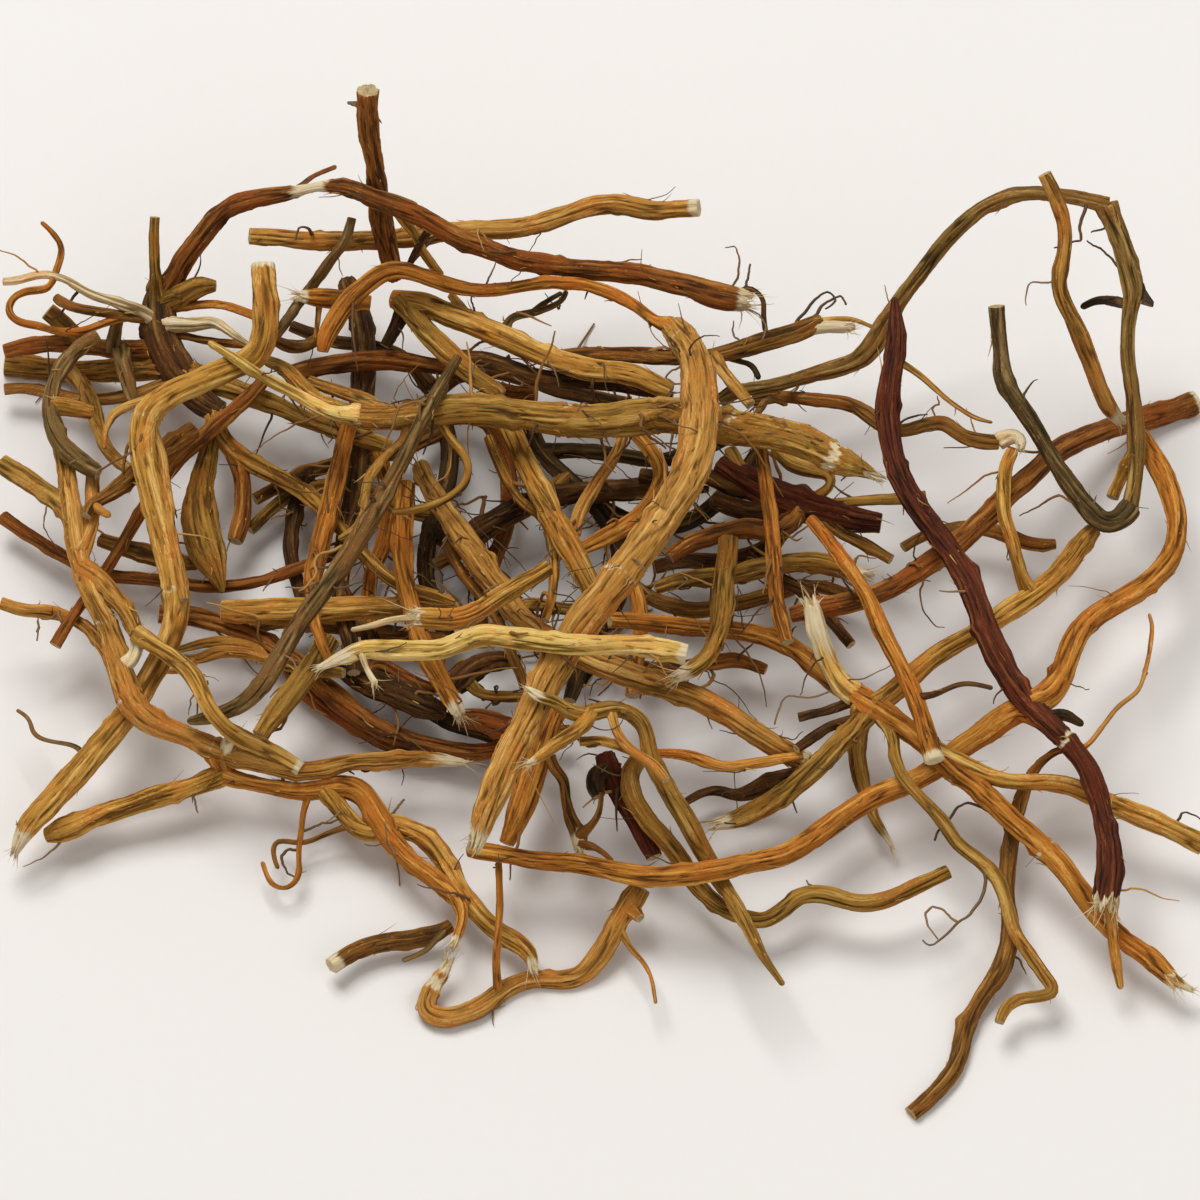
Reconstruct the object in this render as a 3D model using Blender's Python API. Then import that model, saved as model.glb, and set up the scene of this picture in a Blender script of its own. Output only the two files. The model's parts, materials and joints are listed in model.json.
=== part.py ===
"""A tangled bundle of dried sarsaparilla root, as one rigid piece that lies on a table.

Every root is a round tube of changing thickness. Its route is a list of stations chosen by hand in a
drafting view that looks down on the bundle, and the heights above the table are then settled so that each
root lies just over the ones that it crosses. The origin is the middle of the bundle's footprint.
"""

import math
from collections import namedtuple

import bmesh
import bpy
import numpy as np

# Driving dimensions, in millimetres and degrees
BUNDLE_WIDTH = 240.0
VIEW_ELEVATION = 60.0
ROOT_CLEARANCE = 0.8
ROUTE_STEP = 1.5
FUSE_DEPTH = 0.55
JOIN_LENGTH = 7.0
REST_DEPTH = 0.75
LOWEST_LAYER = 3.0
LAYER_HEIGHT = 0.9
CORE_RADIUS = 60.0
RIM_RADIUS = 120.0
RIM_THINNING = 0.5

# Sections of the tubes
SAGITTA = 0.46
LONGEST_STRETCH = 22.0
THICK_RADIUS = 2.95
THIN_RADIUS = 1.05
THICK_BEVEL = 2
NORMAL_BEVEL = 1
THIN_BEVEL = 0
WELD_DISTANCE = 1e-6

MM = 0.001
SIN_VIEW = math.sin(math.radians(VIEW_ELEVATION))
COS_VIEW = math.cos(math.radians(VIEW_ELEVATION))

FINISHES = {
    "straw": (0.60, 0.40, 0.13),
    "gold": (0.43, 0.23, 0.05),
    "tan": (0.40, 0.22, 0.07),
    "orange": (0.43, 0.13, 0.02),
    "redbrown": (0.21, 0.06, 0.02),
    "darkred": (0.09, 0.016, 0.008),
    "olive": (0.24, 0.14, 0.03),
    "grey": (0.20, 0.12, 0.05),
    "brown": (0.16, 0.07, 0.015),
    "dark": (0.05, 0.02, 0.008),
    "black": (0.03, 0.018, 0.009),
    "cream": (0.76, 0.63, 0.39),
}
BARK_ROUGHNESS = 0.8

Root = namedtuple("Root", "name node finish rank parent heights stations")
Strand = namedtuple("Strand", "root across up radius height along")


def root(name, node, finish, rank, parent, heights, *stations):
    """One root. Its stations are (across, up, radius) in the drafting view, in millimetres.

    A higher rank lies nearer the eye. A root with a parent starts on that root's middle line. The heights
    above the table are spread evenly along the root, and None leaves them to the rank.
    """
    return Root(name, node, finish, rank, parent, heights, stations)


ROOTS = (
    # Crown at the upper left, with the roots that spring from it
    root("left_crown", "left_crown", "dark", 12, None, (15, 14, 13, 12, 12),
         (-88, 64, 2.5), (-88.5, 60, 3.2), (-88.5, 55.5, 3.5), (-87.5, 51, 3.6), (-85.5, 47, 3.4),
         (-83, 43.5, 3.0), (-80, 40, 2.6), (-76, 37.5, 2.2)),
    root("crown_stub", "left_crown", "olive", 20, "left_crown", (16, 24, 30),
         (-88.6, 58, 1.6), (-89, 63, 1.4), (-89.3, 68, 1.1), (-89.4, 72.5, 1.0), (-89.2, 76.7, 0.9)),
    root("crown_flare", "left_crown", "olive", 17, "left_crown", (16, 20, 22),
         (-86.5, 59.5, 1.8), (-83, 61.5, 2.2), (-80, 63, 2.2), (-77, 63, 1.0)),
    root("red_arch", "left_crown", "redbrown", 35, "left_crown", (18, 28, 37, 46, 50, 46, 42, 38, 34, 31),
         (-87, 61, 2.2), (-85.5, 64.5, 2.1), (-83.5, 68, 2.1), (-81, 71.3, 2.1), (-78.3, 74.7, 2.1),
         (-76, 77.3, 2.0), (-73, 79.3, 1.8), (-69, 80.3, 1.7), (-65, 81, 1.6), (-62, 81.3, 1.3),
         (-58.5, 82.2, 0.9), (-55, 82.7, 1.0), (-52, 82.4, 1.4), (-49, 81.8, 1.7), (-46, 80.5, 1.9),
         (-42, 79, 1.9), (-38, 77.5, 1.9), (-34.5, 75.8, 2.0), (-32, 74.3, 1.9), (-29, 72.6, 2.0),
         (-25, 71, 2.0), (-21, 69.5, 2.1), (-17, 68, 2.1), (-13, 67.3, 2.0), (-8, 66.6, 1.9), (-3, 66, 1.8),
         (3, 65.6, 1.9), (8, 65, 1.9), (12, 64, 2.0), (17, 62.8, 2.1), (21, 61.6, 2.3), (25, 60.5, 2.4),
         (28.7, 60, 2.3)),
    root("arch_twig", "left_crown", "redbrown", 35, "red_arch", None,
         (-61.5, 81.5, 0.6), (-58, 84.7, 0.5), (-55, 86.2, 0.5), (-53.3, 86.9, 0.5)),
    root("arch_branch", "left_crown", "tan", 28, "red_arch", (48, 42, 38, 32),
         (-42, 78.5, 0.9), (-39, 75.5, 1.0), (-36.8, 73, 0.9), (-35.8, 70.3, 0.9), (-34, 67.8, 0.9),
         (-32, 65, 0.9)),
    root("arch_dark_branch", "left_crown", "dark", 27, "red_arch", (46, 40, 36),
         (-33.5, 74.8, 0.8), (-36, 71, 0.7), (-38, 67.3, 0.6)),
    root("arch_loop", "left_crown", "dark", 35, "red_arch", (31, 33, 33, 31),
         (28, 60.6, 0.5), (28.9, 62.8, 0.5), (31, 62, 0.45), (32.8, 60, 0.5), (32.6, 57, 0.5), (33, 54, 0.5)),
    root("edge_upper", "left_crown", "redbrown", 14, "left_crown", (15, 12, 9, 7),
         (-88, 50.5, 1.5), (-97, 50.5, 1.6), (-103, 51, 1.7), (-109, 51.5, 1.8), (-115, 51, 1.7),
         (-119.5, 49.9, 1.4)),
    root("edge_lower", "left_crown", "grey", 13, "left_crown", (13, 8, 4, 1, 0, 0),
         (-86, 47, 2.2), (-94, 46.5, 2.3), (-101, 46, 2.2), (-108, 46, 2.1), (-114, 46.8, 2.2),
         (-119.5, 47.4, 2.3)),
    root("edge_thin", "left_crown", "brown", 11, "left_crown", (12, 9, 6, 5),
         (-83.5, 44, 1.4), (-94, 41, 1.3), (-100, 40.2, 1.1), (-106, 40.7, 1.1), (-111, 41.8, 1.1),
         (-115.5, 42.6, 1.1), (-119.5, 42.3, 1.1)),
    root("edge_stub", "left_crown", "brown", 16, "edge_upper", (11, 14, 16),
         (-104, 51.3, 1.3), (-106.5, 54, 1.6), (-109, 56.3, 1.8), (-110.8, 57.8, 1.7)),
    root("crown_band", "left_crown", "olive", 10, "left_crown", (13, 11, 10, 10),
         (-84.5, 46, 2.4), (-78, 43.8, 2.3), (-73, 42, 2.2), (-68, 40, 2.0), (-63, 38, 1.8), (-57, 35.5, 1.5),
         (-51.5, 33.5, 1.5), (-46.5, 32, 1.7), (-42, 30.5, 1.4)),
    root("grey_fork_down", "left_crown", "grey", 22, "edge_upper", (14, 18, 18),
         (-96.3, 50.7, 1.5), (-95.5, 47, 1.5), (-94.6, 43.5, 1.4), (-93.3, 40, 1.2)),
    root("grey_fork_up", "left_crown", "grey", 22, "edge_upper", (14, 19, 21),
         (-98.4, 50.6, 1.2), (-97.2, 54, 1.3), (-96.3, 57, 1.1)),
    root("olive_side_root", "left_crown", "olive", 18, "edge_lower", (5, 9, 13, 15),
         (-106.5, 46, 1.4), (-104.5, 44, 1.6), (-102.7, 41, 1.7), (-101.3, 37.5, 1.5), (-100.3, 34, 1.3),
         (-98.5, 30, 1.2), (-95.5, 27, 1.2), (-93, 25.5, 1.1)),
    root("light_fork", "left_crown", "tan", 24, "left_crown", (14, 20, 21, 20),
         (-84, 44.5, 0.9), (-88, 41.5, 0.9), (-92, 39.5, 0.9), (-95, 38.7, 0.8), (-97.8, 36.3, 0.8),
         (-98.9, 33.3, 0.7), (-99, 30.5, 0.5)),
    root("hook_root", "left_crown", "orange", 26, "left_crown", (16, 24, 26, 28, 28, 26, 26, 28),
         (-88.5, 56.6, 1.0), (-94, 56.7, 0.8), (-97.5, 56, 0.8), (-100.5, 55, 0.8), (-103.5, 53.8, 0.8),
         (-107, 53.5, 0.75), (-112, 54.8, 0.75), (-116.5, 55.7, 0.7), (-118.3, 57.3, 0.7),
         (-118.3, 59.3, 0.7), (-116, 61.5, 0.7), (-113, 62, 0.7), (-110.2, 62.5, 0.7), (-109.4, 64.6, 0.7),
         (-108.6, 67.3, 0.7), (-107.7, 70.3, 0.6), (-109.3, 73.3, 0.5), (-111.8, 75.6, 0.35)),
    root("cream_left", "left_crown", "cream", 28, "left_crown", (16, 24, 25, 24, 22),
         (-87.5, 55.8, 1.5), (-91.5, 57.5, 1.4), (-95.5, 59.2, 1.1), (-99, 60.3, 0.9), (-102, 61.3, 0.8),
         (-105, 63, 0.8), (-108.5, 64.8, 0.8), (-111.5, 65.2, 0.8), (-114.5, 64.6, 0.8), (-117, 63.9, 0.8),
         (-119.5, 63.8, 0.8)),
    root("cream_right", "left_crown", "cream", 28, "left_crown", (17, 22, 24, 25),
         (-88.2, 55.5, 1.5), (-83, 55.2, 1.6), (-80, 55.3, 1.3), (-77.3, 55.8, 1.1), (-75, 54.3, 0.8),
         (-72.5, 52.5, 0.8), (-70.3, 51, 0.6)),
    root("crown_strand", "left_crown", "brown", 27, "left_crown", (16, 22, 24, 22),
         (-88.5, 56.2, 0.9), (-93, 56.3, 0.9), (-96.5, 57.1, 0.9), (-100, 57.6, 0.9), (-104, 58.2, 0.9),
         (-107, 59.2, 0.9), (-109, 60.5, 0.8)),
    root("crown_under_strand", "left_crown", "brown", 19, "left_crown", (15, 18, 19, 18),
         (-88, 54, 0.9), (-84, 53.1, 0.9), (-81, 52.3, 0.8), (-77, 51.8, 0.8), (-73, 51.3, 0.7),
         (-70.5, 51, 0.6)),
    root("orange_thin", "left_crown", "orange", 18, "left_crown", (16, 19, 20, 20),
         (-88, 58.5, 0.9), (-83, 58.8, 0.9), (-79, 59.3, 0.9), (-75, 59, 0.9), (-72, 58, 0.9),
         (-69, 56.8, 0.9), (-66, 55.5, 0.8)),
    root("broken_point", "left_crown", "olive", 14, "left_crown", (12, 12, 12, 11, 9, 8),
         (-76.5, 37.5, 1.7), (-77.8, 32, 1.7), (-78.8, 27, 1.9), (-79.8, 22, 2.6), (-80, 17.5, 3.8),
         (-79.3, 13, 3.9), (-78, 9, 3.3), (-76.7, 5.5, 2.2), (-75.4, 1.8, 0.5)),
    root("golden_runner", "left_crown", "gold", 13, "left_crown", (12, 12, 12, 12, 12, 11, 10, 10),
         (-77.5, 38, 1.6), (-75.5, 32.5, 1.7), (-72.5, 29.3, 1.8), (-69, 27, 1.8), (-65, 25, 1.7),
         (-61, 22.8, 1.7), (-57.5, 20.3, 1.7), (-53, 15.5, 1.4), (-48, 10, 1.3), (-44, 6, 1.3),
         (-39, 2.5, 1.3), (-33, 0.8, 1.2), (-29, -0.5, 1.0)),
    root("red_short", "left_crown", "redbrown", 12, "golden_runner", (11, 9, 8),
         (-73, 30, 1.5), (-71.9, 26, 1.6), (-71.4, 21, 1.6), (-71.7, 16, 1.6), (-73, 11.8, 1.5)),

    # Elbow root, with the thin roots that hold on to it
    root("elbow_root", "elbow_root", "tan", 33, None, (40, 37, 34, 32, 30, 27, 24, 20, 16, 13, 10, 8),
         (-67.2, 66.8, 2.3), (-66.9, 60, 2.4), (-66.7, 54, 2.5), (-67.8, 50, 2.6), (-71, 47.3, 2.4),
         (-76, 45.3, 2.4), (-81, 43.2, 2.4), (-86, 40.8, 2.5), (-89.6, 38, 2.7), (-91.2, 34, 2.7),
         (-91, 29, 2.6), (-89.7, 23, 2.6), (-88.2, 17, 2.6), (-86.6, 10.5, 2.5), (-85.2, 5, 2.4),
         (-84.3, -0.5, 2.4), (-84.6, -5, 2.2), (-86.5, -10, 2.2), (-89.5, -15.5, 2.2), (-93, -21, 2.3),
         (-97, -26.3, 2.4), (-101.5, -31.5, 2.5), (-106.5, -37.3, 2.5), (-111, -42, 2.5),
         (-114, -45.5, 2.1), (-116, -49.8, 0.7)),
    root("elbow_seam", "elbow_root", "tan", 33, "elbow_root", None,
         (-89.5, 35.4, 1.2), (-88.2, 30, 1.5), (-87.3, 24, 1.5), (-86, 17, 1.4), (-84.8, 10.5, 1.3),
         (-83.5, 5, 1.2), (-82.6, 0, 0.9)),
    root("brown_link", "elbow_root", "brown", 20, "elbow_root", (34, 26, 23, 24),
         (-66.8, 53, 1.2), (-63, 51, 1.2), (-60, 50.4, 1.1), (-57.5, 51.5, 1.1), (-54.5, 54, 1.1),
         (-51.8, 57, 1.0)),
    root("dark_link", "elbow_root", "grey", 25, "elbow_root", (34, 34, 38, 42),
         (-66.9, 51, 1.0), (-63.5, 54.5, 1.1), (-60.5, 59, 1.1), (-57, 63.7, 1.1), (-53.5, 68.5, 1.0),
         (-50.8, 72, 1.0), (-49.7, 76.3, 0.9)),
    root("elbow_hair_root", "elbow_root", "grey", 20, "elbow_root", None,
         (-102.3, -32.4, 0.6), (-102.5, -30.3, 0.5), (-104, -29, 0.5), (-107, -28.4, 0.5),
         (-111, -27.7, 0.45), (-113, -26.5, 0.45), (-113, -24, 0.4), (-115.8, -22, 0.35)),

    # Long left root, with the knotty place where the lower left roots spring from it
    root("long_left", "left_runner", "orange", 35, None, (26, 25, 24, 22, 22, 20, 18, 15, 13, 12, 12, 13, 14),
         (-110.3, 39.5, 0.9), (-109, 35, 1.6), (-107, 29, 1.7), (-106, 23, 1.8), (-105, 17, 1.9),
         (-104.3, 11, 2.0), (-102.7, 5, 2.0), (-100.3, -0.5, 2.1), (-97.5, -6, 2.2), (-95.8, -12, 2.3),
         (-94, -18, 2.6), (-91.5, -22.5, 2.6), (-88, -24.7, 2.1), (-82, -27, 2.1), (-76.5, -29.8, 2.2),
         (-72, -31, 2.1), (-66, -32.6, 1.9), (-60, -34, 1.8), (-55, -33.6, 1.7), (-50, -32.3, 1.6),
         (-45, -32, 1.6), (-40, -31.8, 1.6), (-35, -31.5, 1.5), (-31, -31.9, 1.3), (-26.5, -32.2, 0.6)),
    root("upper_strand", "left_runner", "tan", 35, "long_left", None,
         (-103.7, 8.5, 1.6), (-101.7, 14, 1.6), (-101, 19, 1.5), (-101.3, 24, 1.3), (-101, 27, 1.1)),
    root("lower_strand", "left_runner", "tan", 35, "long_left", None,
         (-103, 6.5, 1.8), (-99.5, 4, 1.9), (-96.5, 0.5, 1.9), (-94, -2.5, 1.9), (-92.2, -6.5, 1.7)),
    root("knobs", "left_runner", "cream", 35, "long_left", None,
         (-95.3, -14, 1.6), (-92.8, -12, 1.2), (-92, -9.5, 1.1), (-92, -7, 1.4)),
    root("tan_left", "left_runner", "tan", 21, "long_left", (21, 18, 17, 17),
         (-95, -15, 1.4), (-97.5, -11.5, 1.3), (-99.5, -8.5, 1.3), (-102, -5.7, 1.3), (-106, -3.4, 1.2),
         (-110, -2.3, 1.3), (-115, -2, 1.2), (-119.3, -0.7, 1.1)),
    root("olive_left", "left_runner", "olive", 20, "long_left", (22, 18, 16),
         (-104.9, 15, 1.6), (-107, 18.5, 1.8), (-111, 21.5, 1.9), (-115, 24.3, 1.9), (-119.5, 27, 1.9)),
    root("yellow_left", "left_runner", "gold", 37, "lower_strand", (23, 25, 24, 22, 18, 15, 14),
         (-92.6, -6, 1.4), (-89.5, -8.3, 1.6), (-86, -10.5, 1.6), (-82, -13.5, 1.6), (-79.5, -17, 1.6),
         (-77.7, -21, 1.6), (-75.3, -24.3, 1.7), (-71.8, -27, 1.7), (-67.5, -29, 1.7), (-63, -31.3, 1.6),
         (-59.5, -33.5, 1.5)),
    root("cut_stub", "left_runner", "tan", 36, "long_left", (16, 20),
         (-74.8, -30.4, 1.3), (-74, -29, 1.3), (-73.4, -27.6, 1.3)),
    root("connector", "left_runner", "orange", 34, "long_left", (15, 11, 9),
         (-76.4, -29.9, 2.0), (-75, -33.5, 1.8), (-74.8, -36, 1.6)),
    root("chain_root", "left_runner", "orange", 26, "connector", (10, 9, 9, 9, 9, 8, 8, 8, 8, 9),
         (-75, -35.3, 1.4), (-70, -36.3, 1.5), (-65, -37.2, 1.5), (-60, -38, 1.6), (-55, -37.5, 1.9),
         (-50.5, -37, 2.2), (-47, -38.7, 2.2), (-45, -42, 2.2), (-43.5, -45, 2.1), (-41, -48, 2.0),
         (-38, -51.5, 1.9), (-34.5, -54, 1.8), (-31, -57, 1.8), (-28.3, -59.5, 1.6), (-27.2, -62.5, 1.1),
         (-27.8, -65.5, 0.9), (-29, -68.5, 0.8)),
    root("twin_root", "left_runner", "gold", 22, "chain_root", (9, 7, 7, 7, 7, 6, 6, 5, 4, 4),
         (-55, -37.7, 1.5), (-51.5, -41.5, 1.7), (-48.5, -45, 1.9), (-44.5, -46.3, 1.8), (-41.5, -44.3, 1.9),
         (-38, -45.6, 2.0), (-34, -47.7, 2.2), (-31.3, -51, 2.1), (-29, -55, 2.0), (-27, -58.5, 1.9),
         (-24.5, -62, 1.9), (-21, -65.3, 1.9), (-17, -67.8, 1.9), (-14, -70, 1.7), (-13.3, -73, 0.9)),
    root("low_left_root", "left_runner", "brown", 20, "connector", (9, 8, 7, 6, 5),
         (-75, -34.5, 1.6), (-79.5, -36.5, 1.9), (-84, -38, 2.0), (-89, -39.3, 2.1), (-94, -41, 1.9),
         (-99, -42.5, 2.0), (-103.5, -44.5, 2.4), (-107.5, -46, 2.4), (-110, -46.7, 1.4)),
    root("rootlet_down", "left_runner", "orange", 24, "chain_root", (9, 7, 5, 5, 5),
         (-57.5, -37.8, 0.7), (-59, -42.5, 0.6), (-59.3, -46.5, 0.6), (-60, -50, 0.55), (-59.6, -54, 0.55),
         (-60.8, -56.5, 0.5), (-63, -57.5, 0.5), (-65, -56.7, 0.5), (-66.3, -54.5, 0.45),
         (-67, -52.3, 0.45)),
    root("rootlet_across", "left_runner", "brown", 21, "twin_root", (7, 6, 5, 5),
         (-49.2, -44.4, 0.6), (-55, -46.7, 0.5), (-58.5, -48.3, 0.5), (-62, -48, 0.5), (-64.7, -47.7, 0.5),
         (-65, -50, 0.45), (-64, -53, 0.45)),

    # Separate roots on the left
    root("curved_tan_root", "curved_tan_root", "grey", 37, None, None,
         (-100.5, 53, 1.2), (-103.5, 51, 1.6), (-106.5, 48, 1.7), (-108.7, 44.3, 1.6), (-109.7, 40, 1.6),
         (-109.5, 36, 1.7), (-108, 32, 1.9), (-105.5, 29, 1.9), (-102.8, 27, 1.9), (-100, 25.3, 1.4)),
    root("curved_tan_stub", "curved_tan_root", "gold", 36, "curved_tan_root", (29, 26, 24),
         (-109.6, 39, 1.4), (-107.5, 38.7, 1.4), (-104, 38, 1.6), (-101.5, 37.5, 1.4)),
    root("dark_diagonal", "dark_diagonal", "redbrown", 16, None, None,
         (-108.5, -9, 1.2), (-105.5, -4, 1.1), (-102.3, 0.5, 1.1), (-98.5, 6, 1.1), (-95, 12, 1.2),
         (-91.5, 18, 1.3), (-88, 23.5, 1.5), (-84, 28.5, 1.6), (-79, 33, 1.6), (-74, 37.3, 1.6),
         (-70, 41, 1.5), (-67, 44.5, 1.4)),
    root("knob_diagonal", "knob_diagonal", "brown", 36, None, (27, 25, 20, 18),
         (-102.3, 16.8, 0.9), (-101.7, 18.8, 1.1), (-99.5, 20, 1.1), (-96.5, 22, 1.6), (-93.5, 24.7, 1.8),
         (-89.5, 28, 1.9), (-85.5, 31, 2.1), (-81.5, 34, 2.0)),
    root("knob_fork", "knob_diagonal", "tan", 36, "knob_diagonal", None,
         (-101, 19.2, 0.8), (-99.8, 17.8, 0.7), (-98, 17, 0.7)),
    root("dark_low_left", "dark_low_left", "dark", 9, None, None,
         (-100, 12, 1.2), (-95.5, 10.5, 1.6), (-90, 9, 1.9), (-84.5, 7.5, 1.7), (-80.5, 7, 0.9)),
    root("long_thin_root", "long_thin_root", "redbrown", 8, None, None,
         (-119.5, 16.7, 1.3), (-115, 13.5, 1.3), (-110, 10.3, 1.3), (-106, 8, 1.2), (-102, 6, 1.2),
         (-97, 4.7, 1.2), (-91, 4.2, 1.2), (-85, 3.5, 1.2), (-79, 2.7, 1.2), (-73, 2.9, 1.2), (-67, 4, 1.2),
         (-61, 6, 1.1), (-56, 8, 1.1), (-51, 9.3, 1.0), (-47, 10, 0.8)),
    root("fibrous_root", "fibrous_root", "olive", 11, None, None,
         (-83.5, -11.5, 0.7), (-80, -12, 1.0), (-77.5, -10.7, 1.2), (-73.5, -10.3, 1.1),
         (-69.5, -10.8, 1.1), (-66, -12, 1.2), (-60, -13.3, 1.4), (-55, -14, 1.3), (-51, -14.5, 1.0)),
    root("fibrous_upper", "fibrous_root", "olive", 11, "fibrous_root", None,
         (-66, -12, 0.9), (-68, -9.8, 0.9), (-72, -8.6, 1.0), (-76, -8.3, 1.0), (-80, -8.9, 0.8),
         (-84, -10, 0.6)),
    root("fibrous_lower", "fibrous_root", "tan", 11, "fibrous_root", None,
         (-80, -12, 0.7), (-82, -13.7, 0.7), (-84.5, -14.2, 0.6), (-88, -14, 0.5)),
    root("broad_under_stick", "broad_under_stick", "olive", 12, None, None,
         (-54, -8, 2.0), (-57, -13, 2.2), (-60.5, -17.5, 2.2), (-64, -22, 2.1), (-67.5, -27, 1.7)),
    root("gold_level_root", "gold_level_root", "gold", 10, None, None,
         (-75.3, -2.2, 2.2), (-70, -2.3, 2.4), (-64, -2.3, 2.4), (-58, -2.2, 2.3), (-52, -1.8, 2.1),
         (-46, -1.5, 2.0), (-40, -1.3, 1.9), (-34, -1.3, 1.7), (-28, -1.8, 1.2)),
    root("back_runner", "back_runner", "redbrown", 7, None, (8, 7, 6, 5, 5, 5, 6, 6),
         (-88, -2.7, 1.8), (-82, -3.2, 1.8), (-76, -4.8, 1.7), (-70, -6.8, 1.7), (-65, -9.3, 1.6),
         (-60.5, -12.5, 1.8), (-56, -16.5, 2.0), (-51.5, -20.5, 2.1), (-47, -24, 2.0), (-42, -26.5, 1.9),
         (-36, -28.3, 1.8), (-30, -29.7, 1.8), (-24, -30.3, 1.7), (-18, -29, 1.6), (-12, -27, 1.4),
         (-6, -26, 1.2)),
    root("grey_stick", "grey_stick", "grey", 36, None, None,
         (-28.3, 48.4, 1.0), (-30, 45.5, 1.1), (-32.3, 41.5, 1.3), (-34.5, 37.5, 1.4), (-37, 32.5, 1.5),
         (-39.8, 26.5, 1.6), (-43.3, 20.3, 1.8), (-46.7, 14.3, 1.9), (-50.3, 8.3, 1.9), (-54, 3, 1.9),
         (-57.8, -2, 1.9), (-61, -7, 1.9), (-64, -12, 1.9), (-67, -17, 1.9), (-70.5, -20.3, 1.7),
         (-75, -22.3, 1.3), (-78.5, -23.5, 1.2), (-81.3, -24, 0.7)),
    root("left_upright", "left_upright", "orange", 15, None, None,
         (-50, 36, 1.6), (-51.3, 31, 1.8), (-52.2, 26, 1.9), (-53.5, 20, 1.9), (-55, 14, 1.9), (-56.5, 8, 1.8),
         (-57.3, 2, 1.6), (-57, -3, 1.2), (-55.5, -8, 1.0), (-53.5, -12.5, 0.8)),
    root("dark_upright", "dark_upright", "dark", 9, None, None,
         (-50.8, 63.8, 1.9), (-49.8, 61, 2.2), (-48.2, 57, 2.3), (-47.5, 52, 2.4), (-47.3, 46, 2.4),
         (-47.6, 40, 2.3), (-48.3, 33, 2.1), (-48.4, 27, 2.1), (-49.3, 20, 2.0), (-50.5, 14, 1.8),
         (-51.5, 8, 1.7), (-51.8, 2, 1.7), (-50.8, -4, 1.7), (-49.5, -10, 1.6), (-49, -14.5, 1.3)),
    root("red_level_root", "red_level_root", "redbrown", 16, None, None,
         (-62, 45.5, 1.5), (-58, 46.3, 1.8), (-53, 47.2, 1.9), (-48, 47.9, 1.9), (-42, 48, 1.9),
         (-36, 47.2, 1.7), (-30, 46.2, 1.5), (-25, 44.3, 1.5), (-19, 41.8, 1.4), (-12.5, 41.2, 1.3)),
    root("short_level_root", "short_level_root", "orange", 27, None, None,
         (-60.3, 60.8, 1.0), (-57.5, 60.6, 1.7), (-54, 60.4, 1.8), (-50, 60, 1.7), (-46, 59.5, 1.3)),
    root("short_level_twig", "short_level_root", "tan", 24, "short_level_root", None,
         (-56.5, 60, 0.6), (-56.6, 56, 0.5), (-56.9, 52.5, 0.5)),
    root("dark_knot_root", "dark_knot_root", "dark", 7, None, None,
         (-52, -12.5, 2.0), (-47, -16, 2.8), (-42, -18, 2.9), (-37, -20, 2.9), (-33.5, -21.5, 2.9),
         (-31.2, -22.4, 1.6)),
    root("dark_knot_branch", "dark_knot_root", "redbrown", 8, "dark_knot_root", None,
         (-47, -15.8, 1.3), (-44, -12.5, 1.3), (-41, -14, 1.3), (-36, -16.8, 1.3), (-32.5, -18, 1.1)),
    root("fuzzy_knot", "fuzzy_knot", "dark", 6, None, None,
         (-29, -17.5, 2.0), (-27.5, -15.5, 2.9), (-25.5, -14, 2.6), (-22.5, -12.5, 2.0), (-19, -12, 1.8),
         (-16, -12.5, 1.4)),
    root("fuzzy_knot_branch", "fuzzy_knot", "olive", 7, "fuzzy_knot", None,
         (-27, -15.3, 1.2), (-24.5, -18.4, 1.2), (-19, -19.2, 1.2), (-15, -19.3, 1.1)),
    root("speckled_root", "speckled_root", "orange", 16, None, None,
         (-38.8, 23, 1.6), (-39.2, 17, 1.9), (-39.5, 12, 2.0), (-39.3, 7, 1.9), (-38.3, 2, 1.9),
         (-37.3, -2, 1.9), (-36.3, -6, 1.9), (-34.3, -11, 2.0), (-32.2, -15, 1.9), (-30, -19, 1.8),
         (-28, -22.8, 1.3)),
    root("red_stub", "red_stub", "redbrown", 8, None, None,
         (-28, -23.6, 1.5), (-24, -23.9, 2.2), (-20, -25, 2.2), (-16, -26.5, 2.1), (-11, -28, 1.8)),

    # Thick roots that run over the middle
    root("main_root", "main_root", "olive", 32, None, None,
         (-66.5, 47.8, 0.9), (-63, 46.3, 1.3), (-60, 43, 1.6), (-57, 40, 1.7), (-53, 38, 1.9),
         (-48, 36.7, 2.1), (-42, 36.5, 2.4), (-36, 37, 2.8), (-30, 37.8, 3.0), (-24, 37.8, 3.0),
         (-18, 37.3, 3.0), (-12, 36.5, 3.1), (-6, 35.8, 3.2), (0, 35.6, 3.3), (6, 36.3, 3.5), (11, 36.8, 3.5),
         (16, 36.3, 3.4), (21, 35.3, 3.4), (26, 34.4, 3.3), (31, 33.7, 3.3), (36, 32.8, 3.3), (41, 31.3, 3.2),
         (46, 28.8, 3.0), (50.5, 26.6, 2.2), (55, 24.6, 0.8)),
    root("split_strand", "main_root", "straw", 34, "main_root", None,
         (-47, 36.7, 1.6), (-52, 37, 1.5), (-57, 38.8, 1.3), (-61, 41.3, 1.2), (-66, 43.8, 1.1),
         (-70, 46.3, 1.0), (-74, 49, 0.9), (-77.7, 51.2, 0.7)),
    root("upper_band", "main_root", "olive", 26, "main_root", None,
         (-42, 37, 1.3), (-46, 39.5, 1.4), (-50, 41, 1.4), (-54, 42.3, 1.2), (-58, 43.7, 1.0)),
    root("wide_loop", "main_root", "olive", 33, "main_root", (34, 31, 29, 28, 28),
         (-32.4, 37.4, 0.8), (-29.5, 31.5, 0.9), (-27, 29, 0.8), (-26, 26, 0.9), (-27, 23, 0.9),
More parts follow.
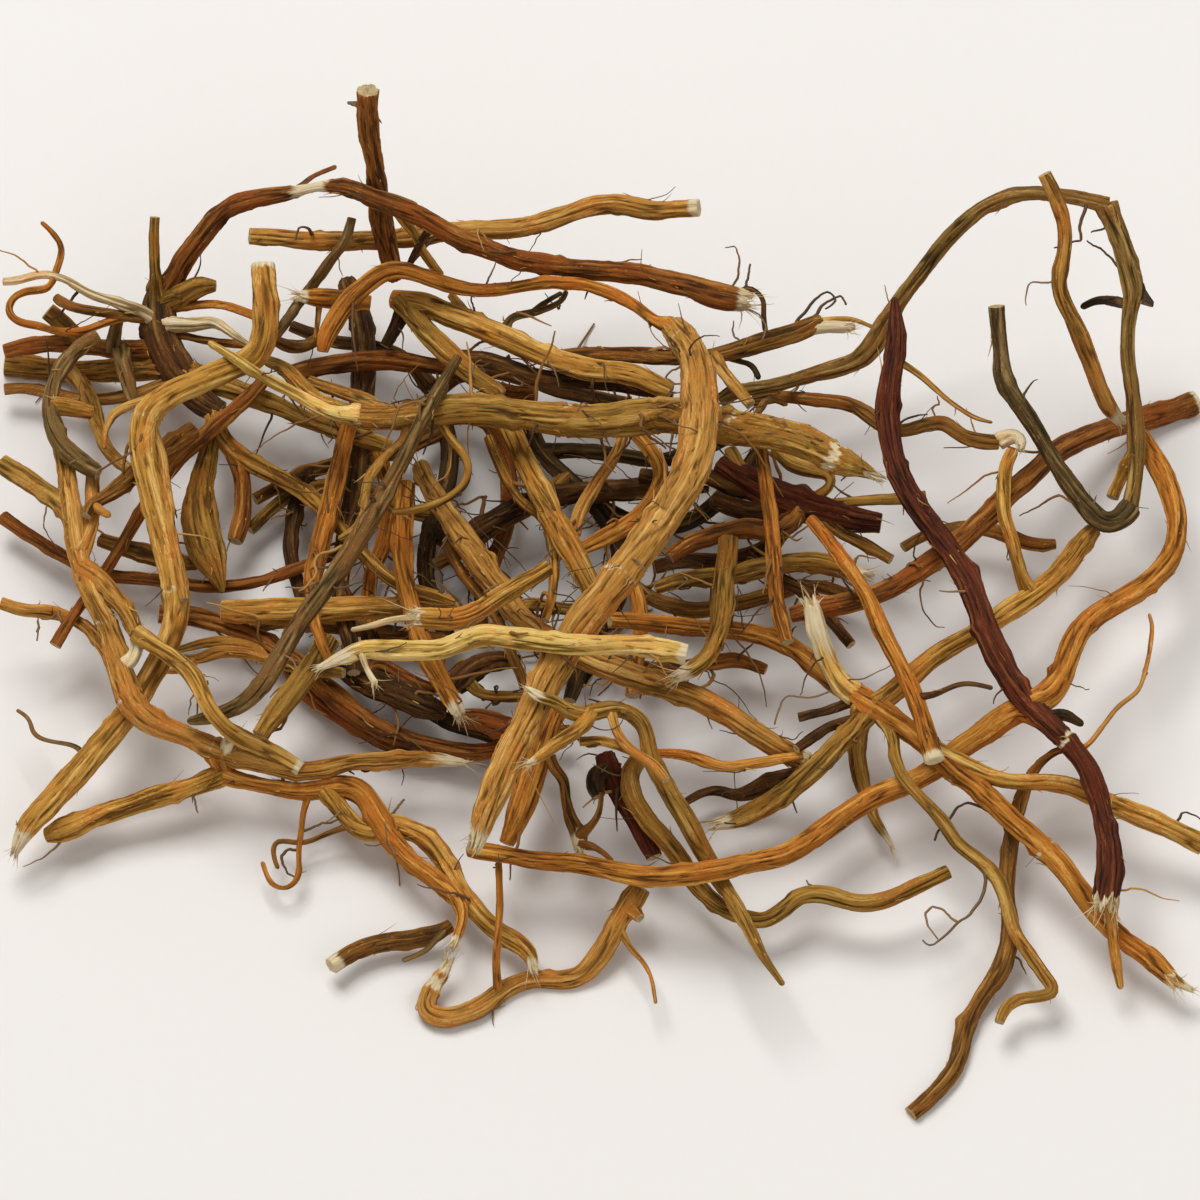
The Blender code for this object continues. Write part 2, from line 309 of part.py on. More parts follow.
         (-30, 20.5, 0.9), (-34, 18.8, 0.9), (-38, 17.8, 0.8), (-41, 17.5, 0.7)),
    root("side_loop", "main_root", "olive", 33, "main_root", (34, 29, 26, 24, 22),
         (-38, 36.8, 0.7), (-39.2, 31.8, 0.7), (-41.5, 30, 0.7), (-43.8, 27.5, 0.9), (-46, 24.5, 1.0),
         (-46.8, 21, 0.9), (-47, 17.5, 0.7), (-48.5, 14.6, 0.6), (-51.8, 12.3, 0.5)),
    root("brown_twig", "main_root", "brown", 32, "main_root", None,
         (30.5, 34, 0.8), (32, 38.2, 0.7), (34, 40.3, 0.6), (37, 39.2, 0.6)),
    root("thick_root", "thick_root", "tan", 38, None, (40, 44, 46, 44, 40, 34, 28),
         (14.5, 54.5, 2.2), (16.5, 52, 2.8), (18.5, 48.5, 3.2), (19.6, 45, 3.4), (19.8, 40, 3.5),
         (19.8, 35, 3.6), (19.3, 30, 3.6), (17.7, 25, 3.6), (15, 20, 3.5), (12, 15.5, 3.4), (8.5, 10.5, 3.4),
         (5, 6, 3.5), (1.5, 1.5, 3.5), (-2.5, -3, 3.3), (-6.5, -9, 3.1), (-10, -15, 3.0), (-13, -21, 3.0),
         (-16, -27, 3.1), (-19, -33, 3.1), (-21.5, -39, 2.9), (-23.3, -44, 2.4), (-24.3, -47.3, 1.6)),
    root("thick_root_tail", "thick_root", "orange", 38, "thick_root", (40, 37, 34, 36, 38, 36, 33),
         (15, 54, 1.3), (11.5, 55.2, 1.2), (8.5, 57.7, 1.2), (5, 60, 1.2), (1, 61.8, 1.3), (-3, 63, 1.3),
         (-8, 63.4, 1.3), (-12, 63.3, 1.25), (-16, 62.6, 1.2), (-20, 62, 1.3), (-24, 61.8, 1.3),
         (-28, 62.3, 1.4), (-32, 63.5, 1.5), (-36, 65, 1.6), (-40, 66, 1.7), (-43, 65.5, 1.8),
         (-46, 63.5, 1.9), (-49, 61, 2.0), (-51.5, 58, 2.0), (-53.5, 55, 1.9), (-55, 52, 1.7),
         (-55.4, 49.6, 1.0)),
    root("gold_root", "gold_root", "gold", 30, None, None,
         (-41.5, 60.3, 1.6), (-38, 59.8, 2.1), (-34, 58.7, 2.3), (-30, 57, 2.3), (-26, 55.5, 2.3),
         (-22, 53.8, 2.2), (-18, 52, 2.2), (-14, 50, 2.1), (-10, 48.3, 2.0), (-6, 47, 2.0), (-2, 46, 2.0),
         (2, 45.7, 2.0), (6, 45, 2.1), (9, 44, 2.0), (12, 42.5, 1.9), (14, 41.5, 1.7)),
    root("gold_lower_fork", "gold_root", "olive", 28, "gold_root", None,
         (-39.5, 60, 1.6), (-37.5, 57, 1.9), (-35, 54, 2.1), (-32, 51, 2.1), (-29.3, 48.5, 2.0),
         (-26.7, 46, 1.9), (-24, 44, 1.8), (-21.5, 42.5, 1.7), (-19.5, 41, 1.3)),
    root("under_gold", "gold_root", "dark", 25, "gold_lower_fork", None,
         (-29, 48.3, 1.2), (-24, 48.5, 1.3), (-19, 47, 1.5), (-14, 45.3, 1.4), (-9, 44.3, 1.4),
         (-4, 43.4, 1.3), (1, 43, 1.3), (6, 42.3, 1.2), (11, 41.3, 1.2), (14.5, 40.5, 1.0)),
    root("gold_down_branch", "gold_root", "dark", 20, "gold_root", None,
         (-38.5, 59, 1.5), (-41, 54.5, 1.4), (-43, 50.8, 1.0)),
    root("fork_twig", "gold_root", "grey", 31, "gold_root", None,
         (-19.2, 52.6, 1.0), (-18.3, 56, 0.8), (-13, 57.5, 0.7), (-10, 58.5, 0.6), (-7.3, 60, 0.5),
         (-6.8, 61.5, 0.45)),
    root("fork_twig_upper", "gold_root", "grey", 31, "fork_twig", None,
         (-13.5, 57.4, 0.6), (-10.8, 59.7, 0.6), (-8, 61.3, 0.5)),
    root("olive_twig", "gold_root", "olive", 31, "gold_root", None,
         (-26.5, 56, 0.9), (-28, 58.8, 0.9), (-29.6, 61, 0.8)),
    root("pale_root", "pale_root", "straw", 40, None, (34, 36, 38, 38, 36),
         (-55.5, -13.5, 0.6), (-51, -11.3, 1.3), (-47, -9.7, 1.7), (-42, -9.8, 1.9), (-36, -10, 1.9),
         (-31, -9.7, 1.9), (-27, -8, 2.0), (-23, -7, 2.0), (-18, -7.4, 2.0), (-12, -8.2, 1.9), (-6, -9, 1.9),
         (0, -9, 1.9), (6, -9, 1.9), (12, -9.8, 2.0), (17, -10.8, 2.0)),
    root("pale_splinter", "pale_root", "cream", 40, "pale_root", None,
         (-47.5, -9.8, 0.7), (-46.5, -13, 0.6), (-44.5, -16.5, 0.7)),
    root("gold_short_root", "gold_short_root", "gold", 31, None, None,
         (-36.3, -3.5, 2.0), (-32, -3.9, 2.0), (-28, -3.8, 2.0), (-25, -2.8, 1.9), (-21.5, -0.5, 1.7),
         (-18, 1.8, 1.7), (-14, 4, 1.6), (-10.2, 6.3, 1.5)),
    root("gold_short_splinter", "gold_short_root", "cream", 31, "gold_short_root", None,
         (-35.5, -3.5, 0.8), (-40, -3.7, 0.6), (-45, -5, 0.6), (-49, -5.9, 0.5)),
    root("olive_diagonal", "olive_diagonal", "gold", 21, None, None,
         (-18.3, 35, 2.0), (-15.8, 29.5, 2.2), (-13.2, 24, 2.2), (-10.3, 18.5, 2.3), (-7.5, 13, 2.3),
         (-4.7, 8, 2.3), (-2, 3, 2.2), (0.5, -2, 2.0)),
    root("thin_olive", "thin_olive", "gold", 20, None, None,
         (-22.3, 32.5, 1.0), (-20, 27, 1.1), (-17.8, 22.5, 1.1), (-14.8, 18.7, 1.1), (-11.5, 16.5, 1.1),
         (-9.8, 13, 1.0), (-9.2, 8, 1.0), (-9.2, 3, 1.0), (-10.2, -2, 0.9), (-11, -4, 0.8)),
    root("dark_curved_root", "dark_curved_root", "dark", 9, None, None,
         (-25.8, 13.3, 1.9), (-21.5, 15.8, 1.9), (-17, 18.4, 2.0), (-11, 20.2, 2.0), (-4, 21.4, 2.1),
         (3, 21.8, 2.2), (10, 22.2, 2.2), (16, 22.5, 2.0), (21.5, 23, 1.6)),
    root("broad_olive_root", "broad_olive_root", "olive", 18, None, None,
         (-36, 27, 1.5), (-34, 22.5, 1.9), (-31.5, 18.5, 2.2), (-28.5, 14, 2.4), (-25.3, 9.5, 2.5),
         (-22.5, 5.5, 2.5), (-19.5, 1.5, 2.4), (-16.5, -2.5, 2.2), (-12.5, -6, 2.0), (-7.5, -9, 2.0),
         (-2, -11.8, 2.2), (4, -14.2, 2.3), (10, -16.3, 2.3), (16, -18.2, 2.3), (21, -20.3, 2.3),
         (26, -23, 2.3), (31, -26.5, 2.3), (36, -29.7, 2.2), (41, -32.3, 2.1)),
    root("thin_cross_root", "thin_cross_root", "brown", 14, None, None,
         (-30.5, 11, 1.0), (-28.5, 7, 1.1), (-26.3, 3.7, 1.1), (-23.5, 0.5, 1.1), (-20.8, -3, 1.0),
         (-19, -7, 1.0), (-17.6, -11, 1.0), (-15.5, -15.5, 0.9), (-15, -18, 0.8)),
    root("back_upright", "back_upright", "orange", 8, None, None,
         (7, 3, 1.5), (8, -2, 1.6), (8, -7, 1.6), (7, -13, 1.6), (6.5, -19, 1.4)),
    root("orange_short", "orange_short", "orange", 19, None, None,
         (-4, 10, 1.2), (0, 12, 1.6), (4, 14, 1.7), (8, 17, 1.7), (11, 20.5, 1.6), (12.5, 25, 1.5),
         (10, 30, 1.4), (7, 33.5, 1.3)),
    root("tan_upright", "tan_upright", "tan", 20, None, None,
         (-5, 13, 1.2), (-4.2, 17, 1.3), (-2, 21, 1.3), (0.5, 25, 1.2), (3, 28.5, 1.2), (4.5, 33, 1.1)),

    # Roots in the lower middle
    root("white_tipped_root", "white_tipped_root", "olive", 39, None, (34, 33, 30, 26, 22, 20, 18, 16),
         (-14.3, -17.6, 0.8), (-12, -19.3, 1.3), (-9.5, -19.8, 1.2), (-6.5, -22, 1.5), (-2.5, -22.7, 1.6),
         (1.5, -21.7, 1.6), (5, -22, 1.6), (8, -24, 1.5), (9.3, -27.5, 1.4), (10, -31, 1.6), (12, -35, 1.7),
         (14.5, -39.5, 1.8), (16.5, -42.5, 1.9), (18.5, -46, 1.9), (21, -51, 1.8), (24, -56, 1.6),
         (27, -60.5, 1.5), (29.5, -65, 1.3), (32, -70, 0.9), (34, -73, 0.7), (36, -75.7, 0.5)),
    root("braid_strand", "white_tipped_root", "tan", 34, "white_tipped_root", None,
         (1.5, -22, 0.8), (4, -27.5, 0.8), (7, -30.3, 0.9), (10.5, -32.5, 1.0), (13, -35.5, 0.9)),
    root("gold_cross_strand", "white_tipped_root", "gold", 32, "white_tipped_root", None,
         (11.5, -33.6, 1.0), (8, -31, 0.9), (4, -29, 0.9), (0, -27.8, 0.9), (-4, -28, 0.8)),
    root("gold_over_piece", "white_tipped_root", "gold", 39, "white_tipped_root", None,
         (-2.5, -22.7, 1.3), (-3.5, -25, 1.4), (-6.5, -27, 1.5), (-9.5, -29, 1.4), (-12, -31, 1.0),
         (-14.3, -32.3, 0.6)),
    root("wavy_root", "wavy_root", "olive", 15, None, (13, 11, 9, 7, 6, 7, 9, 10, 10, 11, 12),
         (8.3, -31, 1.6), (6, -34.5, 1.8), (6.2, -38, 1.9), (9, -43, 1.9), (13, -47.5, 2.0), (16, -51.5, 2.0),
         (18, -55, 1.8), (21, -58.5, 1.7), (25, -61.5, 1.6), (29, -63, 1.5), (32.5, -63.5, 1.6),
         (36, -61.5, 1.6), (39, -59, 1.6), (42, -58.2, 1.6), (46, -58.7, 1.6), (50, -60, 1.5), (54, -60, 1.5),
         (58, -58.8, 1.5), (62, -57, 1.5), (66, -55.2, 1.5), (69, -53.7, 1.4)),
    root("dark_short_root", "dark_short_root", "darkred", 14, None, None,
         (1, -31, 2.0), (2, -34, 2.3), (4.5, -39, 2.2), (7.5, -44, 2.1), (9.5, -48, 2.0), (10.8, -51, 1.5)),
    root("dark_short_knot", "dark_short_root", "black", 15, "dark_short_root", None,
         (1.8, -33.2, 1.3), (-0.7, -35, 1.9), (-1, -37, 1.9), (-0.3, -39, 1.2)),
    root("under_thick_root", "under_thick_root", "orange", 10, None, None,
         (-9, -22, 2.2), (-11.5, -28, 2.4), (-13.5, -34.5, 2.6), (-15.8, -41.5, 2.5), (-18.6, -48.3, 1.4)),
    root("knotted_twig", "knotted_twig", "brown", 18, None, (12, 11, 10, 9),
         (-10, -31, 1.1), (-9.5, -33, 1.1), (-7.2, -35.5, 1.0), (-6.8, -39.5, 1.0), (-6, -43, 1.1),
         (-4.3, -46.3, 1.6), (-4, -49.8, 1.2)),
    root("knotted_twig_arm", "knotted_twig", "brown", 18, "knotted_twig", None,
         (-4.3, -46.3, 0.9), (-1, -43.8, 0.6), (0.3, -40.5, 0.5), (0.2, -38.5, 0.45)),
    root("knotted_twig_spike", "knotted_twig", "brown", 18, "knotted_twig", None,
         (-4.1, -48, 0.8), (0, -49.5, 0.6), (2.3, -51.7, 0.45)),
    root("orange_level_thin", "orange_level_thin", "orange", 20, None, None,
         (11.5, -30.3, 0.8), (16, -30.5, 1.0), (20, -31.5, 1.0), (24, -33, 1.0), (28, -32.7, 1.0),
         (33, -32, 1.0), (36.5, -31.5, 1.0), (40, -31, 0.8)),
    root("bottom_loop", "bottom_loop", "tan", 10, None, (9, 6, 4, 2, 0, 0, 0, 0, 0, 0, 0, 2, 5),
         (8, -57, 2.0), (6.5, -59.5, 2.2), (4, -63, 2.1), (2, -67, 2.0), (-0.5, -71, 1.9), (-4, -74.5, 1.8),
         (-8, -75.3, 1.7), (-13, -75, 1.7), (-17.5, -76.3, 1.8), (-22, -79.5, 1.9), (-26.5, -82, 2.0),
         (-31, -82.8, 2.1), (-34.5, -81.3, 2.1), (-34.2, -78.5, 1.9), (-32, -75, 1.5), (-30.2, -71.8, 1.0)),
    root("loop_stub", "bottom_loop", "tan", 10, "bottom_loop", None,
         (5.3, -61, 1.2), (7, -62, 1.2), (8, -63, 1.0)),
    root("loop_rootlet", "bottom_loop", "tan", 12, "bottom_loop", (5, 6, 7),
         (3.2, -64.5, 0.8), (6, -69, 0.6), (8.5, -71.5, 0.5), (10.3, -75, 0.45), (11, -79.5, 0.4)),
    root("drop_rootlet", "bottom_loop", "orange", 28, "bottom_loop", (2, 8, 13, 12, 9, 9),
         (-20.3, -78.2, 0.9), (-20.6, -72, 0.8), (-20.2, -66, 0.7), (-19.9, -60, 0.7), (-20.1, -54, 0.65),
         (-20.2, -49, 0.6)),
    root("short_low_root", "short_low_root", "brown", 12, None, (4, 3, 3, 4),
         (-53.3, -72.5, 1.6), (-50, -70.3, 1.7), (-46, -68.6, 1.7), (-41, -67.6, 1.7), (-36, -67, 1.8),
         (-32, -65.8, 1.7), (-29.7, -64.5, 1.3)),
    root("short_low_twig", "short_low_root", "grey", 12, "short_low_root", None,
         (-31.5, -65.8, 0.6), (-35, -69.7, 0.5), (-38.8, -71.2, 0.45)),

    # Dark red root on the right, with the long orange root that crosses it
    root("dark_red_root", "dark_red_root", "darkred", 36, None, (40, 36, 33, 31, 29, 28, 26, 24, 21, 18, 15),
         (58.8, 60, 0.5), (59, 56, 1.4), (59, 51, 1.9), (58, 45, 2.2), (57.3, 39, 2.3), (58, 31, 2.2),
         (60, 24, 2.3), (63.5, 18, 2.1), (67.5, 12.5, 2.2), (71, 7.5, 2.3), (74, 2, 2.4), (76, -4, 2.5),
         (78.5, -10, 2.6), (82, -16.5, 2.4), (86, -21.5, 2.3), (89.5, -25, 2.1), (93, -28.5, 2.0),
         (96.5, -33, 1.9), (98.5, -38, 2.0), (100, -44, 2.1), (101, -50, 2.6), (100.5, -56, 2.9),
         (100, -60, 2.7)),
    root("long_orange", "dark_red_root", "orange", 29, "dark_red_root", (24, 18, 13, 12, 12, 13, 14, 13, 12, 10),
         (88, -23.6, 1.8), (84, -21.6, 2.5), (80, -23.5, 2.5), (76, -26.5, 2.3), (71, -30, 2.2),
         (66, -33.8, 2.1), (61, -36.5, 2.1), (56, -38.3, 2.1), (51, -41, 2.2), (46, -44.5, 2.2),
         (41, -48, 2.1), (36, -50.7, 1.9), (30, -52, 1.9), (24, -53.3, 2.0), (18, -54.2, 2.0),
         (12, -54.7, 2.1), (6, -54.3, 2.1), (0, -53, 2.0), (-6, -52, 1.9), (-12, -51.7, 1.7),
         (-18, -50.7, 1.6), (-23, -49.8, 1.8), (-26, -49.5, 1.3)),
    root("orange_rise", "dark_red_root", "orange", 29, "dark_red_root", (24, 23, 21, 19, 18, 18, 17, 16),
         (85, -20.2, 2.0), (88.5, -19, 2.5), (91, -16, 2.4), (93, -11, 2.3), (95, -6.5, 2.2),
         (98, -3.5, 2.1), (103, -0.5, 2.1), (108, 2.5, 2.1), (112, 6, 2.2), (114.5, 10, 2.1),
         (115.2, 15, 2.1), (114.3, 20, 2.1), (112.5, 25, 2.0), (110, 29.5, 1.9), (108.3, 33, 1.5)),
    root("dark_low_root", "dark_red_root", "dark", 10, "dark_red_root", (20, 13, 9, 7, 6, 5, 3, 1, 0, 0, 0),
         (93, -28.5, 0.9), (90, -30.3, 0.7), (87.5, -32.3, 0.8), (85.8, -34.5, 1.0), (84.3, -38, 1.4),
         (82.8, -42, 1.4), (81.8, -47, 1.5), (80.9, -53, 1.5), (80.8, -59, 1.4), (81.3, -64, 1.6),
         (80.8, -69, 1.9), (79.6, -73, 1.9), (77, -77, 1.7), (74, -81.5, 1.7), (72, -86, 1.8),
         (70.8, -91, 1.7), (68.5, -95, 1.8), (65, -98.6, 1.7), (61.5, -101.5, 1.5)),
    root("torn_knot", "dark_red_root", "black", 37, "dark_red_root", None,
         (88.3, -24, 1.3), (91.5, -22.6, 1.1), (95.3, -24.5, 0.7)),
    root("tan_whisker", "dark_red_root", "tan", 30, "dark_red_root", (20, 19, 18, 18),
         (94.5, -30.2, 0.6), (96.5, -29, 0.55), (99, -26, 0.5), (103, -21, 0.5), (107, -18, 0.5),
         (108.5, -14, 0.5), (109.7, -8, 0.5), (110, -5, 0.45), (109.4, -3, 0.4)),
    root("golden_tip", "dark_red_root", "gold", 36, "dark_red_root", (15, 12, 9, 6),
         (100.3, -58, 1.2), (101.3, -64, 1.1), (101.8, -69, 1.1), (103, -76.5, 0.6)),
    root("straight_twig", "dark_red_root", "tan", 36, "dark_red_root", None,
         (58.6, 48.3, 0.8), (64, 44.7, 0.6), (68, 41, 0.6), (71.5, 38.3, 0.55), (75, 36.2, 0.45),
         (78, 35.5, 0.35)),

    # Crown at the lower right
    root("crown_runner", "right_crown", "orange", 22, None, (13, 14, 14, 15, 17, 18, 15, 12, 10, 8, 6),
         (2, -4, 1.6), (8, -4.3, 1.7), (14, -5, 1.8), (20, -5.7, 1.8), (26, -6, 1.8), (32, -7, 1.8),
         (37, -9, 1.9), (41.5, -12, 2.0), (46, -15.5, 2.1), (50, -18.3, 2.3), (54, -21, 2.6),
         (58, -23.5, 2.1), (62, -26.5, 2.0), (66, -30, 1.9), (70, -33.7, 2.0), (75, -37.3, 2.0),
         (80, -42, 2.0), (85.5, -47, 2.1), (91, -52.3, 2.1), (95, -57.5, 2.0), (99, -63, 2.0),
         (104, -67.5, 2.0), (109, -71, 2.0), (113.5, -75.5, 1.6)),
    root("torn_lobe", "right_crown", "tan", 22, "crown_runner", (6, 5),
         (112.6, -74.7, 1.2), (115.5, -76.3, 0.9), (117.2, -77.2, 0.6)),
    root("spotted_root", "right_crown", "tan", 24, "crown_runner", (17, 18, 18, 18, 18, 17, 14, 11),
         (54, -21, 1.9), (58, -18.5, 2.0), (62, -15, 2.0), (66, -11.5, 2.0), (71, -8.5, 2.0), (76, -6, 2.0),
         (80, -3, 2.0), (85, 0, 2.0), (89, 3, 2.0), (93, 7, 2.0), (96, 11, 2.0), (98.5, 14, 1.6)),
    root("jointed_root", "right_crown", "gold", 28, "spotted_root", (18, 22, 25, 26, 25),
         (86, 0.8, 1.4), (84.5, 3.5, 1.3), (83.5, 7, 1.3), (82, 12, 1.3), (80.7, 16, 1.3), (80.3, 21, 1.4),
         (80.7, 26, 1.4), (82.2, 29.5, 1.2)),
    root("yellow_right", "right_crown", "gold", 27, "crown_runner", (18, 16, 15, 14, 13, 12, 10),
         (65.5, -29.6, 1.3), (69, -31, 1.7), (73, -33, 1.7), (78, -35.3, 1.6), (84, -36.2, 1.6),
         (90, -36.3, 1.7), (95, -37.5, 1.8), (100, -39.8, 1.9), (105, -42, 1.9), (110, -44, 2.0),
         (115, -46.3, 2.0), (119.6, -48.6, 1.9)),
    root("olive_tail", "right_crown", "olive", 31, "crown_runner", (17, 17, 17, 15, 12, 10, 9, 8, 7, 6, 6),
         (56, -22.3, 1.4), (58, -27, 1.3), (58.5, -31, 1.1), (60, -35, 1.1), (64, -39.5, 1.1), (68, -44, 1.3),
         (71, -48.5, 1.3), (75, -51.5, 1.4), (78.5, -55, 1.4), (80.5, -60, 1.2), (82, -65.5, 1.2),
         (85, -70, 1.2), (88, -74.5, 1.3), (90, -77.6, 1.2), (86.5, -78.5, 1.1), (82.5, -79, 1.1),
         (80, -81, 1.1), (79, -83.5, 0.9)),
    root("olive_stub", "right_crown", "olive", 23, "crown_runner", (16, 14, 12, 10, 9, 8, 8),
         (53.5, -21.2, 2.1), (50, -26.3, 2.1), (46, -30, 2.1), (42, -34, 2.1), (37, -38, 2.1),
         (32, -41.3, 2.1), (27, -43.5, 1.9), (23.3, -44.5, 1.4)),
    root("white_stub", "right_crown", "straw", 28, "crown_runner", (17, 19, 22, 25, 27),
         (51, -19.2, 2.1), (48.3, -17.2, 1.9), (46, -13.5, 1.8), (44.2, -9.5, 1.9), (42.8, -5, 1.9),
         (42, -0.8, 1.7)),
    root("brown_short", "right_crown", "dark", 17, "olive_stub", (10, 7, 6, 6, 7),
         (40.5, -35.2, 1.3), (38.3, -35, 1.6), (34, -36, 1.8), (30, -38.2, 1.7), (27, -38.8, 1.1),
         (23.5, -37.8, 0.9), (20, -38.5, 0.8), (17.3, -40, 0.7)),
    root("dark_twig_upper", "right_crown", "dark", 20, "crown_runner", (17, 15, 14),
         (51.5, -19.5, 1.0), (44, -22.3, 0.9), (39.5, -23.3, 0.8)),
    root("dark_twig_lower", "right_crown", "dark", 21, "olive_stub", (16, 14, 13),
         (52, -23.5, 1.1), (45, -25.5, 1.1), (41.5, -27.8, 1.0), (39, -29.5, 0.9)),
    root("down_root", "right_crown", "olive", 15, "crown_runner", (15, 8, 5, 4, 4),
         (53, -20.8, 2.0), (51, -28, 1.9), (51.3, -32, 1.8), (52, -36.5, 1.5), (53.5, -40, 1.1),
         (54.5, -43.5, 1.0), (56.5, -46.5, 0.8), (58, -49, 0.5)),

    # Centre crown and the roots round it
    root("centre_crown", "centre_crown", "darkred", 14, None, (15, 15, 15),
         (24, 27, 2.0), (29, 24, 2.6), (34, 21.5, 3.0), (39, 19.5, 3.2), (44, 18, 2.8), (50, 16.3, 2.5),
         (56, 15.3, 1.9)),
    root("crown_left_strand", "centre_crown", "dark", 15, "centre_crown", (15, 14, 14),
         (36, 20.6, 1.8), (32, 17.5, 1.8), (27, 18.3, 1.8), (22.5, 20, 1.5)),
    root("crown_level_root", "centre_crown", "redbrown", 16, "centre_crown", (15, 17, 17, 16),
         (40, 19.2, 1.7), (38.3, 15.5, 1.8), (35, 13.8, 1.8), (29, 14.3, 1.9), (23, 12.8, 1.9),
         (18, 11.3, 1.8), (14, 8.5, 1.4)),
    root("crown_top_strand", "centre_crown", "olive", 15, "centre_crown", None,
         (30, 23.5, 1.5), (28, 26, 1.5), (26, 30, 1.3)),
    root("crown_curl", "centre_crown", "olive", 17, "centre_crown", (15, 17, 17, 16),
         (41, 18.9, 1.2), (43.5, 21, 1.0), (46, 22.6, 0.9), (46.3, 24.5, 1.0), (43, 25.6, 1.4),
         (39, 26.7, 1.6), (35, 30, 1.3)),
    root("crown_side_root", "centre_crown", "olive", 14, "centre_crown", (15, 15, 15),
         (43.5, 18.1, 1.2), (49, 19.5, 1.1), (55, 19.9, 1.1), (60, 20.2, 1.1), (65, 20.7, 1.2)),
    root("crown_low_strand", "centre_crown", "dark", 12, "centre_crown", (15, 11, 9, 8),
         (38, 19.8, 1.6), (36.5, 14, 1.6), (34, 11, 1.5), (29, 8.5, 1.6), (23, 7.5, 1.6), (17, 8, 1.5),
         (11, 6.5, 1.2)),
    root("olive_level_root", "olive_level_root", "olive", 13, None, None,
         (11, 2.5, 1.2), (16, 4, 1.6), (21, 4.6, 1.7), (26, 4.8, 1.8), (31, 6.2, 1.9), (37, 7.3, 1.9),
         (43, 7.5, 1.9), (48, 6.2, 1.8), (53, 4.8, 1.3)),
    root("orange_slant", "orange_slant", "orange", 37, None, (28, 31, 31, 30, 29, 27, 25),
         (42, 16, 1.2), (45, 12.5, 1.3), (48, 8.5, 1.4), (51, 4, 1.45), (53.5, 0, 1.5), (55.5, -5, 1.5),
         (58, -10, 1.6), (61, -16, 1.6), (63, -21, 1.6), (64.5, -26, 1.7), (66.3, -31.8, 1.9)),
    root("orange_slant_twig", "orange_slant", "dark", 37, "orange_slant", None,
         (62.4, -19.5, 0.7), (67, -18.6, 0.6), (70, -17, 0.5), (73, -16.5, 0.45), (77.5, -17.4, 0.4)),
    root("slanted_red_root", "slanted_red_root", "redbrown", 23, None,
         (0, 1, 6, 12, 16, 19, 21, 22, 22, 22, 21),
         (119.7, 39.8, 2.0), (114, 37.7, 2.2), (108, 36, 2.2), (102, 34.3, 2.1), (96, 32, 2.1), (91, 29.3, 2.1),
         (86, 25, 2.1), (81, 20.5, 2.1), (76, 15.5, 2.1), (71, 11, 2.1), (65, 7, 2.1), (59, 3, 2.0),
         (53, 0.5, 2.0), (47, -1, 2.0), (42, -2, 1.9), (38, -3, 1.3)),
    root("tan_thin_upright", "tan_thin_upright", "orange", 26, None, None,
         (32, 31, 1.2), (32.8, 25, 1.3), (33.4, 20, 1.4), (34.1, 15, 1.4), (34.5, 10, 1.5), (34.8, 5, 1.4),
         (35.2, 0, 1.4), (36.2, -4.5, 1.5), (37.3, -8.3, 1.2)),
    root("ragged_olive_root", "ragged_olive_root", "olive", 24, None, None,
         (25.6, 12, 1.8), (25.4, 8, 2.0), (24.6, 4, 2.0), (24.4, 0, 2.0), (24, -4, 1.8), (23, -8, 1.6),
         (21, -11.8, 1.7), (18, -14, 1.9), (15.3, -15.2, 1.2)),
    root("brown_bridge", "brown_bridge", "brown", 26, None, (14, 18, 22, 24, 24, 25, 26, 27),
         (31, 40, 1.2), (36, 40.7, 1.2), (41, 40.3, 1.3), (46, 39.8, 1.3), (50.5, 38.9, 1.4),
         (54, 36.5, 1.6), (57, 34.3, 1.4), (61, 33.8, 1.3), (65, 35, 1.4), (69, 35.3, 1.6), (71.5, 33, 1.6),
         (75, 31.8, 1.6), (79.5, 31.5, 1.5)),
    root("white_knot", "brown_bridge", "cream", 30, "brown_bridge", None,
         (79.5, 31.5, 1.3), (82, 32.8, 1.3), (84.2, 32.2, 1.1), (83.8, 30.5, 0.9)),
    root("low_side_root", "low_side_root", "brown", 12, None, (9, 9, 9, 9),
         (60.5, 10.5, 1.0), (64, 12.5, 1.0), (68, 14, 1.1), (73, 14.6, 1.2), (79, 13.8, 1.3), (84, 11.8, 1.2),
         (88, 11, 1.2), (91, 11.2, 0.9)),

    # Roots that arch over the upper right, and the upper sticks
    root("black_root", "black_root", "black", 34, None, (18, 18, 19, 20, 24, 32, 40, 47, 53, 54, 50),
         (24, 40, 1.3), (28, 42, 1.4), (33, 42.6, 1.4), (38, 43.8, 1.4), (43, 45.3, 1.5), (48, 46.6, 1.8),
         (52, 48.2, 1.9), (54.3, 50.5, 2.2), (55.8, 53.2, 2.0), (58, 57, 1.6), (61, 61.3, 1.6),
         (65, 66.6, 1.5), (69, 71.8, 1.5), (73, 75.6, 1.5), (77.5, 78.9, 1.4), (82, 80.7, 1.4),
         (87, 81.2, 1.4), (92, 80.6, 1.4), (97, 79.7, 1.5), (101, 78.7, 1.7)),
    root("black_drop", "black_root", "black", 37, "black_root", (50, 45, 40, 36, 31, 26, 22, 19, 17),
         (101, 78.7, 1.7), (102.8, 74.5, 1.8), (104.3, 70, 1.8), (105.5, 65.5, 2.0), (106.5, 61.5, 2.1),
         (105.8, 58, 1.5), (105.3, 53, 1.4), (105.4, 48, 1.5), (106.3, 42, 1.5), (106.8, 36, 1.6),
         (107, 30, 1.8), (106.7, 24, 1.5), (105.8, 18.7, 1.6)),
    root("black_spike", "black_root", "black", 37, "black_drop", None,
         (106.3, 61.3, 1.8), (108.5, 60.3, 1.2), (110.2, 59.2, 0.6)),
    root("black_twig", "black_root", "dark", 37, "black_drop", None,
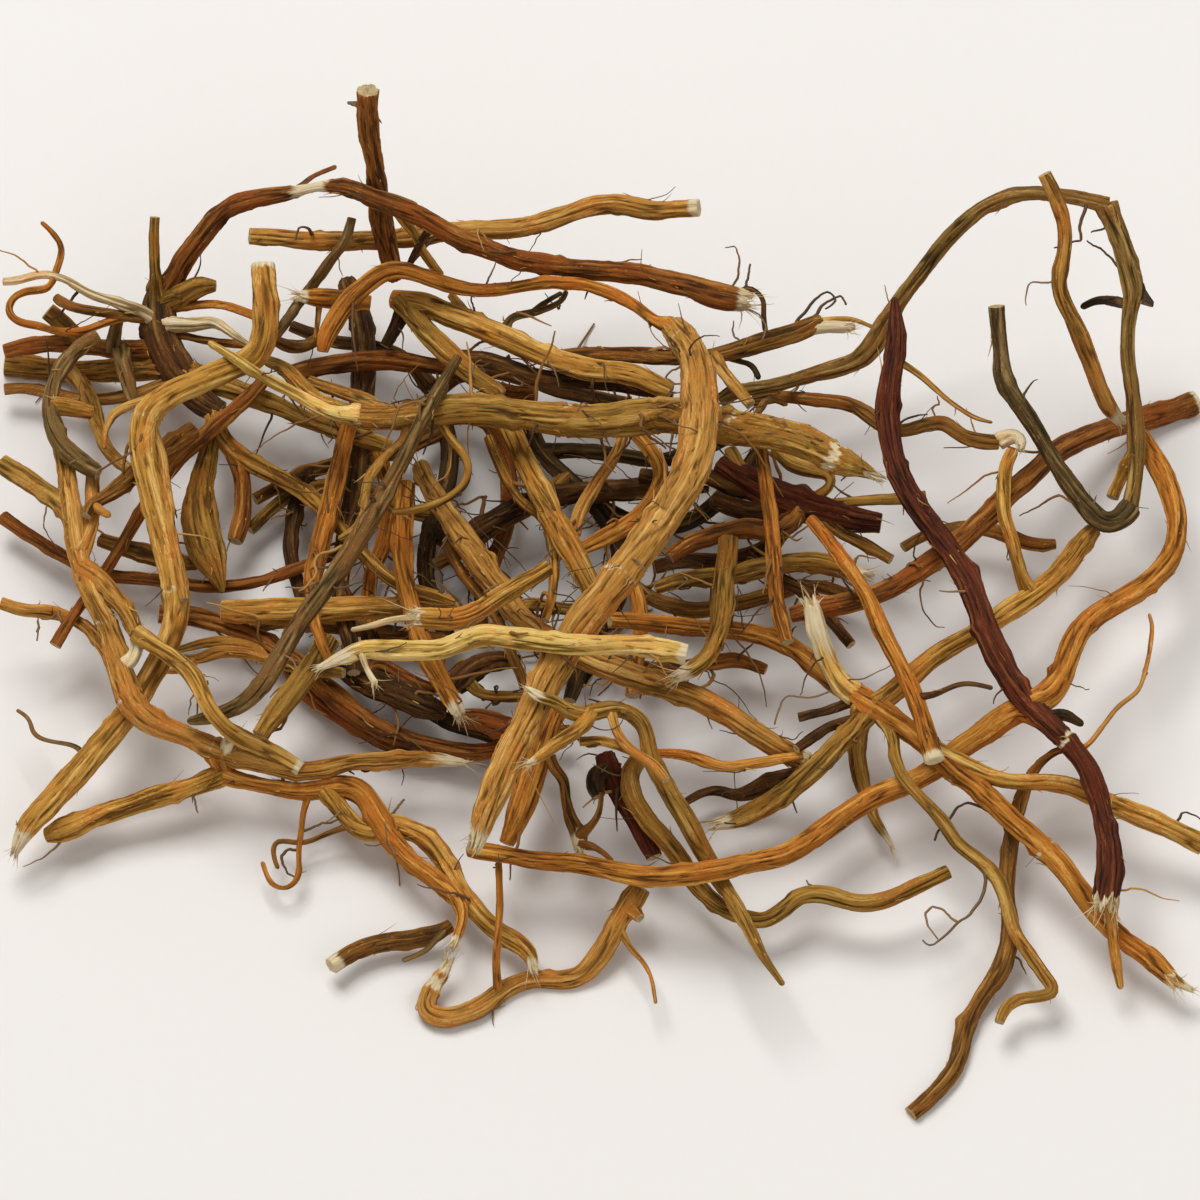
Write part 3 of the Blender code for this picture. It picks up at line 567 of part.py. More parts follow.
         (106, 58.8, 1.1), (101.5, 60, 0.9), (98.5, 59.8, 0.8), (96.8, 58.8, 0.7)),
    root("gold_tine", "black_root", "gold", 37, "black_drop", (21, 18, 17),
         (106.9, 29, 1.4), (104.8, 26, 1.2), (103.4, 23.3, 1.1), (102.3, 20.5, 1.2)),
    root("black_hook", "black_root", "black", 38, "black_drop", (17, 16, 18, 21, 24, 28, 31, 34, 38, 42),
         (105.9, 19, 1.7), (103.5, 15.8, 2.0), (100.3, 15.5, 2.1), (97.5, 18.3, 1.9), (94.5, 22, 1.7),
         (91.8, 26, 1.5), (89, 30.5, 1.5), (86.5, 34.8, 1.6), (84, 38.5, 1.7), (81.5, 42, 1.8),
         (80.3, 45, 1.8), (80, 49, 1.3), (79.5, 54, 1.4), (79, 58.5, 1.6)),
    root("tan_right_root", "tan_right_root", "tan", 35, None, (62, 58, 53, 49, 45, 40, 34, 28, 20),
         (88.6, 84.8, 1.4), (90, 82, 1.5), (91.6, 78, 1.4), (92.5, 74, 1.35), (92.5, 70, 1.4),
         (91.8, 66, 1.5), (91.5, 62, 1.5), (92.6, 59, 1.5), (94.5, 55.5, 1.6), (96.3, 51.5, 1.7),
         (98, 47, 1.7), (99.6, 42.5, 1.7), (101.6, 38.5, 1.7), (104, 35.8, 1.4)),
    root("split_stick", "split_stick", "brown", 24, None, None,
         (-11, 48.6, 1.1), (-5, 49, 1.4), (1, 49.1, 1.5), (7, 48.9, 1.6), (13, 48.4, 1.6), (18, 48.2, 1.5),
         (22, 48.6, 1.5), (26, 49.5, 1.8), (30, 50.8, 2.0), (35, 52.2, 1.9), (40, 53.8, 1.9),
         (44, 55.6, 1.6)),
    root("split_pale_end", "split_stick", "cream", 24, "split_stick", None,
         (42, 54.6, 1.0), (46, 54.6, 1.2), (49.7, 54.5, 1.1)),
    root("split_whip", "split_stick", "tan", 25, "split_stick", None,
         (43.5, 55.3, 0.6), (47, 56.2, 0.5), (50, 56.4, 0.45), (53, 55.4, 0.45), (55.4, 54.4, 0.4)),
    root("split_black_twig", "split_stick", "black", 24, "split_stick", None,
         (25, 49.2, 0.7), (28, 47.6, 0.55), (30.5, 47.2, 0.6), (31.3, 45.5, 0.7), (31.6, 44.6, 0.6)),
    root("split_tan_branch", "split_stick", "tan", 35, "split_stick", None,
         (22.6, 48.7, 1.1), (25, 45, 1.2), (27.5, 42, 1.2), (30, 39, 1.0)),
    root("upright_stick", "upright_stick", "redbrown", 26, None, (74, 67, 58, 48, 38, 30, 24),
         (-46.2, 101.3, 2.1), (-46.3, 97, 2.1), (-45.7, 91, 1.8), (-44.9, 86, 1.8), (-44.2, 81, 1.9),
         (-43.7, 76, 2.4), (-43, 72, 2.2), (-42, 68, 1.9), (-41.2, 64.5, 1.5)),
    root("upright_twig", "upright_stick", "grey", 26, "upright_stick", None,
         (-46.4, 98.9, 0.9), (-48.6, 99.1, 0.6), (-50.3, 99.5, 0.4)),
    root("tan_cut_root", "tan_cut_root", "tan", 22, None, (38, 36, 35, 34, 34, 35, 36, 39, 42),
         (-70, 72.7, 1.5), (-65, 72.4, 1.7), (-60, 71.9, 1.8), (-54, 71.7, 1.85), (-48, 71.9, 1.85),
         (-42, 72.2, 1.9), (-36, 72.8, 1.9), (-31, 73.6, 1.9), (-25, 74.1, 1.95), (-19, 74.2, 1.95),
         (-14, 74.8, 1.95), (-9, 76.2, 1.9), (-4, 78, 1.9), (0, 79.1, 1.85), (4, 79.2, 1.85), (8, 78.3, 1.85),
         (11, 77.8, 1.8), (15, 78.1, 1.7), (19.7, 78.3, 1.7)),
    # Dark roots that lie deepest, under the left and the middle
    root("under_left_trunk", "under_left", "dark", 2, None, None,
         (-35.5, 45.5, 1.4), (-32, 38, 1.7), (-30, 30, 1.8), (-31, 22, 1.8), (-34, 14, 1.7), (-35, 6, 1.7),
         (-33, -2, 1.6), (-29, -10, 1.4)),
    root("under_left_level", "under_left", "brown", 4, "under_left_trunk", None,
         (-31, 34, 1.6), (-40, 30, 1.6), (-50, 28, 1.5), (-60, 25, 1.4), (-69, 20, 1.2)),
    root("under_left_inner", "under_left", "redbrown", 3, "under_left_trunk", None,
         (-32, 38, 1.4), (-24, 37, 1.5), (-20, 31, 1.6), (-18, 23, 1.6), (-19, 14, 1.5), (-22, 6, 1.5),
         (-24, -2, 1.4), (-23, -9, 1.2)),
    root("under_left_slant", "under_left", "dark", 1, "under_left_trunk", None,
         (-34, 14, 1.4), (-26, 9, 1.5), (-20, 3, 1.5), (-14, -4, 1.4), (-8, -12, 1.4), (-2, -16, 1.1)),
    root("under_left_bow", "under_left", "olive", 3, "under_left_trunk", None,
         (-33, 17, 1.3), (-40, 18, 1.4), (-47, 22, 1.4), (-54, 23, 1.4), (-62, 21, 1.3), (-70, 14, 1.1)),
    root("under_left_drop", "under_left", "orange", 2, "under_left_level", None,
         (-44, 29, 1.4), (-42, 20, 1.5), (-43, 12, 1.5), (-46, 4, 1.4), (-46, -4, 1.4), (-44, -11, 1.1)),
    root("under_left_outer", "under_left", "dark", 4, "under_left_level", None,
         (-59, 25, 1.3), (-61, 18, 1.4), (-62, 10, 1.4), (-60, 2, 1.3), (-58, -6, 1.1)),
    root("under_left_lower", "under_left", "brown", 3, "under_left_trunk", None,
         (-30, -8, 1.4), (-38, -7, 1.5), (-46, -6, 1.5), (-55, -5, 1.5), (-63, -4, 1.4), (-72, -7, 1.1)),
    root("under_left_upper", "under_left", "dark", 5, "under_left_trunk", None,
         (-34, 43, 1.3), (-40, 49, 1.4), (-46, 51, 1.4), (-54, 52, 1.3), (-62, 55, 1.1)),
    root("under_left_far", "under_left", "dark", 5, "under_left_trunk", None,
         (-33, 41, 1.3), (-26, 46, 1.4), (-17, 45, 1.5), (-8, 42, 1.4), (2, 40, 1.3), (10, 38, 1.1)),
    root("under_left_foot", "under_left", "dark", 2, "under_left_lower", None,
         (-46, -6, 1.3), (-44, -13, 1.5), (-38, -19, 1.6), (-31, -24, 1.6), (-22, -27, 1.5), (-14, -31, 1.2)),
    root("under_left_toe", "under_left", "redbrown", 2, "under_left_lower", None,
         (-60, -4.5, 1.2), (-63, -11, 1.4), (-60, -17, 1.4), (-54, -22, 1.4), (-46, -27, 1.4), (-38, -31, 1.1)),
    root("under_middle_trunk", "under_middle", "dark", 3, None, None,
         (-15, 38, 1.3), (-12, 30, 1.7), (-6, 24, 1.8), (0, 18, 1.8), (4, 10, 1.8), (4, 2, 1.7), (0, -6, 1.7),
         (-4, -14, 1.5), (-6, -20, 1.2)),
    root("under_middle_arm", "under_middle", "dark", 2, "under_middle_trunk", None,
         (0, 18, 1.5), (8, 15, 1.6), (16, 15, 1.6), (24, 20, 1.6), (30, 27, 1.5), (34, 34, 1.2)),
    root("under_middle_level", "under_middle", "brown", 4, "under_middle_trunk", None,
         (4, 4, 1.4), (11, 0, 1.5), (18, -2, 1.5), (26, -1, 1.5), (34, 1, 1.5), (42, 3, 1.4), (50, 1, 1.1)),
    root("under_middle_low", "under_middle", "redbrown", 3, "under_middle_trunk", None,
         (-2, -10, 1.4), (5, -13, 1.5), (12, -14, 1.5), (20, -13, 1.5), (27, -12, 1.4), (33, -14, 1.1)),
    root("under_middle_high", "under_middle", "dark", 4, "under_middle_trunk", None,
         (-12, 30, 1.3), (-4, 30, 1.4), (4, 29, 1.4), (12, 28, 1.4), (20, 30, 1.3), (27, 33, 1.1)),
    root("under_middle_back", "under_middle", "brown", 5, "under_middle_trunk", None,
         (-6, 24, 1.3), (-13, 19, 1.4), (-20, 15, 1.4), (-27, 10, 1.3), (-33, 7, 1.1)),
    root("under_middle_left", "under_middle", "olive", 4, "under_middle_trunk", None,
         (3, -1, 1.2), (-6, -2, 1.3), (-14, -1, 1.3), (-21, -4, 1.1)),
    root("crown_back_root", "centre_crown", "dark", 11, "centre_crown", None,
         (33, 22, 1.4), (27, 22, 1.6), (20, 25, 1.6), (14, 24, 1.5), (8, 25, 1.2)),
    root("crown_fork", "centre_crown", "brown", 13, "centre_crown", None,
         (43, 18.2, 1.3), (48, 13.5, 1.3), (53, 11, 1.2), (58, 8, 1.1)),
    root("crown_under_fork", "centre_crown", "dark", 11, "crown_low_strand", None,
         (30, 8.7, 1.2), (36, 4, 1.3), (42, 1, 1.3), (46, -4, 1.2), (50, -9, 1.1)),
)

# Pairs where the first root lies over the second, against their ranks
LIES_OVER = {
    ("elbow_root", "knob_diagonal"),
    ("elbow_seam", "knob_diagonal"),
    ("dark_diagonal", "tan_left"),
    ("crown_runner", "long_orange"),
    ("yellow_right", "long_orange"),
    ("main_root", "black_root"),
    ("long_orange", "white_tipped_root"),
}


def smooth_route(stations):
    """Cubic through the stations, whose slope at each is the weighted mean of the chords that meet there."""
    table = np.array(stations, dtype=float)
    points = table[:, :2]
    gaps = np.linalg.norm(np.diff(points, axis=0), axis=1)
    along = np.concatenate(([0.0], np.cumsum(gaps)))
    chords = np.diff(points, axis=0) / gaps[:, None]
    slopes = np.concatenate((chords[:1], chords[-1:])) if len(gaps) == 1 else None
    if slopes is None:
        share = (gaps[:-1] / (gaps[:-1] + gaps[1:]))[:, None]
        slopes = np.concatenate((chords[:1], chords[:-1] * (1 - share) + chords[1:] * share, chords[-1:]))
    samples = np.linspace(0.0, along[-1], max(3, math.ceil(along[-1] / ROUTE_STEP) + 1))
    piece = np.clip(np.searchsorted(along, samples, side="right") - 1, 0, len(gaps) - 1)
    length = gaps[piece][:, None]
    t = (samples - along[piece])[:, None] / length
    curve = (points[piece] * (2 * t**3 - 3 * t**2 + 1) + slopes[piece] * length * (t**3 - 2 * t**2 + t)
             + points[piece + 1] * (3 * t**2 - 2 * t**3) + slopes[piece + 1] * length * (t**3 - t**2))
    return curve, np.interp(samples, along, table[:, 2]), samples


def start_on_parent(item, parent):
    """Stations of a side root, begun on the nearest point of its parent's middle line."""
    first = np.array(item.stations[0][:2])
    distance = np.hypot(parent.across - first[0], parent.up - first[1])
    nearest = int(np.argmin(distance))
    start = (parent.across[nearest], parent.up[nearest], item.stations[0][2])
    rest = item.stations[1:] if distance[nearest] < parent.radius[nearest] else item.stations
    return (start,) + tuple(rest), nearest


def first_heights(item, across, up, radius):
    """Heights given for the root, or a layer that follows its rank and thins towards the rim."""
    if item.heights is not None:
        share = np.linspace(0.0, 1.0, len(across))
        return REST_DEPTH * radius + np.interp(share, np.linspace(0.0, 1.0, len(item.heights)), item.heights)
    spread = np.clip((np.hypot(across, up) - CORE_RADIUS) / (RIM_RADIUS - CORE_RADIUS), 0.0, 1.0)
    return radius + (LOWEST_LAYER + LAYER_HEIGHT * item.rank) * (1 - RIM_THINNING * spread)


def lay_out(roots):
    """Smooth strands of all roots, with the joint of each side root on its parent."""
    strands = []
    joints = []
    places = {}
    for item in roots:
        stations = item.stations
        if item.parent is not None:
            parent = strands[places[item.parent]]
            stations, nearest = start_on_parent(item, parent)
            joints.append((len(strands), places[item.parent], nearest))
        curve, radius, along = smooth_route(stations)
        height = first_heights(item, curve[:, 0], curve[:, 1], radius)
        places[item.name] = len(strands)
        strands.append(Strand(item, curve[:, 0], curve[:, 1], radius, height, along))
    return strands, joints


def front_table(roots):
    """Square table that says which root of each pair lies nearer the eye."""
    order = np.array([item.rank + index * 1e-4 for index, item in enumerate(roots)])
    front = order[:, None] > order[None, :]
    names = [item.name for item in roots]
    for upper, lower in LIES_OVER:
        front[names.index(upper), names.index(lower)] = True
        front[names.index(lower), names.index(upper)] = False
    return front


def crossings(strands, joints):
    """Pairs of samples that pass each other, as front index, back index and the height that they need.

    Over its first few millimetres a side root takes its parent's place in the order, because it is inside
    the parent there. Roots of one node are only kept apart away from their joints, and less far.
    """
    roots = [strand.root for strand in strands]
    sizes = [len(strand.across) for strand in strands]
    owner = np.repeat(np.arange(len(strands)), sizes)
    across, up, radius, along = (np.concatenate([getattr(strand, name) for strand in strands])
                                 for name in ("across", "up", "radius", "along"))
    nodes = {name: index for index, name in enumerate(dict.fromkeys(item.node for item in roots))}
    node = np.array([nodes[item.node] for item in roots])[owner]
    leader = owner.copy()
    for child, holder, nearest in joints:
        inside = strands[holder].radius[nearest] + strands[child].radius[0] + ROOT_CLEARANCE
        leader[(owner == child) & (along < inside)] = holder
    front = front_table(roots)
    pairs = []
    for start in range(0, len(owner), 256):
        block = np.arange(start, min(start + 256, len(owner)))
        distance = np.hypot(across[block, None] - across[None, :], up[block, None] - up[None, :])
        reach = radius[block, None] + radius[None, :] + ROOT_CLEARANCE
        one, two = np.nonzero((distance < reach) & (owner[block, None] < owner[None, :]))
        pairs.append(np.stack((block[one], two), axis=1))
    one, two = np.concatenate(pairs).T
    fused = node[one] == node[two]
    at_joint = np.zeros(len(one), dtype=bool)
    for child, holder, nearest in joints:
        members = np.isin(owner[one], (child, holder)) | np.isin(owner[two], (child, holder))
        gap = np.hypot(across[one] - strands[holder].across[nearest], up[one] - strands[holder].up[nearest])
        at_joint |= members & (gap < JOIN_LENGTH)
    reach = (radius[one] + radius[two]) * np.where(fused, FUSE_DEPTH, 1.0) + np.where(fused, 0.0, ROOT_CLEARANCE)
    distance = np.hypot(across[one] - across[two], up[one] - up[two])
    keep = (distance < reach) & ~(fused & at_joint)
    one, two, reach, distance, fused = one[keep], two[keep], reach[keep], distance[keep], fused[keep]
    swap = np.where(fused, ~front[owner[one], owner[two]], ~front[leader[one], leader[two]])
    fore, back = np.where(swap, two, one), np.where(swap, one, two)
    lift = np.sqrt(reach**2 - distance**2) * SIN_VIEW + (up[fore] - up[back]) * COS_VIEW
    return fore, back, lift


def settle(strands, joints):
    """Move the samples along the line of sight until every root clears the ones that it crosses.

    Each round measures how far each pair falls short, moves both samples by a share that is larger for the
    thinner root, spreads the move along the root by repeated averaging, puts side roots back on their
    parents and keeps all of it above the table.
    """
    sizes = [len(strand.across) for strand in strands]
    ends = np.cumsum(sizes)
    starts = ends - sizes
    height = np.concatenate([strand.height for strand in strands])
    radius = np.concatenate([strand.radius for strand in strands])
    along = np.concatenate([strand.along for strand in strands])
    before = np.maximum(np.arange(len(height)) - 1, np.repeat(starts, sizes))
    after = np.minimum(np.arange(len(height)) + 1, np.repeat(ends - 1, sizes))
    fore, back, lift = crossings(strands, joints)
    ease = 1.0 / (0.4 + radius)
    fore_share = ease[fore] / (ease[fore] + ease[back])
    floor = radius * REST_DEPTH
    for passes, rounds in ((24, 80), (10, 80), (4, 120), (1, 160)):
        for _ in range(rounds):
            short = np.maximum(lift - height[fore] + height[back], 0.0)
            rise = np.zeros_like(height)
            sink = np.zeros_like(height)
            np.maximum.at(rise, fore, short * fore_share)
            np.maximum.at(sink, back, short * (1 - fore_share))
            move = rise - sink
            for _ in range(passes):
                move = (move[before] + 2 * move + move[after]) / 4
            height = np.maximum(height + move, floor)
            for child, holder, nearest in joints:
                part = slice(starts[child], ends[child])
                slip = height[starts[holder] + nearest] - height[starts[child]]
                height[part] += slip * np.exp(-along[part] / JOIN_LENGTH)
            height = np.maximum(height, floor)
    return [strand._replace(height=height[start:end]) for strand, start, end in zip(strands, starts, ends)]


def middle_lines(strands):
    """Middle lines in millimetres as seen from the table, with the footprint's middle at the origin."""
    lines = [np.stack((strand.across, (strand.up - strand.height * COS_VIEW) / SIN_VIEW, strand.height), axis=1)
             for strand in strands]
    low = np.min([(line[:, :2] - strand.radius[:, None]).min(axis=0) for line, strand in zip(lines, strands)],
                 axis=0)
    high = np.max([(line[:, :2] + strand.radius[:, None]).max(axis=0) for line, strand in zip(lines, strands)],
                  axis=0)
    middle = np.append((low + high) / 2, 0.0)
    return [line - middle for line in lines]


def key_points(line, radius):
    """Indices of the samples that hold the line and its thickness within SAGITTA."""
    path = np.column_stack((line, radius * 1.5))
    keep = {0, len(path) - 1}
    stretches = [(0, len(path) - 1)]
    while stretches:
        first, last = stretches.pop()
        if last - first < 2:
            continue
        chord = path[last] - path[first]
        inner = path[first + 1:last] - path[first]
        share = np.clip(inner @ chord / (chord @ chord), 0.0, 1.0)
        miss = np.linalg.norm(inner - share[:, None] * chord, axis=1)
        if miss.max() > SAGITTA or np.linalg.norm(chord[:3]) > LONGEST_STRETCH:
            middle = first + 1 + int(np.argmax(miss)) if miss.max() > SAGITTA else (first + last) // 2
            keep.add(middle)
            stretches += [(first, middle), (middle, last)]
    return sorted(keep)


def bevel_for(radius):
    """Bevel resolution of a tube: more sides for a thicker root."""
    widest = radius.max()
    if widest > THICK_RADIUS:
        return THICK_BEVEL
    return NORMAL_BEVEL if widest > THIN_RADIUS else THIN_BEVEL


def tube(name, line, radius, home):
    """Mesh object of one root: a round curve with closed ends, flat where it would reach under the table."""
    keys = key_points(line, radius)
    bevel = bevel_for(radius)
    curve = bpy.data.curves.new(name, "CURVE")
    curve.dimensions = "3D"
    curve.twist_mode = "Z_UP"
    curve.bevel_depth = MM
    curve.bevel_resolution = bevel
    curve.use_fill_caps = True
    spline = curve.splines.new("POLY")
    spline.points.add(len(keys) - 1)
    spline.points.foreach_set("co", np.column_stack((line[keys] * MM, np.ones(len(keys)))).ravel())
    spline.points.foreach_set("radius", radius[keys])
    guide = bpy.data.objects.new(name + "_curve", curve)
    home.objects.link(guide)
    evaluated = guide.evaluated_get(bpy.context.evaluated_depsgraph_get())
    mesh = bpy.data.meshes.new_from_object(evaluated)
    shape = bmesh.new()
    shape.from_mesh(mesh)
    bmesh.ops.remove_doubles(shape, verts=shape.verts, dist=WELD_DISTANCE)
    for vert in shape.verts:
        vert.co.z = max(vert.co.z, 0.0)
    bmesh.ops.recalc_face_normals(shape, faces=shape.faces)
    shape.to_mesh(mesh)
    shape.free()
    solid = bpy.data.objects.new(name, mesh)
    solid.matrix_world = guide.matrix_world
    home.objects.link(solid)
    bpy.data.objects.remove(guide)
    bpy.data.curves.remove(curve)
    return solid


def bark(name, finish):
    """Plain dry bark of one colour."""
    material = bpy.data.materials.new(name)
    material.use_nodes = True
    shader = material.node_tree.nodes["Principled BSDF"]
    shader.inputs["Base Color"].default_value = (*FINISHES[finish], 1.0)
    shader.inputs["Roughness"].default_value = BARK_ROUGHNESS
    shader.inputs["Metallic"].default_value = 0.0
    return material


def join_node(node, finish, pieces, home, workshop):
    """One object from the tubes of a node, united where there is more than one."""
    body, others = pieces[0], pieces[1:]
    workshop.objects.unlink(body)
    home.objects.link(body)
    if others:
        union = body.modifiers.new("Union", "BOOLEAN")
        union.operation = "UNION"
        union.solver = "EXACT"
        union.operand_type = "COLLECTION"
        union.collection = workshop
        evaluated = body.evaluated_get(bpy.context.evaluated_depsgraph_get())
        body.data = bpy.data.meshes.new_from_object(evaluated)
        body.modifiers.clear()
        for piece in others:
            bpy.data.objects.remove(piece)
    body.name = node
    body.data.name = node
    body.data.materials.clear()
    body.data.materials.append(bark(node, finish))
    return body


def main():
    for item in list(bpy.data.objects):
        bpy.data.objects.remove(item)
    scene = bpy.context.scene
    home = bpy.data.collections.new("sarsaparilla_root")
    workshop = bpy.data.collections.new("tubes")
    scene.collection.children.link(home)
    scene.collection.children.link(workshop)
    strands, joints = lay_out(ROOTS)
    strands = settle(strands, joints)
    nodes = {}
    for strand, line in zip(strands, middle_lines(strands)):
        nodes.setdefault(strand.root.node, []).append((strand, line))
    for node, members in nodes.items():
        pieces = [tube(strand.root.name, line, strand.radius, workshop) for strand, line in members]
        join_node(node, members[0][0].root.finish, pieces, home, workshop)
    bpy.data.collections.remove(workshop)


main()
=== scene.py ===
"""Looks of a tangled bundle of dried sarsaparilla root: furrowed bark, torn ends, rootlets, floor, light."""

import json
import math
from collections import namedtuple

import bpy
import numpy as np
from bpy.props import FloatProperty, FloatVectorProperty, IntProperty, PointerProperty
from mathutils import Matrix, Vector

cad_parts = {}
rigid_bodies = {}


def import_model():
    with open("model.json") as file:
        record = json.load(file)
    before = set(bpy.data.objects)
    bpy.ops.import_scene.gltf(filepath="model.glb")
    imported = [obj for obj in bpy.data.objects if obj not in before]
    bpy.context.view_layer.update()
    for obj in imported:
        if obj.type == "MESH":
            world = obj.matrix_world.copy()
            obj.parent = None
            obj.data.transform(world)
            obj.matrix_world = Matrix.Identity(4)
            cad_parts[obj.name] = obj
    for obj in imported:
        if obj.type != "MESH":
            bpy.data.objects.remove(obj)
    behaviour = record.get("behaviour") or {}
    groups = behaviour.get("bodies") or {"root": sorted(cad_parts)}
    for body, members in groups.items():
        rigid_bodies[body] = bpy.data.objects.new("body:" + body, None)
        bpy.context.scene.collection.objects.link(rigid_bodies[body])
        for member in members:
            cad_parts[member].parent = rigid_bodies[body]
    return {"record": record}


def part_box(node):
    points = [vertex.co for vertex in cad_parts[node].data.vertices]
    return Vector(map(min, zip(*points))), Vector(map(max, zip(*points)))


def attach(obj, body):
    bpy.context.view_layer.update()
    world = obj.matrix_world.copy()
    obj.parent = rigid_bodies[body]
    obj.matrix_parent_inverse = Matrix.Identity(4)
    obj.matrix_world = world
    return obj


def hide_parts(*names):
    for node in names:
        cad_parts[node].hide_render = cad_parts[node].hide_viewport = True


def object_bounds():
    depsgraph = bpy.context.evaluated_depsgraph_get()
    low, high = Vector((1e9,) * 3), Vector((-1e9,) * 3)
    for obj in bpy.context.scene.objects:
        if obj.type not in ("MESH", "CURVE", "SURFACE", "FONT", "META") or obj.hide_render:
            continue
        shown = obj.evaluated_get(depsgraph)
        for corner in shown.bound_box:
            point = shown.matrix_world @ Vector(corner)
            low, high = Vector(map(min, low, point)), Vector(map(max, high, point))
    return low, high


bl_info = {
    "name": "Sarsaparilla Root Bundle",
    "version": (1, 0, 0),
    "blender": (4, 5, 0),
    "location": "View3D > Sidebar > Root Bundle",
    "description": "Dresses a tangle of dried roots with bark, torn ends and rootlets",
    "category": "Add Mesh",
}

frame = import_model()
CAD_BOX = [list(corner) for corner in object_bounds()]

# Driving dimensions of the bundle, in millimetres and degrees, as the CAD has them
BUNDLE_WIDTH = 240.0
VIEW_ELEVATION = 60.0
ROOT_CLEARANCE = 0.8
ROUTE_STEP = 1.5
FUSE_DEPTH = 0.55
JOIN_LENGTH = 7.0
REST_DEPTH = 0.75
LOWEST_LAYER = 3.0
LAYER_HEIGHT = 0.9
CORE_RADIUS = 60.0
RIM_RADIUS = 120.0
RIM_THINNING = 0.5

# Settling: in each stage, how often a move is averaged and how many rounds there are; the stiffness that even
# the thinnest root has; the step that sets roots of one rank in their order; samples compared at once
SETTLING = ((24, 80), (10, 80), (4, 120), (1, 160))
LEAST_STIFFNESS = 0.4
RANK_STEP = 1e-4
BLOCK = 256

# Rows along a root, the radius over which an end is blunt, and columns by the thickest radius, in millimetres
ROW_STEP = 0.85
THIN_ROW_STEP = 1.0
THIN_RADIUS = 0.9
BLUNT_RADIUS = 0.75
FEWEST_ROWS = 6
SIDES = ((2.7, 60), (1.9, 46), (1.35, 34), (0.95, 24), (0.6, 12), (0.0, 8))

# Bark relief, in millimetres: lengths of the noises' cells, reach of knots, width of a lip and its unevenness;
# and in radii: size of knots and how much a side root widens at its start
FURROW_LENGTH = 16.0
FINE_FURROW_LENGTH = 9.0
LUMP_LENGTH = 3.4
SWELL_LENGTH = 7.0
RIB_LENGTH = 0.9
KNOT_SIZE = (0.14, 0.34)
KNOT_REACH = (0.7, 1.5)
KNOT_ROUNDNESS = 2.2
FLARE = 0.28
LIP_WIDTH = 0.7
BREAK_UNEVENNESS = 1.6

# Bark relief: wandering and twist of the columns in turns, and sizes in furrow depths or in radii
WANDER_STEP = 0.06
WANDER = 0.03
TWIST = 0.0022
CREASE_SHARPNESS = 8.0
NICK_SHARPNESS = 6.5
REFERENCE_RADIUS = 2.5
FURROW_DEPTH = 1.1
FINE_FURROW_DEPTH = 0.9
CREASE_DEPTH = 1.35
NICK_DEPTH = 0.75
RIB_DEPTH = 0.35
RELIEF_LIFT = 0.55
LUMP_SIZE = 0.15
SWELL_SIZE = 0.12

# Loose rootlets: rows, where and how widely they gather, shortest length and margins, in millimetres
ROOTLET_ROWS = 15
GATHER_MIDDLE = (-8.0, 15.0)
GATHER_REACH = (55.0, 42.0)
EVEN_SHARE = 0.05
SHORTEST_ROOTLET = 1.2
ROOTLET_MARGIN = 0.5
SPLINTER_MARGIN = 0.3

# Loose rootlets: how they lean, curl and sink, and the spread of their lengths and widths, as shares
LEAN_ALONG = (0.2, 1.0)
LEAN_OUT = 0.5
CURL = 0.34
CURL_GROWTH = 0.45
SINKING = 0.9
LENGTH_SPREAD = (1.5, 2.8)
WIDTH_SPREAD = (0.45, 1.25)
ROOTLET_TIP = 0.35

# Drawn hairs: rows, radii from base to tip and how much these vary, unevenness and lowest place, in mm
HAIR_ROWS = 24
HAIR_RADII = (0.38, 0.22)
HAIR_SPREAD = (0.8, 1.15)
HAIR_SHAKE = 0.10
HAIR_LIFT = 0.18
LOWEST_HAIR = 0.4

# Torn fibres and shreds: number at an end and per mm of its radius, lengths and radii in mm, and bend
FIBRES = 10
FIBRES_PER_RADIUS = 9
FIBRE_ROOT = 1.2
FIBRE_RADII = (0.06, 0.17)
SHRED_LENGTHS = (0.8, 3.4)
SHRED_RADII = (0.07, 0.20)
SPLINTER_BEND = 0.35
SPLINTER_TAPER = (1.0, 1.0, 0.8, 0.55, 0.2)

# Where the left roots end and the right roots begin, across, and past the bundle on both sides, in metres
LEFT_LIMIT = -0.040
RIGHT_LIMIT = 0.030
BEYOND = 1.0

# Stage, in metres; each lamp has a place, a size and its watts for each watt of the window's power
FLOOR_REACH = 3.0
SKY_COLOUR = (1.0, 0.985, 0.96, 1.0)
LAMPS = {"window": ((-0.45, 0.8, 1.9), 1.1, 32.0), "fill": ((0.5, -0.5, 0.8), 0.9, 1.8)}
SENSOR_WIDTH = 36.0
CLIP_RANGE = (0.1, 50.0)

MM = 0.001
SIN_VIEW = math.sin(math.radians(VIEW_ELEVATION))
COS_VIEW = math.cos(math.radians(VIEW_ELEVATION))

# Roots that start a CAD node with a name of its own
TRUNKS = {
    "long_left": "left_runner",
    "crown_runner": "right_crown",
    "under_left_trunk": "under_left",
    "under_middle_trunk": "under_middle",
}

Root = namedtuple("Root", "name node finish rank parent heights stations")
Strand = namedtuple("Strand", "root across up radius height along")
Skin = namedtuple("Skin", "radius columns furrows hollow ridge")


def root(name, finish, rank, parent, heights, *stations):
    """One root. Its stations are (across, up, radius) in the drafting view, in millimetres.

    A higher rank lies nearer the eye. A root with a parent starts on that root's middle line. The heights
    above the table are spread evenly along the root, and None leaves them to the rank.
    """
    return Root(name, TRUNKS.get(name, name), finish, rank, parent, heights, stations)


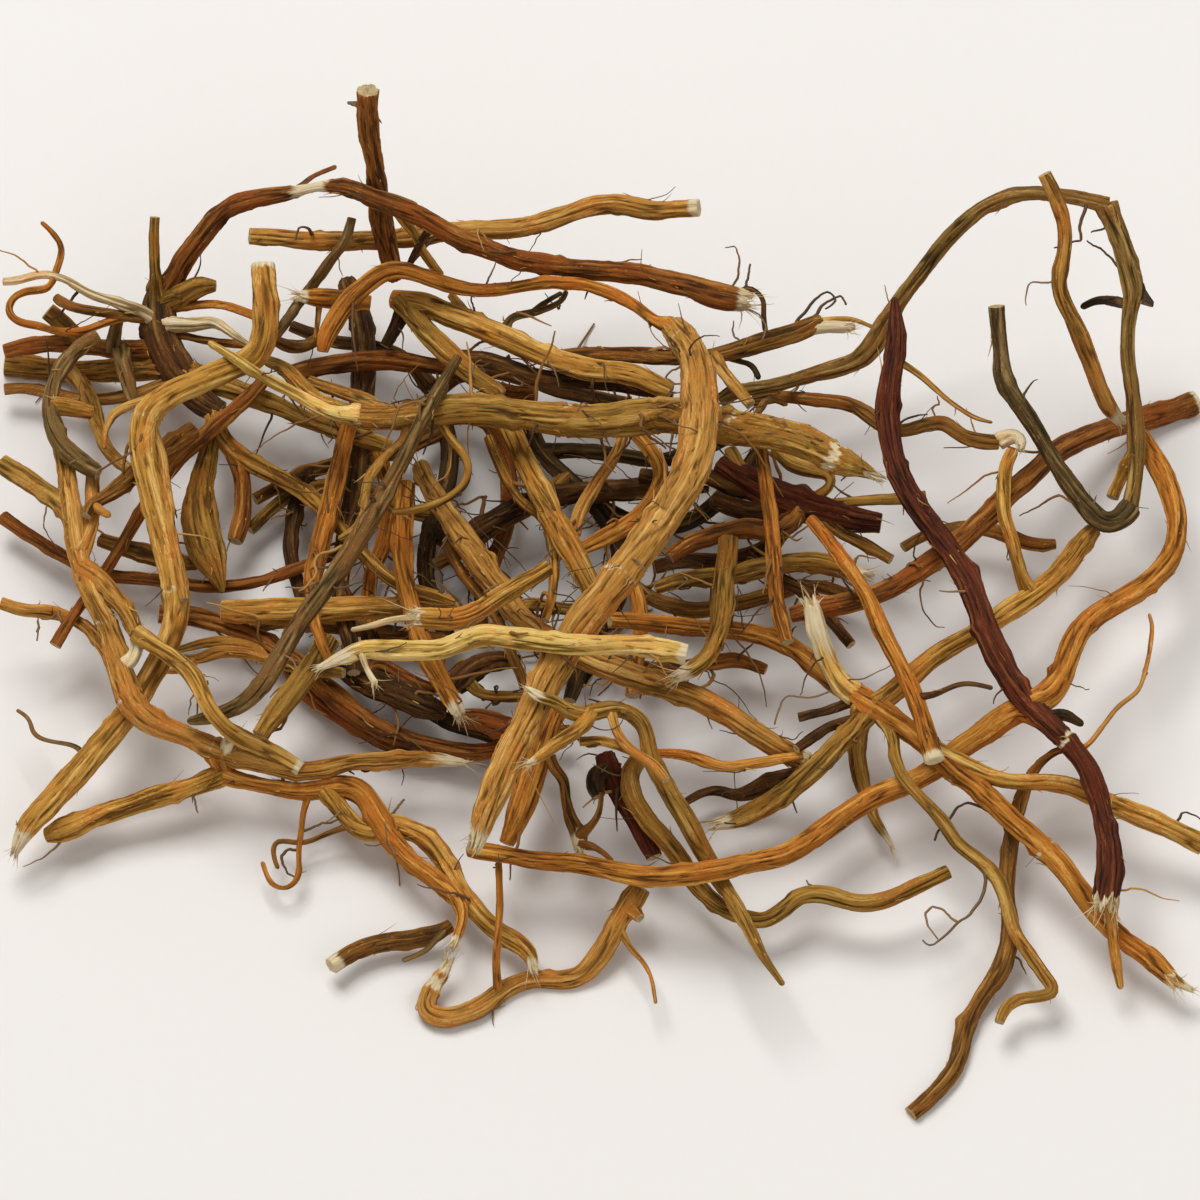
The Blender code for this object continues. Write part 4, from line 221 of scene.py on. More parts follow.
def bundle_of(*roots):
    """The roots in their order, where a root with a parent belongs to the parent's CAD node."""
    nodes = {}
    for item in roots:
        nodes[item.name] = nodes[item.parent] if item.parent else item.node
    return tuple(item._replace(node=nodes[item.name]) for item in roots)


ROOTS = bundle_of(
    # Crown at the upper left, with the roots that spring from it
    root("left_crown", "dark", 12, None, (15, 14, 13, 12, 12),
         (-88, 64, 2.5), (-88.5, 60, 3.2), (-88.5, 55.5, 3.5), (-87.5, 51, 3.6), (-85.5, 47, 3.4),
         (-83, 43.5, 3), (-80, 40, 2.6), (-76, 37.5, 2.2)),
    root("crown_stub", "olive", 20, "left_crown", (16, 24, 30),
         (-88.6, 58, 1.6), (-89, 63, 1.4), (-89.3, 68, 1.1), (-89.4, 72.5, 1), (-89.2, 76.7, 0.9)),
    root("crown_flare", "olive", 17, "left_crown", (16, 20, 22),
         (-86.5, 59.5, 1.8), (-83, 61.5, 2.2), (-80, 63, 2.2), (-77, 63, 1)),
    root("red_arch", "redbrown", 35, "left_crown", (18, 28, 37, 46, 50, 46, 42, 38, 34, 31),
         (-87, 61, 2.2), (-85.5, 64.5, 2.1), (-83.5, 68, 2.1), (-81, 71.3, 2.1), (-78.3, 74.7, 2.1),
         (-76, 77.3, 2), (-73, 79.3, 1.8), (-69, 80.3, 1.7), (-65, 81, 1.6), (-62, 81.3, 1.3),
         (-58.5, 82.2, 0.9), (-55, 82.7, 1), (-52, 82.4, 1.4), (-49, 81.8, 1.7), (-46, 80.5, 1.9),
         (-42, 79, 1.9), (-38, 77.5, 1.9), (-34.5, 75.8, 2), (-32, 74.3, 1.9), (-29, 72.6, 2), (-25, 71, 2),
         (-21, 69.5, 2.1), (-17, 68, 2.1), (-13, 67.3, 2), (-8, 66.6, 1.9), (-3, 66, 1.8), (3, 65.6, 1.9),
         (8, 65, 1.9), (12, 64, 2), (17, 62.8, 2.1), (21, 61.6, 2.3), (25, 60.5, 2.4), (28.7, 60, 2.3)),
    root("arch_twig", "redbrown", 35, "red_arch", None,
         (-61.5, 81.5, 0.6), (-58, 84.7, 0.5), (-55, 86.2, 0.5), (-53.3, 86.9, 0.5)),
    root("arch_branch", "tan", 28, "red_arch", (48, 42, 38, 32),
         (-42, 78.5, 0.9), (-39, 75.5, 1), (-36.8, 73, 0.9), (-35.8, 70.3, 0.9), (-34, 67.8, 0.9),
         (-32, 65, 0.9)),
    root("arch_dark_branch", "dark", 27, "red_arch", (46, 40, 36),
         (-33.5, 74.8, 0.8), (-36, 71, 0.7), (-38, 67.3, 0.6)),
    root("arch_loop", "dark", 35, "red_arch", (31, 33, 33, 31),
         (28, 60.6, 0.5), (28.9, 62.8, 0.5), (31, 62, 0.45), (32.8, 60, 0.5), (32.6, 57, 0.5),
         (33, 54, 0.5)),
    root("edge_upper", "redbrown", 14, "left_crown", (15, 12, 9, 7),
         (-88, 50.5, 1.5), (-97, 50.5, 1.6), (-103, 51, 1.7), (-109, 51.5, 1.8), (-115, 51, 1.7),
         (-119.5, 49.9, 1.4)),
    root("edge_lower", "grey", 13, "left_crown", (13, 8, 4, 1, 0, 0),
         (-86, 47, 2.2), (-94, 46.5, 2.3), (-101, 46, 2.2), (-108, 46, 2.1), (-114, 46.8, 2.2),
         (-119.5, 47.4, 2.3)),
    root("edge_thin", "brown", 11, "left_crown", (12, 9, 6, 5),
         (-83.5, 44, 1.4), (-94, 41, 1.3), (-100, 40.2, 1.1), (-106, 40.7, 1.1), (-111, 41.8, 1.1),
         (-115.5, 42.6, 1.1), (-119.5, 42.3, 1.1)),
    root("edge_stub", "brown", 16, "edge_upper", (11, 14, 16),
         (-104, 51.3, 1.3), (-106.5, 54, 1.6), (-109, 56.3, 1.8), (-110.8, 57.8, 1.7)),
    root("crown_band", "olive", 10, "left_crown", (13, 11, 10, 10),
         (-84.5, 46, 2.4), (-78, 43.8, 2.3), (-73, 42, 2.2), (-68, 40, 2), (-63, 38, 1.8), (-57, 35.5, 1.5),
         (-51.5, 33.5, 1.5), (-46.5, 32, 1.7), (-42, 30.5, 1.4)),
    root("grey_fork_down", "grey", 22, "edge_upper", (14, 18, 18),
         (-96.3, 50.7, 1.5), (-95.5, 47, 1.5), (-94.6, 43.5, 1.4), (-93.3, 40, 1.2)),
    root("grey_fork_up", "grey", 22, "edge_upper", (14, 19, 21),
         (-98.4, 50.6, 1.2), (-97.2, 54, 1.3), (-96.3, 57, 1.1)),
    root("olive_side_root", "olive", 18, "edge_lower", (5, 9, 13, 15),
         (-106.5, 46, 1.4), (-104.5, 44, 1.6), (-102.7, 41, 1.7), (-101.3, 37.5, 1.5), (-100.3, 34, 1.3),
         (-98.5, 30, 1.2), (-95.5, 27, 1.2), (-93, 25.5, 1.1)),
    root("light_fork", "tan", 24, "left_crown", (14, 20, 21, 20),
         (-84, 44.5, 0.9), (-88, 41.5, 0.9), (-92, 39.5, 0.9), (-95, 38.7, 0.8), (-97.8, 36.3, 0.8),
         (-98.9, 33.3, 0.7), (-99, 30.5, 0.5)),
    root("hook_root", "orange", 26, "left_crown", (16, 24, 26, 28, 28, 26, 26, 28),
         (-88.5, 56.6, 1), (-94, 56.7, 0.8), (-97.5, 56, 0.8), (-100.5, 55, 0.8), (-103.5, 53.8, 0.8),
         (-107, 53.5, 0.75), (-112, 54.8, 0.75), (-116.5, 55.7, 0.7), (-118.3, 57.3, 0.7),
         (-118.3, 59.3, 0.7), (-116, 61.5, 0.7), (-113, 62, 0.7), (-110.2, 62.5, 0.7), (-109.4, 64.6, 0.7),
         (-108.6, 67.3, 0.7), (-107.7, 70.3, 0.6), (-109.3, 73.3, 0.5), (-111.8, 75.6, 0.35)),
    root("cream_left", "cream", 28, "left_crown", (16, 24, 25, 24, 22),
         (-87.5, 55.8, 1.5), (-91.5, 57.5, 1.4), (-95.5, 59.2, 1.1), (-99, 60.3, 0.9), (-102, 61.3, 0.8),
         (-105, 63, 0.8), (-108.5, 64.8, 0.8), (-111.5, 65.2, 0.8), (-114.5, 64.6, 0.8), (-117, 63.9, 0.8),
         (-119.5, 63.8, 0.8)),
    root("cream_right", "cream", 28, "left_crown", (17, 22, 24, 25),
         (-88.2, 55.5, 1.5), (-83, 55.2, 1.6), (-80, 55.3, 1.3), (-77.3, 55.8, 1.1), (-75, 54.3, 0.8),
         (-72.5, 52.5, 0.8), (-70.3, 51, 0.6)),
    root("crown_strand", "brown", 27, "left_crown", (16, 22, 24, 22),
         (-88.5, 56.2, 0.9), (-93, 56.3, 0.9), (-96.5, 57.1, 0.9), (-100, 57.6, 0.9), (-104, 58.2, 0.9),
         (-107, 59.2, 0.9), (-109, 60.5, 0.8)),
    root("crown_under_strand", "brown", 19, "left_crown", (15, 18, 19, 18),
         (-88, 54, 0.9), (-84, 53.1, 0.9), (-81, 52.3, 0.8), (-77, 51.8, 0.8), (-73, 51.3, 0.7),
         (-70.5, 51, 0.6)),
    root("orange_thin", "orange", 18, "left_crown", (16, 19, 20, 20),
         (-88, 58.5, 0.9), (-83, 58.8, 0.9), (-79, 59.3, 0.9), (-75, 59, 0.9), (-72, 58, 0.9),
         (-69, 56.8, 0.9), (-66, 55.5, 0.8)),
    root("broken_point", "olive", 14, "left_crown", (12, 12, 12, 11, 9, 8),
         (-76.5, 37.5, 1.7), (-77.8, 32, 1.7), (-78.8, 27, 1.9), (-79.8, 22, 2.6), (-80, 17.5, 3.8),
         (-79.3, 13, 3.9), (-78, 9, 3.3), (-76.7, 5.5, 2.2), (-75.4, 1.8, 0.5)),
    root("golden_runner", "gold", 13, "left_crown", (12, 12, 12, 12, 12, 11, 10, 10),
         (-77.5, 38, 1.6), (-75.5, 32.5, 1.7), (-72.5, 29.3, 1.8), (-69, 27, 1.8), (-65, 25, 1.7),
         (-61, 22.8, 1.7), (-57.5, 20.3, 1.7), (-53, 15.5, 1.4), (-48, 10, 1.3), (-44, 6, 1.3),
         (-39, 2.5, 1.3), (-33, 0.8, 1.2), (-29, -0.5, 1)),
    root("red_short", "redbrown", 12, "golden_runner", (11, 9, 8),
         (-73, 30, 1.5), (-71.9, 26, 1.6), (-71.4, 21, 1.6), (-71.7, 16, 1.6), (-73, 11.8, 1.5)),

    # Elbow root, with the thin roots that hold on to it
    root("elbow_root", "tan", 33, None, (40, 37, 34, 32, 30, 27, 24, 20, 16, 13, 10, 8),
         (-67.2, 66.8, 2.3), (-66.9, 60, 2.4), (-66.7, 54, 2.5), (-67.8, 50, 2.6), (-71, 47.3, 2.4),
         (-76, 45.3, 2.4), (-81, 43.2, 2.4), (-86, 40.8, 2.5), (-89.6, 38, 2.7), (-91.2, 34, 2.7),
         (-91, 29, 2.6), (-89.7, 23, 2.6), (-88.2, 17, 2.6), (-86.6, 10.5, 2.5), (-85.2, 5, 2.4),
         (-84.3, -0.5, 2.4), (-84.6, -5, 2.2), (-86.5, -10, 2.2), (-89.5, -15.5, 2.2), (-93, -21, 2.3),
         (-97, -26.3, 2.4), (-101.5, -31.5, 2.5), (-106.5, -37.3, 2.5), (-111, -42, 2.5),
         (-114, -45.5, 2.1), (-116, -49.8, 0.7)),
    root("elbow_seam", "tan", 33, "elbow_root", None,
         (-89.5, 35.4, 1.2), (-88.2, 30, 1.5), (-87.3, 24, 1.5), (-86, 17, 1.4), (-84.8, 10.5, 1.3),
         (-83.5, 5, 1.2), (-82.6, 0, 0.9)),
    root("brown_link", "brown", 20, "elbow_root", (34, 26, 23, 24),
         (-66.8, 53, 1.2), (-63, 51, 1.2), (-60, 50.4, 1.1), (-57.5, 51.5, 1.1), (-54.5, 54, 1.1),
         (-51.8, 57, 1)),
    root("dark_link", "grey", 25, "elbow_root", (34, 34, 38, 42),
         (-66.9, 51, 1), (-63.5, 54.5, 1.1), (-60.5, 59, 1.1), (-57, 63.7, 1.1), (-53.5, 68.5, 1),
         (-50.8, 72, 1), (-49.7, 76.3, 0.9)),
    root("elbow_hair_root", "grey", 20, "elbow_root", None,
         (-102.3, -32.4, 0.6), (-102.5, -30.3, 0.5), (-104, -29, 0.5), (-107, -28.4, 0.5),
         (-111, -27.7, 0.45), (-113, -26.5, 0.45), (-113, -24, 0.4), (-115.8, -22, 0.35)),

    # Long left root, with the knotty place where the lower left roots spring from it
    root("long_left", "orange", 35, None, (26, 25, 24, 22, 22, 20, 18, 15, 13, 12, 12, 13, 14),
         (-110.3, 39.5, 0.9), (-109, 35, 1.6), (-107, 29, 1.7), (-106, 23, 1.8), (-105, 17, 1.9),
         (-104.3, 11, 2), (-102.7, 5, 2), (-100.3, -0.5, 2.1), (-97.5, -6, 2.2), (-95.8, -12, 2.3),
         (-94, -18, 2.6), (-91.5, -22.5, 2.6), (-88, -24.7, 2.1), (-82, -27, 2.1), (-76.5, -29.8, 2.2),
         (-72, -31, 2.1), (-66, -32.6, 1.9), (-60, -34, 1.8), (-55, -33.6, 1.7), (-50, -32.3, 1.6),
         (-45, -32, 1.6), (-40, -31.8, 1.6), (-35, -31.5, 1.5), (-31, -31.9, 1.3), (-26.5, -32.2, 0.6)),
    root("upper_strand", "tan", 35, "long_left", None,
         (-103.7, 8.5, 1.6), (-101.7, 14, 1.6), (-101, 19, 1.5), (-101.3, 24, 1.3), (-101, 27, 1.1)),
    root("lower_strand", "tan", 35, "long_left", None,
         (-103, 6.5, 1.8), (-99.5, 4, 1.9), (-96.5, 0.5, 1.9), (-94, -2.5, 1.9), (-92.2, -6.5, 1.7)),
    root("knobs", "cream", 35, "long_left", None,
         (-95.3, -14, 1.6), (-92.8, -12, 1.2), (-92, -9.5, 1.1), (-92, -7, 1.4)),
    root("tan_left", "tan", 21, "long_left", (21, 18, 17, 17),
         (-95, -15, 1.4), (-97.5, -11.5, 1.3), (-99.5, -8.5, 1.3), (-102, -5.7, 1.3), (-106, -3.4, 1.2),
         (-110, -2.3, 1.3), (-115, -2, 1.2), (-119.3, -0.7, 1.1)),
    root("olive_left", "olive", 20, "long_left", (22, 18, 16),
         (-104.9, 15, 1.6), (-107, 18.5, 1.8), (-111, 21.5, 1.9), (-115, 24.3, 1.9), (-119.5, 27, 1.9)),
    root("yellow_left", "gold", 37, "lower_strand", (23, 25, 24, 22, 18, 15, 14),
         (-92.6, -6, 1.4), (-89.5, -8.3, 1.6), (-86, -10.5, 1.6), (-82, -13.5, 1.6), (-79.5, -17, 1.6),
         (-77.7, -21, 1.6), (-75.3, -24.3, 1.7), (-71.8, -27, 1.7), (-67.5, -29, 1.7), (-63, -31.3, 1.6),
         (-59.5, -33.5, 1.5)),
    root("cut_stub", "tan", 36, "long_left", (16, 20),
         (-74.8, -30.4, 1.3), (-74, -29, 1.3), (-73.4, -27.6, 1.3)),
    root("connector", "orange", 34, "long_left", (15, 11, 9),
         (-76.4, -29.9, 2), (-75, -33.5, 1.8), (-74.8, -36, 1.6)),
    root("chain_root", "orange", 26, "connector", (10, 9, 9, 9, 9, 8, 8, 8, 8, 9),
         (-75, -35.3, 1.4), (-70, -36.3, 1.5), (-65, -37.2, 1.5), (-60, -38, 1.6), (-55, -37.5, 1.9),
         (-50.5, -37, 2.2), (-47, -38.7, 2.2), (-45, -42, 2.2), (-43.5, -45, 2.1), (-41, -48, 2),
         (-38, -51.5, 1.9), (-34.5, -54, 1.8), (-31, -57, 1.8), (-28.3, -59.5, 1.6), (-27.2, -62.5, 1.1),
         (-27.8, -65.5, 0.9), (-29, -68.5, 0.8)),
    root("twin_root", "gold", 22, "chain_root", (9, 7, 7, 7, 7, 6, 6, 5, 4, 4),
         (-55, -37.7, 1.5), (-51.5, -41.5, 1.7), (-48.5, -45, 1.9), (-44.5, -46.3, 1.8),
         (-41.5, -44.3, 1.9), (-38, -45.6, 2), (-34, -47.7, 2.2), (-31.3, -51, 2.1), (-29, -55, 2),
         (-27, -58.5, 1.9), (-24.5, -62, 1.9), (-21, -65.3, 1.9), (-17, -67.8, 1.9), (-14, -70, 1.7),
         (-13.3, -73, 0.9)),
    root("low_left_root", "brown", 20, "connector", (9, 8, 7, 6, 5),
         (-75, -34.5, 1.6), (-79.5, -36.5, 1.9), (-84, -38, 2), (-89, -39.3, 2.1), (-94, -41, 1.9),
         (-99, -42.5, 2), (-103.5, -44.5, 2.4), (-107.5, -46, 2.4), (-110, -46.7, 1.4)),
    root("rootlet_down", "orange", 24, "chain_root", (9, 7, 5, 5, 5),
         (-57.5, -37.8, 0.7), (-59, -42.5, 0.6), (-59.3, -46.5, 0.6), (-60, -50, 0.55), (-59.6, -54, 0.55),
         (-60.8, -56.5, 0.5), (-63, -57.5, 0.5), (-65, -56.7, 0.5), (-66.3, -54.5, 0.45),
         (-67, -52.3, 0.45)),
    root("rootlet_across", "brown", 21, "twin_root", (7, 6, 5, 5),
         (-49.2, -44.4, 0.6), (-55, -46.7, 0.5), (-58.5, -48.3, 0.5), (-62, -48, 0.5), (-64.7, -47.7, 0.5),
         (-65, -50, 0.45), (-64, -53, 0.45)),

    # Separate roots on the left
    root("curved_tan_root", "grey", 37, None, None,
         (-100.5, 53, 1.2), (-103.5, 51, 1.6), (-106.5, 48, 1.7), (-108.7, 44.3, 1.6), (-109.7, 40, 1.6),
         (-109.5, 36, 1.7), (-108, 32, 1.9), (-105.5, 29, 1.9), (-102.8, 27, 1.9), (-100, 25.3, 1.4)),
    root("curved_tan_stub", "gold", 36, "curved_tan_root", (29, 26, 24),
         (-109.6, 39, 1.4), (-107.5, 38.7, 1.4), (-104, 38, 1.6), (-101.5, 37.5, 1.4)),
    root("dark_diagonal", "redbrown", 16, None, None,
         (-108.5, -9, 1.2), (-105.5, -4, 1.1), (-102.3, 0.5, 1.1), (-98.5, 6, 1.1), (-95, 12, 1.2),
         (-91.5, 18, 1.3), (-88, 23.5, 1.5), (-84, 28.5, 1.6), (-79, 33, 1.6), (-74, 37.3, 1.6),
         (-70, 41, 1.5), (-67, 44.5, 1.4)),
    root("knob_diagonal", "brown", 36, None, (27, 25, 20, 18),
         (-102.3, 16.8, 0.9), (-101.7, 18.8, 1.1), (-99.5, 20, 1.1), (-96.5, 22, 1.6), (-93.5, 24.7, 1.8),
         (-89.5, 28, 1.9), (-85.5, 31, 2.1), (-81.5, 34, 2)),
    root("knob_fork", "tan", 36, "knob_diagonal", None,
         (-101, 19.2, 0.8), (-99.8, 17.8, 0.7), (-98, 17, 0.7)),
    root("dark_low_left", "dark", 9, None, None,
         (-100, 12, 1.2), (-95.5, 10.5, 1.6), (-90, 9, 1.9), (-84.5, 7.5, 1.7), (-80.5, 7, 0.9)),
    root("long_thin_root", "redbrown", 8, None, None,
         (-119.5, 16.7, 1.3), (-115, 13.5, 1.3), (-110, 10.3, 1.3), (-106, 8, 1.2), (-102, 6, 1.2),
         (-97, 4.7, 1.2), (-91, 4.2, 1.2), (-85, 3.5, 1.2), (-79, 2.7, 1.2), (-73, 2.9, 1.2), (-67, 4, 1.2),
         (-61, 6, 1.1), (-56, 8, 1.1), (-51, 9.3, 1), (-47, 10, 0.8)),
    root("fibrous_root", "olive", 11, None, None,
         (-83.5, -11.5, 0.7), (-80, -12, 1), (-77.5, -10.7, 1.2), (-73.5, -10.3, 1.1), (-69.5, -10.8, 1.1),
         (-66, -12, 1.2), (-60, -13.3, 1.4), (-55, -14, 1.3), (-51, -14.5, 1)),
    root("fibrous_upper", "olive", 11, "fibrous_root", None,
         (-66, -12, 0.9), (-68, -9.8, 0.9), (-72, -8.6, 1), (-76, -8.3, 1), (-80, -8.9, 0.8),
         (-84, -10, 0.6)),
    root("fibrous_lower", "tan", 11, "fibrous_root", None,
         (-80, -12, 0.7), (-82, -13.7, 0.7), (-84.5, -14.2, 0.6), (-88, -14, 0.5)),
    root("broad_under_stick", "olive", 12, None, None,
         (-54, -8, 2), (-57, -13, 2.2), (-60.5, -17.5, 2.2), (-64, -22, 2.1), (-67.5, -27, 1.7)),
    root("gold_level_root", "gold", 10, None, None,
         (-75.3, -2.2, 2.2), (-70, -2.3, 2.4), (-64, -2.3, 2.4), (-58, -2.2, 2.3), (-52, -1.8, 2.1),
         (-46, -1.5, 2), (-40, -1.3, 1.9), (-34, -1.3, 1.7), (-28, -1.8, 1.2)),
    root("back_runner", "redbrown", 7, None, (8, 7, 6, 5, 5, 5, 6, 6),
         (-88, -2.7, 1.8), (-82, -3.2, 1.8), (-76, -4.8, 1.7), (-70, -6.8, 1.7), (-65, -9.3, 1.6),
         (-60.5, -12.5, 1.8), (-56, -16.5, 2), (-51.5, -20.5, 2.1), (-47, -24, 2), (-42, -26.5, 1.9),
         (-36, -28.3, 1.8), (-30, -29.7, 1.8), (-24, -30.3, 1.7), (-18, -29, 1.6), (-12, -27, 1.4),
         (-6, -26, 1.2)),
    root("grey_stick", "grey", 36, None, None,
         (-28.3, 48.4, 1), (-30, 45.5, 1.1), (-32.3, 41.5, 1.3), (-34.5, 37.5, 1.4), (-37, 32.5, 1.5),
         (-39.8, 26.5, 1.6), (-43.3, 20.3, 1.8), (-46.7, 14.3, 1.9), (-50.3, 8.3, 1.9), (-54, 3, 1.9),
         (-57.8, -2, 1.9), (-61, -7, 1.9), (-64, -12, 1.9), (-67, -17, 1.9), (-70.5, -20.3, 1.7),
         (-75, -22.3, 1.3), (-78.5, -23.5, 1.2), (-81.3, -24, 0.7)),
    root("left_upright", "orange", 15, None, None,
         (-50, 36, 1.6), (-51.3, 31, 1.8), (-52.2, 26, 1.9), (-53.5, 20, 1.9), (-55, 14, 1.9),
         (-56.5, 8, 1.8), (-57.3, 2, 1.6), (-57, -3, 1.2), (-55.5, -8, 1), (-53.5, -12.5, 0.8)),
    root("dark_upright", "dark", 9, None, None,
         (-50.8, 63.8, 1.9), (-49.8, 61, 2.2), (-48.2, 57, 2.3), (-47.5, 52, 2.4), (-47.3, 46, 2.4),
         (-47.6, 40, 2.3), (-48.3, 33, 2.1), (-48.4, 27, 2.1), (-49.3, 20, 2), (-50.5, 14, 1.8),
         (-51.5, 8, 1.7), (-51.8, 2, 1.7), (-50.8, -4, 1.7), (-49.5, -10, 1.6), (-49, -14.5, 1.3)),
    root("red_level_root", "redbrown", 16, None, None,
         (-62, 45.5, 1.5), (-58, 46.3, 1.8), (-53, 47.2, 1.9), (-48, 47.9, 1.9), (-42, 48, 1.9),
         (-36, 47.2, 1.7), (-30, 46.2, 1.5), (-25, 44.3, 1.5), (-19, 41.8, 1.4), (-12.5, 41.2, 1.3)),
    root("short_level_root", "orange", 27, None, None,
         (-60.3, 60.8, 1), (-57.5, 60.6, 1.7), (-54, 60.4, 1.8), (-50, 60, 1.7), (-46, 59.5, 1.3)),
    root("short_level_twig", "tan", 24, "short_level_root", None,
         (-56.5, 60, 0.6), (-56.6, 56, 0.5), (-56.9, 52.5, 0.5)),
    root("dark_knot_root", "dark", 7, None, None,
         (-52, -12.5, 2), (-47, -16, 2.8), (-42, -18, 2.9), (-37, -20, 2.9), (-33.5, -21.5, 2.9),
         (-31.2, -22.4, 1.6)),
    root("dark_knot_branch", "redbrown", 8, "dark_knot_root", None,
         (-47, -15.8, 1.3), (-44, -12.5, 1.3), (-41, -14, 1.3), (-36, -16.8, 1.3), (-32.5, -18, 1.1)),
    root("fuzzy_knot", "dark", 6, None, None,
         (-29, -17.5, 2), (-27.5, -15.5, 2.9), (-25.5, -14, 2.6), (-22.5, -12.5, 2), (-19, -12, 1.8),
         (-16, -12.5, 1.4)),
    root("fuzzy_knot_branch", "olive", 7, "fuzzy_knot", None,
         (-27, -15.3, 1.2), (-24.5, -18.4, 1.2), (-19, -19.2, 1.2), (-15, -19.3, 1.1)),
    root("speckled_root", "orange", 16, None, None,
         (-38.8, 23, 1.6), (-39.2, 17, 1.9), (-39.5, 12, 2), (-39.3, 7, 1.9), (-38.3, 2, 1.9),
         (-37.3, -2, 1.9), (-36.3, -6, 1.9), (-34.3, -11, 2), (-32.2, -15, 1.9), (-30, -19, 1.8),
         (-28, -22.8, 1.3)),
    root("red_stub", "redbrown", 8, None, None,
         (-28, -23.6, 1.5), (-24, -23.9, 2.2), (-20, -25, 2.2), (-16, -26.5, 2.1), (-11, -28, 1.8)),

    # Thick roots that run over the middle
    root("main_root", "olive", 32, None, None,
         (-66.5, 47.8, 0.9), (-63, 46.3, 1.3), (-60, 43, 1.6), (-57, 40, 1.7), (-53, 38, 1.9),
         (-48, 36.7, 2.1), (-42, 36.5, 2.4), (-36, 37, 2.8), (-30, 37.8, 3), (-24, 37.8, 3), (-18, 37.3, 3),
         (-12, 36.5, 3.1), (-6, 35.8, 3.2), (0, 35.6, 3.3), (6, 36.3, 3.5), (11, 36.8, 3.5),
         (16, 36.3, 3.4), (21, 35.3, 3.4), (26, 34.4, 3.3), (31, 33.7, 3.3), (36, 32.8, 3.3),
         (41, 31.3, 3.2), (46, 28.8, 3), (50.5, 26.6, 2.2), (55, 24.6, 0.8)),
    root("split_strand", "straw", 34, "main_root", None,
         (-47, 36.7, 1.6), (-52, 37, 1.5), (-57, 38.8, 1.3), (-61, 41.3, 1.2), (-66, 43.8, 1.1),
         (-70, 46.3, 1), (-74, 49, 0.9), (-77.7, 51.2, 0.7)),
    root("upper_band", "olive", 26, "main_root", None,
         (-42, 37, 1.3), (-46, 39.5, 1.4), (-50, 41, 1.4), (-54, 42.3, 1.2), (-58, 43.7, 1)),
    root("wide_loop", "olive", 33, "main_root", (34, 31, 29, 28, 28),
         (-32.4, 37.4, 0.8), (-29.5, 31.5, 0.9), (-27, 29, 0.8), (-26, 26, 0.9), (-27, 23, 0.9),
         (-30, 20.5, 0.9), (-34, 18.8, 0.9), (-38, 17.8, 0.8), (-41, 17.5, 0.7)),
    root("side_loop", "olive", 33, "main_root", (34, 29, 26, 24, 22),
         (-38, 36.8, 0.7), (-39.2, 31.8, 0.7), (-41.5, 30, 0.7), (-43.8, 27.5, 0.9), (-46, 24.5, 1),
         (-46.8, 21, 0.9), (-47, 17.5, 0.7), (-48.5, 14.6, 0.6), (-51.8, 12.3, 0.5)),
    root("brown_twig", "brown", 32, "main_root", None,
         (30.5, 34, 0.8), (32, 38.2, 0.7), (34, 40.3, 0.6), (37, 39.2, 0.6)),
    root("thick_root", "tan", 38, None, (40, 44, 46, 44, 40, 34, 28),
         (14.5, 54.5, 2.2), (16.5, 52, 2.8), (18.5, 48.5, 3.2), (19.6, 45, 3.4), (19.8, 40, 3.5),
         (19.8, 35, 3.6), (19.3, 30, 3.6), (17.7, 25, 3.6), (15, 20, 3.5), (12, 15.5, 3.4),
         (8.5, 10.5, 3.4), (5, 6, 3.5), (1.5, 1.5, 3.5), (-2.5, -3, 3.3), (-6.5, -9, 3.1), (-10, -15, 3),
         (-13, -21, 3), (-16, -27, 3.1), (-19, -33, 3.1), (-21.5, -39, 2.9), (-23.3, -44, 2.4),
         (-24.3, -47.3, 1.6)),
    root("thick_root_tail", "orange", 38, "thick_root", (40, 37, 34, 36, 38, 36, 33),
         (15, 54, 1.3), (11.5, 55.2, 1.2), (8.5, 57.7, 1.2), (5, 60, 1.2), (1, 61.8, 1.3), (-3, 63, 1.3),
         (-8, 63.4, 1.3), (-12, 63.3, 1.25), (-16, 62.6, 1.2), (-20, 62, 1.3), (-24, 61.8, 1.3),
         (-28, 62.3, 1.4), (-32, 63.5, 1.5), (-36, 65, 1.6), (-40, 66, 1.7), (-43, 65.5, 1.8),
         (-46, 63.5, 1.9), (-49, 61, 2), (-51.5, 58, 2), (-53.5, 55, 1.9), (-55, 52, 1.7),
         (-55.4, 49.6, 1)),
    root("gold_root", "gold", 30, None, None,
         (-41.5, 60.3, 1.6), (-38, 59.8, 2.1), (-34, 58.7, 2.3), (-30, 57, 2.3), (-26, 55.5, 2.3),
         (-22, 53.8, 2.2), (-18, 52, 2.2), (-14, 50, 2.1), (-10, 48.3, 2), (-6, 47, 2), (-2, 46, 2),
         (2, 45.7, 2), (6, 45, 2.1), (9, 44, 2), (12, 42.5, 1.9), (14, 41.5, 1.7)),
    root("gold_lower_fork", "olive", 28, "gold_root", None,
         (-39.5, 60, 1.6), (-37.5, 57, 1.9), (-35, 54, 2.1), (-32, 51, 2.1), (-29.3, 48.5, 2),
         (-26.7, 46, 1.9), (-24, 44, 1.8), (-21.5, 42.5, 1.7), (-19.5, 41, 1.3)),
    root("under_gold", "dark", 25, "gold_lower_fork", None,
         (-29, 48.3, 1.2), (-24, 48.5, 1.3), (-19, 47, 1.5), (-14, 45.3, 1.4), (-9, 44.3, 1.4),
         (-4, 43.4, 1.3), (1, 43, 1.3), (6, 42.3, 1.2), (11, 41.3, 1.2), (14.5, 40.5, 1)),
    root("gold_down_branch", "dark", 20, "gold_root", None,
